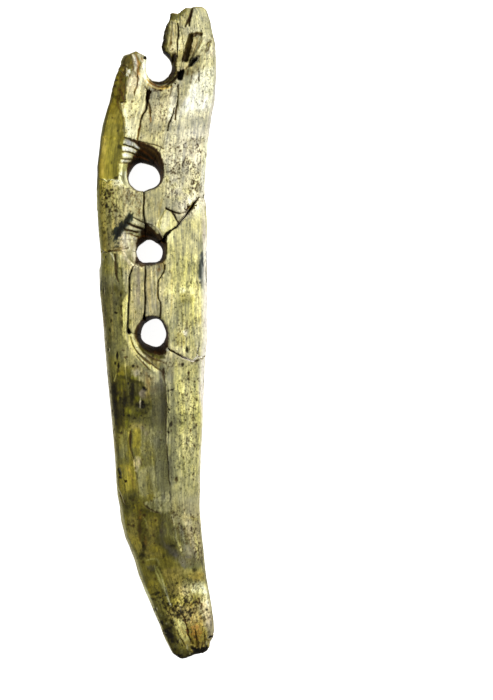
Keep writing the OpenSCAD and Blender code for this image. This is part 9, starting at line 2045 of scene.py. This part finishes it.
def piece_field(name):
    cell = CELL[name]
    inside = cell < 1.2
    ii, jj = np.where(inside.any(1))[0], np.where(inside.any(0))[0]
    i0, i1 = max(ii[0] - 2, 0), min(ii[-1] + 3, len(AX))
    j0, j1 = max(jj[0] - 2, 0), min(jj[-1] + 3, len(AY))
    z = AZ[None, None, :]
    body = body_field(i0, i1, j0, j1)
    gap = -0.12 * closed_fit(PXX[i0:i1, j0:j1, None], PYY[i0:i1, j0:j1, None], z)
    cut = cell[i0:i1, j0:j1, None] + np.zeros((1, 1, len(AZ)), F32)
    seam = z - SEAM_H[:, j0:j1]
    up = np.maximum(CELL["upper_back_sheet"][i0:i1, j0:j1, None], seam)
    up = np.maximum(up, (PYY[i0:i1, j0:j1, None] - 76.0))
    lo = np.maximum(CELL["lower_back_sheet"][i0:i1, j0:j1, None], seam)
    if name == "upper_back_sheet":
        cut = up
    elif name == "lower_back_sheet":
        cut = lo
    else:
        cut = np.maximum(cut, -np.minimum(up, lo))
        if name == "tall_prong":
            cut = np.maximum(cut, -np.maximum(CELL["rim_flake"][i0:i1, j0:j1, None], 10.5 - z))
        elif name == "rim_flake":
            cut = np.maximum(cut, 10.5 - z)
        elif name == "short_prong":
            cut = np.maximum(cut, -np.maximum(CELL["edge_lamella"][i0:i1, j0:j1, None], 9.5 - z))
        elif name == "edge_lamella":
            cut = np.maximum(cut, 9.5 - z)
        elif name == "handle":
            cut = np.maximum(cut, -np.maximum(CELL["front_right_lamella"][i0:i1, j0:j1, None], 8.0 - z))
        elif name == "front_right_lamella":
            cut = np.maximum(cut, 8.0 - z)
    f = np.maximum(body, cut + gap)
    f = gape(f, body, i0, i1, j0, j1)
    f = np.pad(f, 1, constant_values=5.0)
    return f, (AX[i0] - H, AY[j0] - H, AZ[0] - H), body, (AX[i0], AY[j0], AZ[0])


def grid_sample(g, origin, v):
    """Trilinear sample of a voxel grid at points."""
    u = (v - np.array(origin)) / H
    out = np.zeros(len(v), F32)
    i = np.floor(u).astype(int)
    for k in range(3):
        i[:, k] = np.clip(i[:, k], 0, g.shape[k] - 2)
    w = np.clip(u - i, 0, 1).astype(F32)
    for dx in (0, 1):
        for dy in (0, 1):
            for dz in (0, 1):
                out += (w[:, 0] if dx else 1 - w[:, 0]) * (w[:, 1] if dy else 1 - w[:, 1]) * (w[:, 2] if dz else 1 - w[:, 2]) * g[i[:, 0] + dx, i[:, 1] + dy, i[:, 2] + dz]
    return out


def surface_nets(f, origin):
    """Vertices in mm and quads of the zero surface."""
    inside = f < 0
    dims = np.array(f.shape) - 1
    stride = np.array([dims[1] * dims[2], dims[2], 1])
    cells, places, quads = [], [], []
    for axis in range(3):
        a = [slice(None)] * 3
        b = [slice(None)] * 3
        a[axis], b[axis] = slice(None, -1), slice(1, None)
        ia, ib = inside[tuple(a)], inside[tuple(b)]
        idx = np.argwhere(ia != ib)
        i0 = tuple(idx.T)
        fa, fb = f[tuple(a)][i0], f[tuple(b)][i0]
        pos = idx.astype(np.float64)
        pos[:, axis] += fa / (fa - fb)
        u, v = (axis + 1) % 3, (axis + 2) % 3
        base = idx @ stride
        four = [base, base - stride[u], base - stride[u] - stride[v], base - stride[v]]
        cells += four
        places += [pos] * 4
        flip_it = ia[i0]
        q = np.stack(four, 1)
        q[~flip_it] = q[~flip_it][:, ::-1]
        quads.append(q)
    cells = np.concatenate(cells)
    places = np.concatenate(places)
    ids, inv = np.unique(cells, return_inverse=True)
    count = np.bincount(inv)
    verts = np.stack([np.bincount(inv, places[:, k]) / count for k in range(3)], 1)
    faces = np.searchsorted(ids, np.concatenate(quads))
    return verts * H + np.array(origin), faces.astype(np.int32)


def vertex_normals(v, f):
    n = np.cross(v[f[:, 2]] - v[f[:, 0]], v[f[:, 3]] - v[f[:, 1]])
    out = np.zeros_like(v)
    for k in range(3):
        acc = np.zeros(len(v))
        for c in range(4):
            acc += np.bincount(f[:, c], n[:, k], len(v))
        out[:, k] = acc
    return out / np.maximum(np.linalg.norm(out, axis=1, keepdims=True), 1e-9)


# ---------------------------------------------------------------- what each point of the surface shows
def mix_in(rgb, col, w):
    return rgb * (1 - w[:, None]) + col * w[:, None]


def surface_paint(v, n, cav):
    """Colour (sRGB), fleck and gloss at each vertex from the four canvases, by which way the surface faces; the colour
    also carries painted shade where the surface turns from the light.
    """
    x, y, z = v.T
    yc = np.clip(y, -100.5, 100.5)
    l, r = edge_left(yc), edge_right(yc)
    lo, hi = z_lo(yc), z_hi(yc)
    u, zu = (x - l) / (r - l), (z - lo) / (hi - lo)
    rs = step(u, 0.45, 0.55)
    low = rs * (1 - step(y, -26, -16))
    wa = step(n[:, 2], 0.30 + 0.06 * rs - 0.14 * low, 0.62 + 0.04 * rs - 0.2 * low)
    wb = step(-n[:, 2], 0.28 + 0.06 * rs, 0.56 + 0.08 * rs)
    wa_face = step(n[:, 2], 0.22, 0.5)
    # deep inside, in a hole or a break, a side canvas has nothing to show
    hole = np.zeros(len(v))
    for k, h in HOLES.items():
        dx, dy = x - h["c"][0], y - h["c"][1]
        hole = np.maximum(hole, 1 - step(np.hypot(dx, dy) - max(h["throat"]), 0.6, 1.6))
    inner = np.maximum(hole, step(u, 0.24, 0.34) * (1 - step(u, 0.70, 0.8)))
    inner = np.maximum(inner, 0)
    rest = np.clip(1 - wa - wb, 0, 1)
    side = rest * (1 - inner)
    up = step(zu, 0.35, 0.65)
    wa = wa + rest * inner * up
    wb = wb + rest * inner * (1 - up)
    wl, wr = side * (1 - step(u, 0.45, 0.55)), side * step(u, 0.45, 0.55)
    out = []
    for name in ("rgb", "fleck", "gloss"):
        a, b_, c, d = (F.sample(getattr(F, name), p, y) for F, p in ((A, x), (B, x), (L, z), (R, z)))
        ws = (wa, wb, wl, wr)
        if a.ndim == 2:
            ws = tuple(w[:, None] for w in ws)
        out.append(a * ws[0] + b_ * ws[1] + c * ws[2] + d * ws[3])
    rgb, fleck, gloss = out
    # broken ends
    grain = noise3(x * 1.3, y * 0.7, z * 1.3, 5)
    end = step(np.abs(n[:, 1]), 0.55, 0.8) * (1 - hole)
    tip = end * (1 - step(y, -97.5, -94.5))
    rgb = mix_in(rgb, PAL["stain"] * 0.7 + PAL["brown"] * 0.3 * grain[:, None], tip * step(grain, 0.25, 0.5))
    head = end * step(y, 84.5, 86)
    rgb = mix_in(rgb, PAL["ochre"] * (0.75 + 0.5 * grain[:, None]), head * 0.75)
    # inside the breaks; where two pieces fit without a trace the joint takes the colour around it
    dark = step(cav, 0.10, 0.75) * (1 - 0.9 * closed_fit(x, y, z))
    rgb = mix_in(rgb, PAL["umber"] * (0.7 + 0.8 * grain[:, None]) * (1 - 0.5 * step(u, 0.86, 0.92) * step(y, 50, 56))[:, None], dark * 0.92)
    # painted shade: the front's shoulders are darkened and yellowed where they turn away from the light, less at the
    # lower left end and on the right half
    turn = wa_face * (1 - step(n[:, 2], 0.35, 0.86)) * (1 - hole)
    turn = turn * (1 - 0.8 * (1 - step(u, 0.1, 0.2)) * (1 - step(y, -56, -46)) * step(y, -94, -84)) * (1 - 0.85 * step(u, 0.5, 0.7))
    rgb = rgb * (1 - turn[:, None] * np.array([0.30, 0.315, 0.41]))
    # painted shade: the broken inner side of the tall prong, darkened and made more olive where it faces sideways
    wall = step(y, 84, 87) * (1 - step(x, 3, 5)) * step(x, -3.5, -3) * (1 - step(n[:, 2], 0.3, 0.7)) * step(n[:, 2], -0.6, -0.1)
    rgb = rgb * (1 - wall[:, None] * np.array([0.42, 0.44, 0.56]))
    # deeper, richer darks
    rgb = np.clip(rgb, 0.01, 1) ** 1.2
    lum = (rgb @ np.array([0.3, 0.6, 0.1]))[:, None]
    rgb = lum + (rgb - lum) * (1 + 0.55 * (0.5 - lum) + 0.9 * np.maximum(0, 0.36 - lum))
    rgb = rgb * (np.array([0.985, 1.015, 1.045]) + np.array([0.016, -0.01, -0.052]) * step(lum, 0.5, 0.8))
    return np.clip(rgb, 0.01, 1), np.clip(fleck * (1 - dark), 0, 1), gloss * (1 - dark)


def to_linear(c):
    return np.where(c <= 0.04045, c / 12.92, ((c + 0.055) / 1.055) ** 2.4)
# ---------------------------------------------------------------- materials
def ivory(name, spread, rough, specks, streak):
    """Weathered ivory. The vertex colours carry stains, washes and some painted light and shade; the nodes add grain,
    flecks, pores and relief at a finer scale.
    """
    m = bpy.data.materials.new(name)
    m.use_nodes = True
    nt = m.node_tree
    nt.nodes.clear()
    N, LK = nt.nodes.new, nt.links.new

    def node(kind, **kw):
        n = N(kind)
        for k, v in kw.items():
            setattr(n, k, v)
        return n

    def math_(op, a, b=None, c=None, clamp=False):
        n = node("ShaderNodeMath", operation=op, use_clamp=clamp)
        for i, s in enumerate((a, b, c)):
            if s is None:
                continue
            if isinstance(s, (int, float)):
                n.inputs[i].default_value = s
            else:
                LK(s, n.inputs[i])
        return n.outputs[0]

    def ramp(src, a, b, lo=0.0, hi=1.0):
        n = node("ShaderNodeMapRange", clamp=True, interpolation_type="SMOOTHSTEP")
        LK(src, n.inputs["Value"])
        for k, v in (("From Min", a), ("From Max", b), ("To Min", lo), ("To Max", hi)):
            n.inputs[k].default_value = v
        return n.outputs[0]

    def noise(vec, scale, detail=3.0, rough_=0.55, dist=0.0):
        n = node("ShaderNodeTexNoise", noise_dimensions="3D")
        LK(vec, n.inputs["Vector"])
        n.inputs["Scale"].default_value = scale
        n.inputs["Detail"].default_value = detail
        n.inputs["Roughness"].default_value = rough_
        n.inputs["Distortion"].default_value = dist
        return n.outputs["Fac"]

    out = node("ShaderNodeOutputMaterial")
    bs = node("ShaderNodeBsdfPrincipled")
    LK(bs.outputs[0], out.inputs["Surface"])
    tint = node("ShaderNodeAttribute", attribute_name="tint").outputs["Color"]
    form = node("ShaderNodeSeparateColor")
    LK(node("ShaderNodeAttribute", attribute_name="form").outputs["Color"], form.inputs[0])
    fleck, gloss, cav = form.outputs[0], form.outputs[1], form.outputs[2]
    co = node("ShaderNodeTexCoord").outputs["Object"]
    mm = node("ShaderNodeMapping")  # millimetres
    mm.inputs["Scale"].default_value = (1000, 1000, 1000)
    LK(co, mm.inputs["Vector"])
    mm = mm.outputs[0]
    lay = node("ShaderNodeMapping")  # stretched along the grain
    lay.inputs["Scale"].default_value = (1000, 110, 1000)
    lay.inputs["Rotation"].default_value = (0, 0, 0.0)
    LK(co, lay.inputs["Vector"])
    lay = lay.outputs[0]

    lean = node("ShaderNodeMapping")  # a little longer along the grain
    lean.inputs["Scale"].default_value = (1000, 620, 1000)
    LK(co, lean.inputs["Vector"])
    lean = lean.outputs[0]

    fine = noise(lay, 1.7, 4.0, 0.66)
    hair = noise(lay, 7.5, 2.0, 0.5)
    mottle = noise(mm, 1.7, 4.0, 0.6)
    cloud = noise(mm, 0.32, 2.0, 0.5)
    dust = noise(mm, 5.5, 2.0, 0.5)
    pore = node("ShaderNodeTexVoronoi", feature="F1")
    LK(mm, pore.inputs["Vector"])
    pore.inputs["Scale"].default_value = 1.15
    pore.inputs["Randomness"].default_value = 1.0
    psep = node("ShaderNodeSeparateColor")
    LK(pore.outputs["Color"], psep.inputs[0])

    # flecks: some Voronoi cells hold a dark speck, more of them where the canvas says so
    held = math_("LESS_THAN", psep.outputs[0], math_("MULTIPLY", fleck, specks))
    size = math_("MULTIPLY_ADD", psep.outputs[1], 0.16, 0.07)
    dot = math_("SUBTRACT", 1.0, ramp(math_("DIVIDE", math_("ADD", pore.outputs["Distance"], math_("MULTIPLY", math_("SUBTRACT", dust, 0.5), 0.22)), size), 0.7, 1.25))
    dot = math_("MULTIPLY", dot, held)
    crumb = noise(lean, 1.9, 3.0, 0.68)
    over = math_("SUBTRACT", crumb, math_("MULTIPLY_ADD", fleck, -0.12, 0.705))
    pepper = math_("MULTIPLY", ramp(over, 0.0, 0.022), ramp(fleck, 0.02, 0.25))
    scratch = math_("MULTIPLY", ramp(noise(lay, 2.2, 3.0, 0.7), 0.60, 0.72), 0.30 * streak)

    # brightness: long streaks, mottling and soft clouds
    worn = ramp(gloss, 0.25, 0.75, 1.15, 0.35)  # smooth, handled places are evener
    k = math_("MULTIPLY_ADD", math_("SUBTRACT", fine, 0.5), 0.85 * streak, 0.0)
    k = math_("MULTIPLY_ADD", k, worn, 1.0)
    k = math_("ADD", k, math_("MULTIPLY", math_("MULTIPLY", math_("SUBTRACT", mottle, 0.5), 0.62 * spread), worn))
    k = math_("ADD", k, math_("MULTIPLY", math_("SUBTRACT", cloud, 0.5), 0.14 * spread))
    k = math_("ADD", k, math_("MULTIPLY", math_("SUBTRACT", hair, 0.5), 0.20 * streak))
    k = math_("MULTIPLY", k, math_("SUBTRACT", 1.0, scratch))
    vein = node("ShaderNodeMapping")  # hair cracks that run and fork along the grain
    vein.inputs["Scale"].default_value = (1000, 340, 1000)
    LK(co, vein.inputs["Vector"])
    vein = noise(vein.outputs[0], 0.95, 4.0, 0.72, 0.4)
    thin = math_("SUBTRACT", 1.0, ramp(math_("ABSOLUTE", math_("SUBTRACT", vein, 0.5)), 0.004, 0.022))
    thin = math_("MULTIPLY", math_("MULTIPLY", thin, ramp(cloud, 0.40, 0.56)), math_("MULTIPLY", worn, 0.42 * spread))
    k = math_("MULTIPLY", k, math_("SUBTRACT", 1.0, thin))
    mixv = node("ShaderNodeVectorMath", operation="SCALE")
    LK(tint, mixv.inputs[0])
    LK(k, mixv.inputs["Scale"])
    warm = node("ShaderNodeMix", data_type="RGBA", blend_type="MULTIPLY")
    LK(math_("MULTIPLY", ramp(cloud, 0.45, 0.68), 0.45), warm.inputs["Factor"])
    LK(mixv.outputs[0], warm.inputs["A"])
    warm.inputs["B"].default_value = (0.985, 0.97, 0.83, 1)
    honey = node("ShaderNodeMix", data_type="RGBA", blend_type="MULTIPLY")  # yellower streaks
    LK(math_("MULTIPLY", ramp(fine, 0.44, 0.64), math_("MULTIPLY", worn, 0.2)), honey.inputs["Factor"])
    LK(warm.outputs["Result"], honey.inputs["A"])
    honey.inputs["B"].default_value = (1.0, 0.985, 0.72, 1)
    dots = node("ShaderNodeMix", data_type="RGBA", blend_type="MIX")
    LK(math_("MULTIPLY", math_("MAXIMUM", dot, pepper), 0.86), dots.inputs["Factor"])
    LK(honey.outputs["Result"], dots.inputs["A"])
    dots.inputs["B"].default_value = (0.035, 0.028, 0.014, 1)
    LK(dots.outputs["Result"], bs.inputs["Base Color"])

    r = math_("MULTIPLY_ADD", math_("SUBTRACT", mottle, 0.5), 0.30, rough)
    r = math_("SUBTRACT", r, math_("MULTIPLY", gloss, 0.20))
    r = math_("ADD", r, math_("MULTIPLY", dot, 0.15))
    LK(math_("ADD", r, math_("MULTIPLY", cav, 0.25), clamp=True), bs.inputs["Roughness"])
    bs.inputs["Specular IOR Level"].default_value = 0.12
    h = math_("MULTIPLY_ADD", fine, 0.55, math_("MULTIPLY", mottle, 0.55))
    h = math_("ADD", h, math_("MULTIPLY", hair, 0.18))
    h = math_("SUBTRACT", h, math_("MULTIPLY", math_("MAXIMUM", dot, thin), 0.8))
    bump = node("ShaderNodeBump")
    bump.inputs["Strength"].default_value = 0.8
    bump.inputs["Distance"].default_value = 0.00022
    LK(h, bump.inputs["Height"])
    LK(bump.outputs[0], bs.inputs["Normal"])
    return m


MATS = {
    "pale_ivory": ivory("ivory_pale", 1.0, 0.56, 0.34, 0.8),
    "yellow_ivory": ivory("ivory_yellow", 0.9, 0.52, 0.30, 1.0),
    "olive_ivory": ivory("ivory_olive", 1.0, 0.50, 0.26, 1.0),
    "stained_ivory": ivory("ivory_stained", 1.15, 0.50, 0.34, 1.0),
}


# ---------------------------------------------------------------- build
def build_piece(name):
    f, origin, body, at = piece_field(name)
    v, q = surface_nets(f, origin)
    n = vertex_normals(v, q)
    cav = -grid_sample(body, at, v)  # how far under the bar's own surface
    rgb, fleck, gloss = surface_paint(v, n, cav)
    outer = 1 - step(cav, 0.08, 0.3)
    ys = v[:, 1]
    l, r = edge_left(np.clip(ys, -100.5, 100.5)), edge_right(np.clip(ys, -100.5, 100.5))
    s = (v[:, 0] - (l + r) / 2) / (r - l) * 32
    fiber = noise3(s * 1.9, ys * 0.11, v[:, 2] * 1.9, 31) - 0.5
    lump = noise3(s * 0.5, ys * 0.16, v[:, 2] * 0.5, 33) - 0.5
    pit = noise3(s * 1.3, ys * 1.0, v[:, 2] * 1.3, 35) - 0.5
    v = v + n * (outer * (0.11 * fiber + 0.14 * lump + 0.07 * pit))[:, None]
    mesh = bpy.data.meshes.new("ivory_" + name)
    mesh.vertices.add(len(v))
    mesh.vertices.foreach_set("co", (v * 0.001).astype(F32).ravel())
    mesh.loops.add(len(q) * 4)
    mesh.loops.foreach_set("vertex_index", q.ravel())
    mesh.polygons.add(len(q))
    mesh.polygons.foreach_set("loop_start", np.arange(len(q), dtype=np.int32) * 4)
    mesh.polygons.foreach_set("loop_total", np.full(len(q), 4, np.int32))
    mesh.update(calc_edges=True)
    mesh.polygons.foreach_set("use_smooth", np.ones(len(q), bool))
    tint = mesh.color_attributes.new("tint", "FLOAT_COLOR", "POINT")
    tint.data.foreach_set("color", np.concatenate([to_linear(rgb), np.ones((len(v), 1))], 1).astype(F32).ravel())
    form = mesh.color_attributes.new("form", "FLOAT_COLOR", "POINT")
    form.data.foreach_set("color", np.stack([fleck, gloss, np.clip(cav, 0, 1), np.ones(len(v))], 1).astype(F32).ravel())
    mesh.materials.append(MATS[SLOTS[name]])
    ob = bpy.data.objects.new("ivory_" + name, mesh)
    bpy.context.scene.collection.objects.link(ob)
    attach(ob, "root")
    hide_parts(name)
    return ob


for name in PLAN:
    build_piece(name)

# ---------------------------------------------------------------- floor, light, camera (metres)
scene = bpy.context.scene
fm = bpy.data.materials.new("floor")
fm.use_nodes = True
b = fm.node_tree.nodes["Principled BSDF"]
b.inputs["Base Color"].default_value = (0.9, 0.9, 0.89, 1)
b.inputs["Roughness"].default_value = 0.9
b.inputs["Specular IOR Level"].default_value = 0.1
b.inputs["Emission Color"].default_value = (1, 1, 1, 1)
b.inputs["Emission Strength"].default_value = 0.92
bpy.ops.mesh.primitive_plane_add(size=8, location=(0, 0, -0.0002))
floor = bpy.context.object
floor.name = "floor"
floor.data.materials.append(fm)
floor.visible_diffuse = floor.visible_glossy = False  # the pale floor throws no light back onto the edges


def area(name, loc, size, power, color=(1, 1, 1)):
    l = bpy.data.lights.new(name, "AREA")
    l.shape = "DISK"
    l.size, l.energy, l.color = size, power, color
    o = bpy.data.objects.new(name, l)
    o.location = loc
    o.rotation_euler = (-Vector(loc)).to_track_quat("-Z", "Y").to_euler()
    scene.collection.objects.link(o)


area("key", (0.75, 0.5, 0.62), 0.3, 12.4, (1.0, 0.998, 0.965))
area("fill", (-0.7, 0.1, 0.6), 0.6, 2.4, (1.0, 0.99, 0.93))
world = bpy.data.worlds.new("studio")
world.use_nodes = True
world.node_tree.nodes["Background"].inputs["Color"].default_value = (1, 1, 1, 1)
world.node_tree.nodes["Background"].inputs["Strength"].default_value = 0.35
scene.world = world

cam = bpy.data.cameras.new("camera")
cam.sensor_width = 36.0
cam.lens = 300.0
cam.clip_end = 20.0
co = bpy.data.objects.new("camera", cam)
# 700 plate units high, and the frame's long side fills the sensor
height_m = 700 / PX * 0.001
dist = height_m * cam.lens / cam.sensor_width + 0.0075
co.location = ((246.5 - 157.0) / PX * 0.001, (333.0 - 350.0) / PX * 0.001, dist)
co.rotation_euler = (0, 0, 0)
scene.collection.objects.link(co)
scene.camera = co
scene.view_settings.view_transform = "Standard"
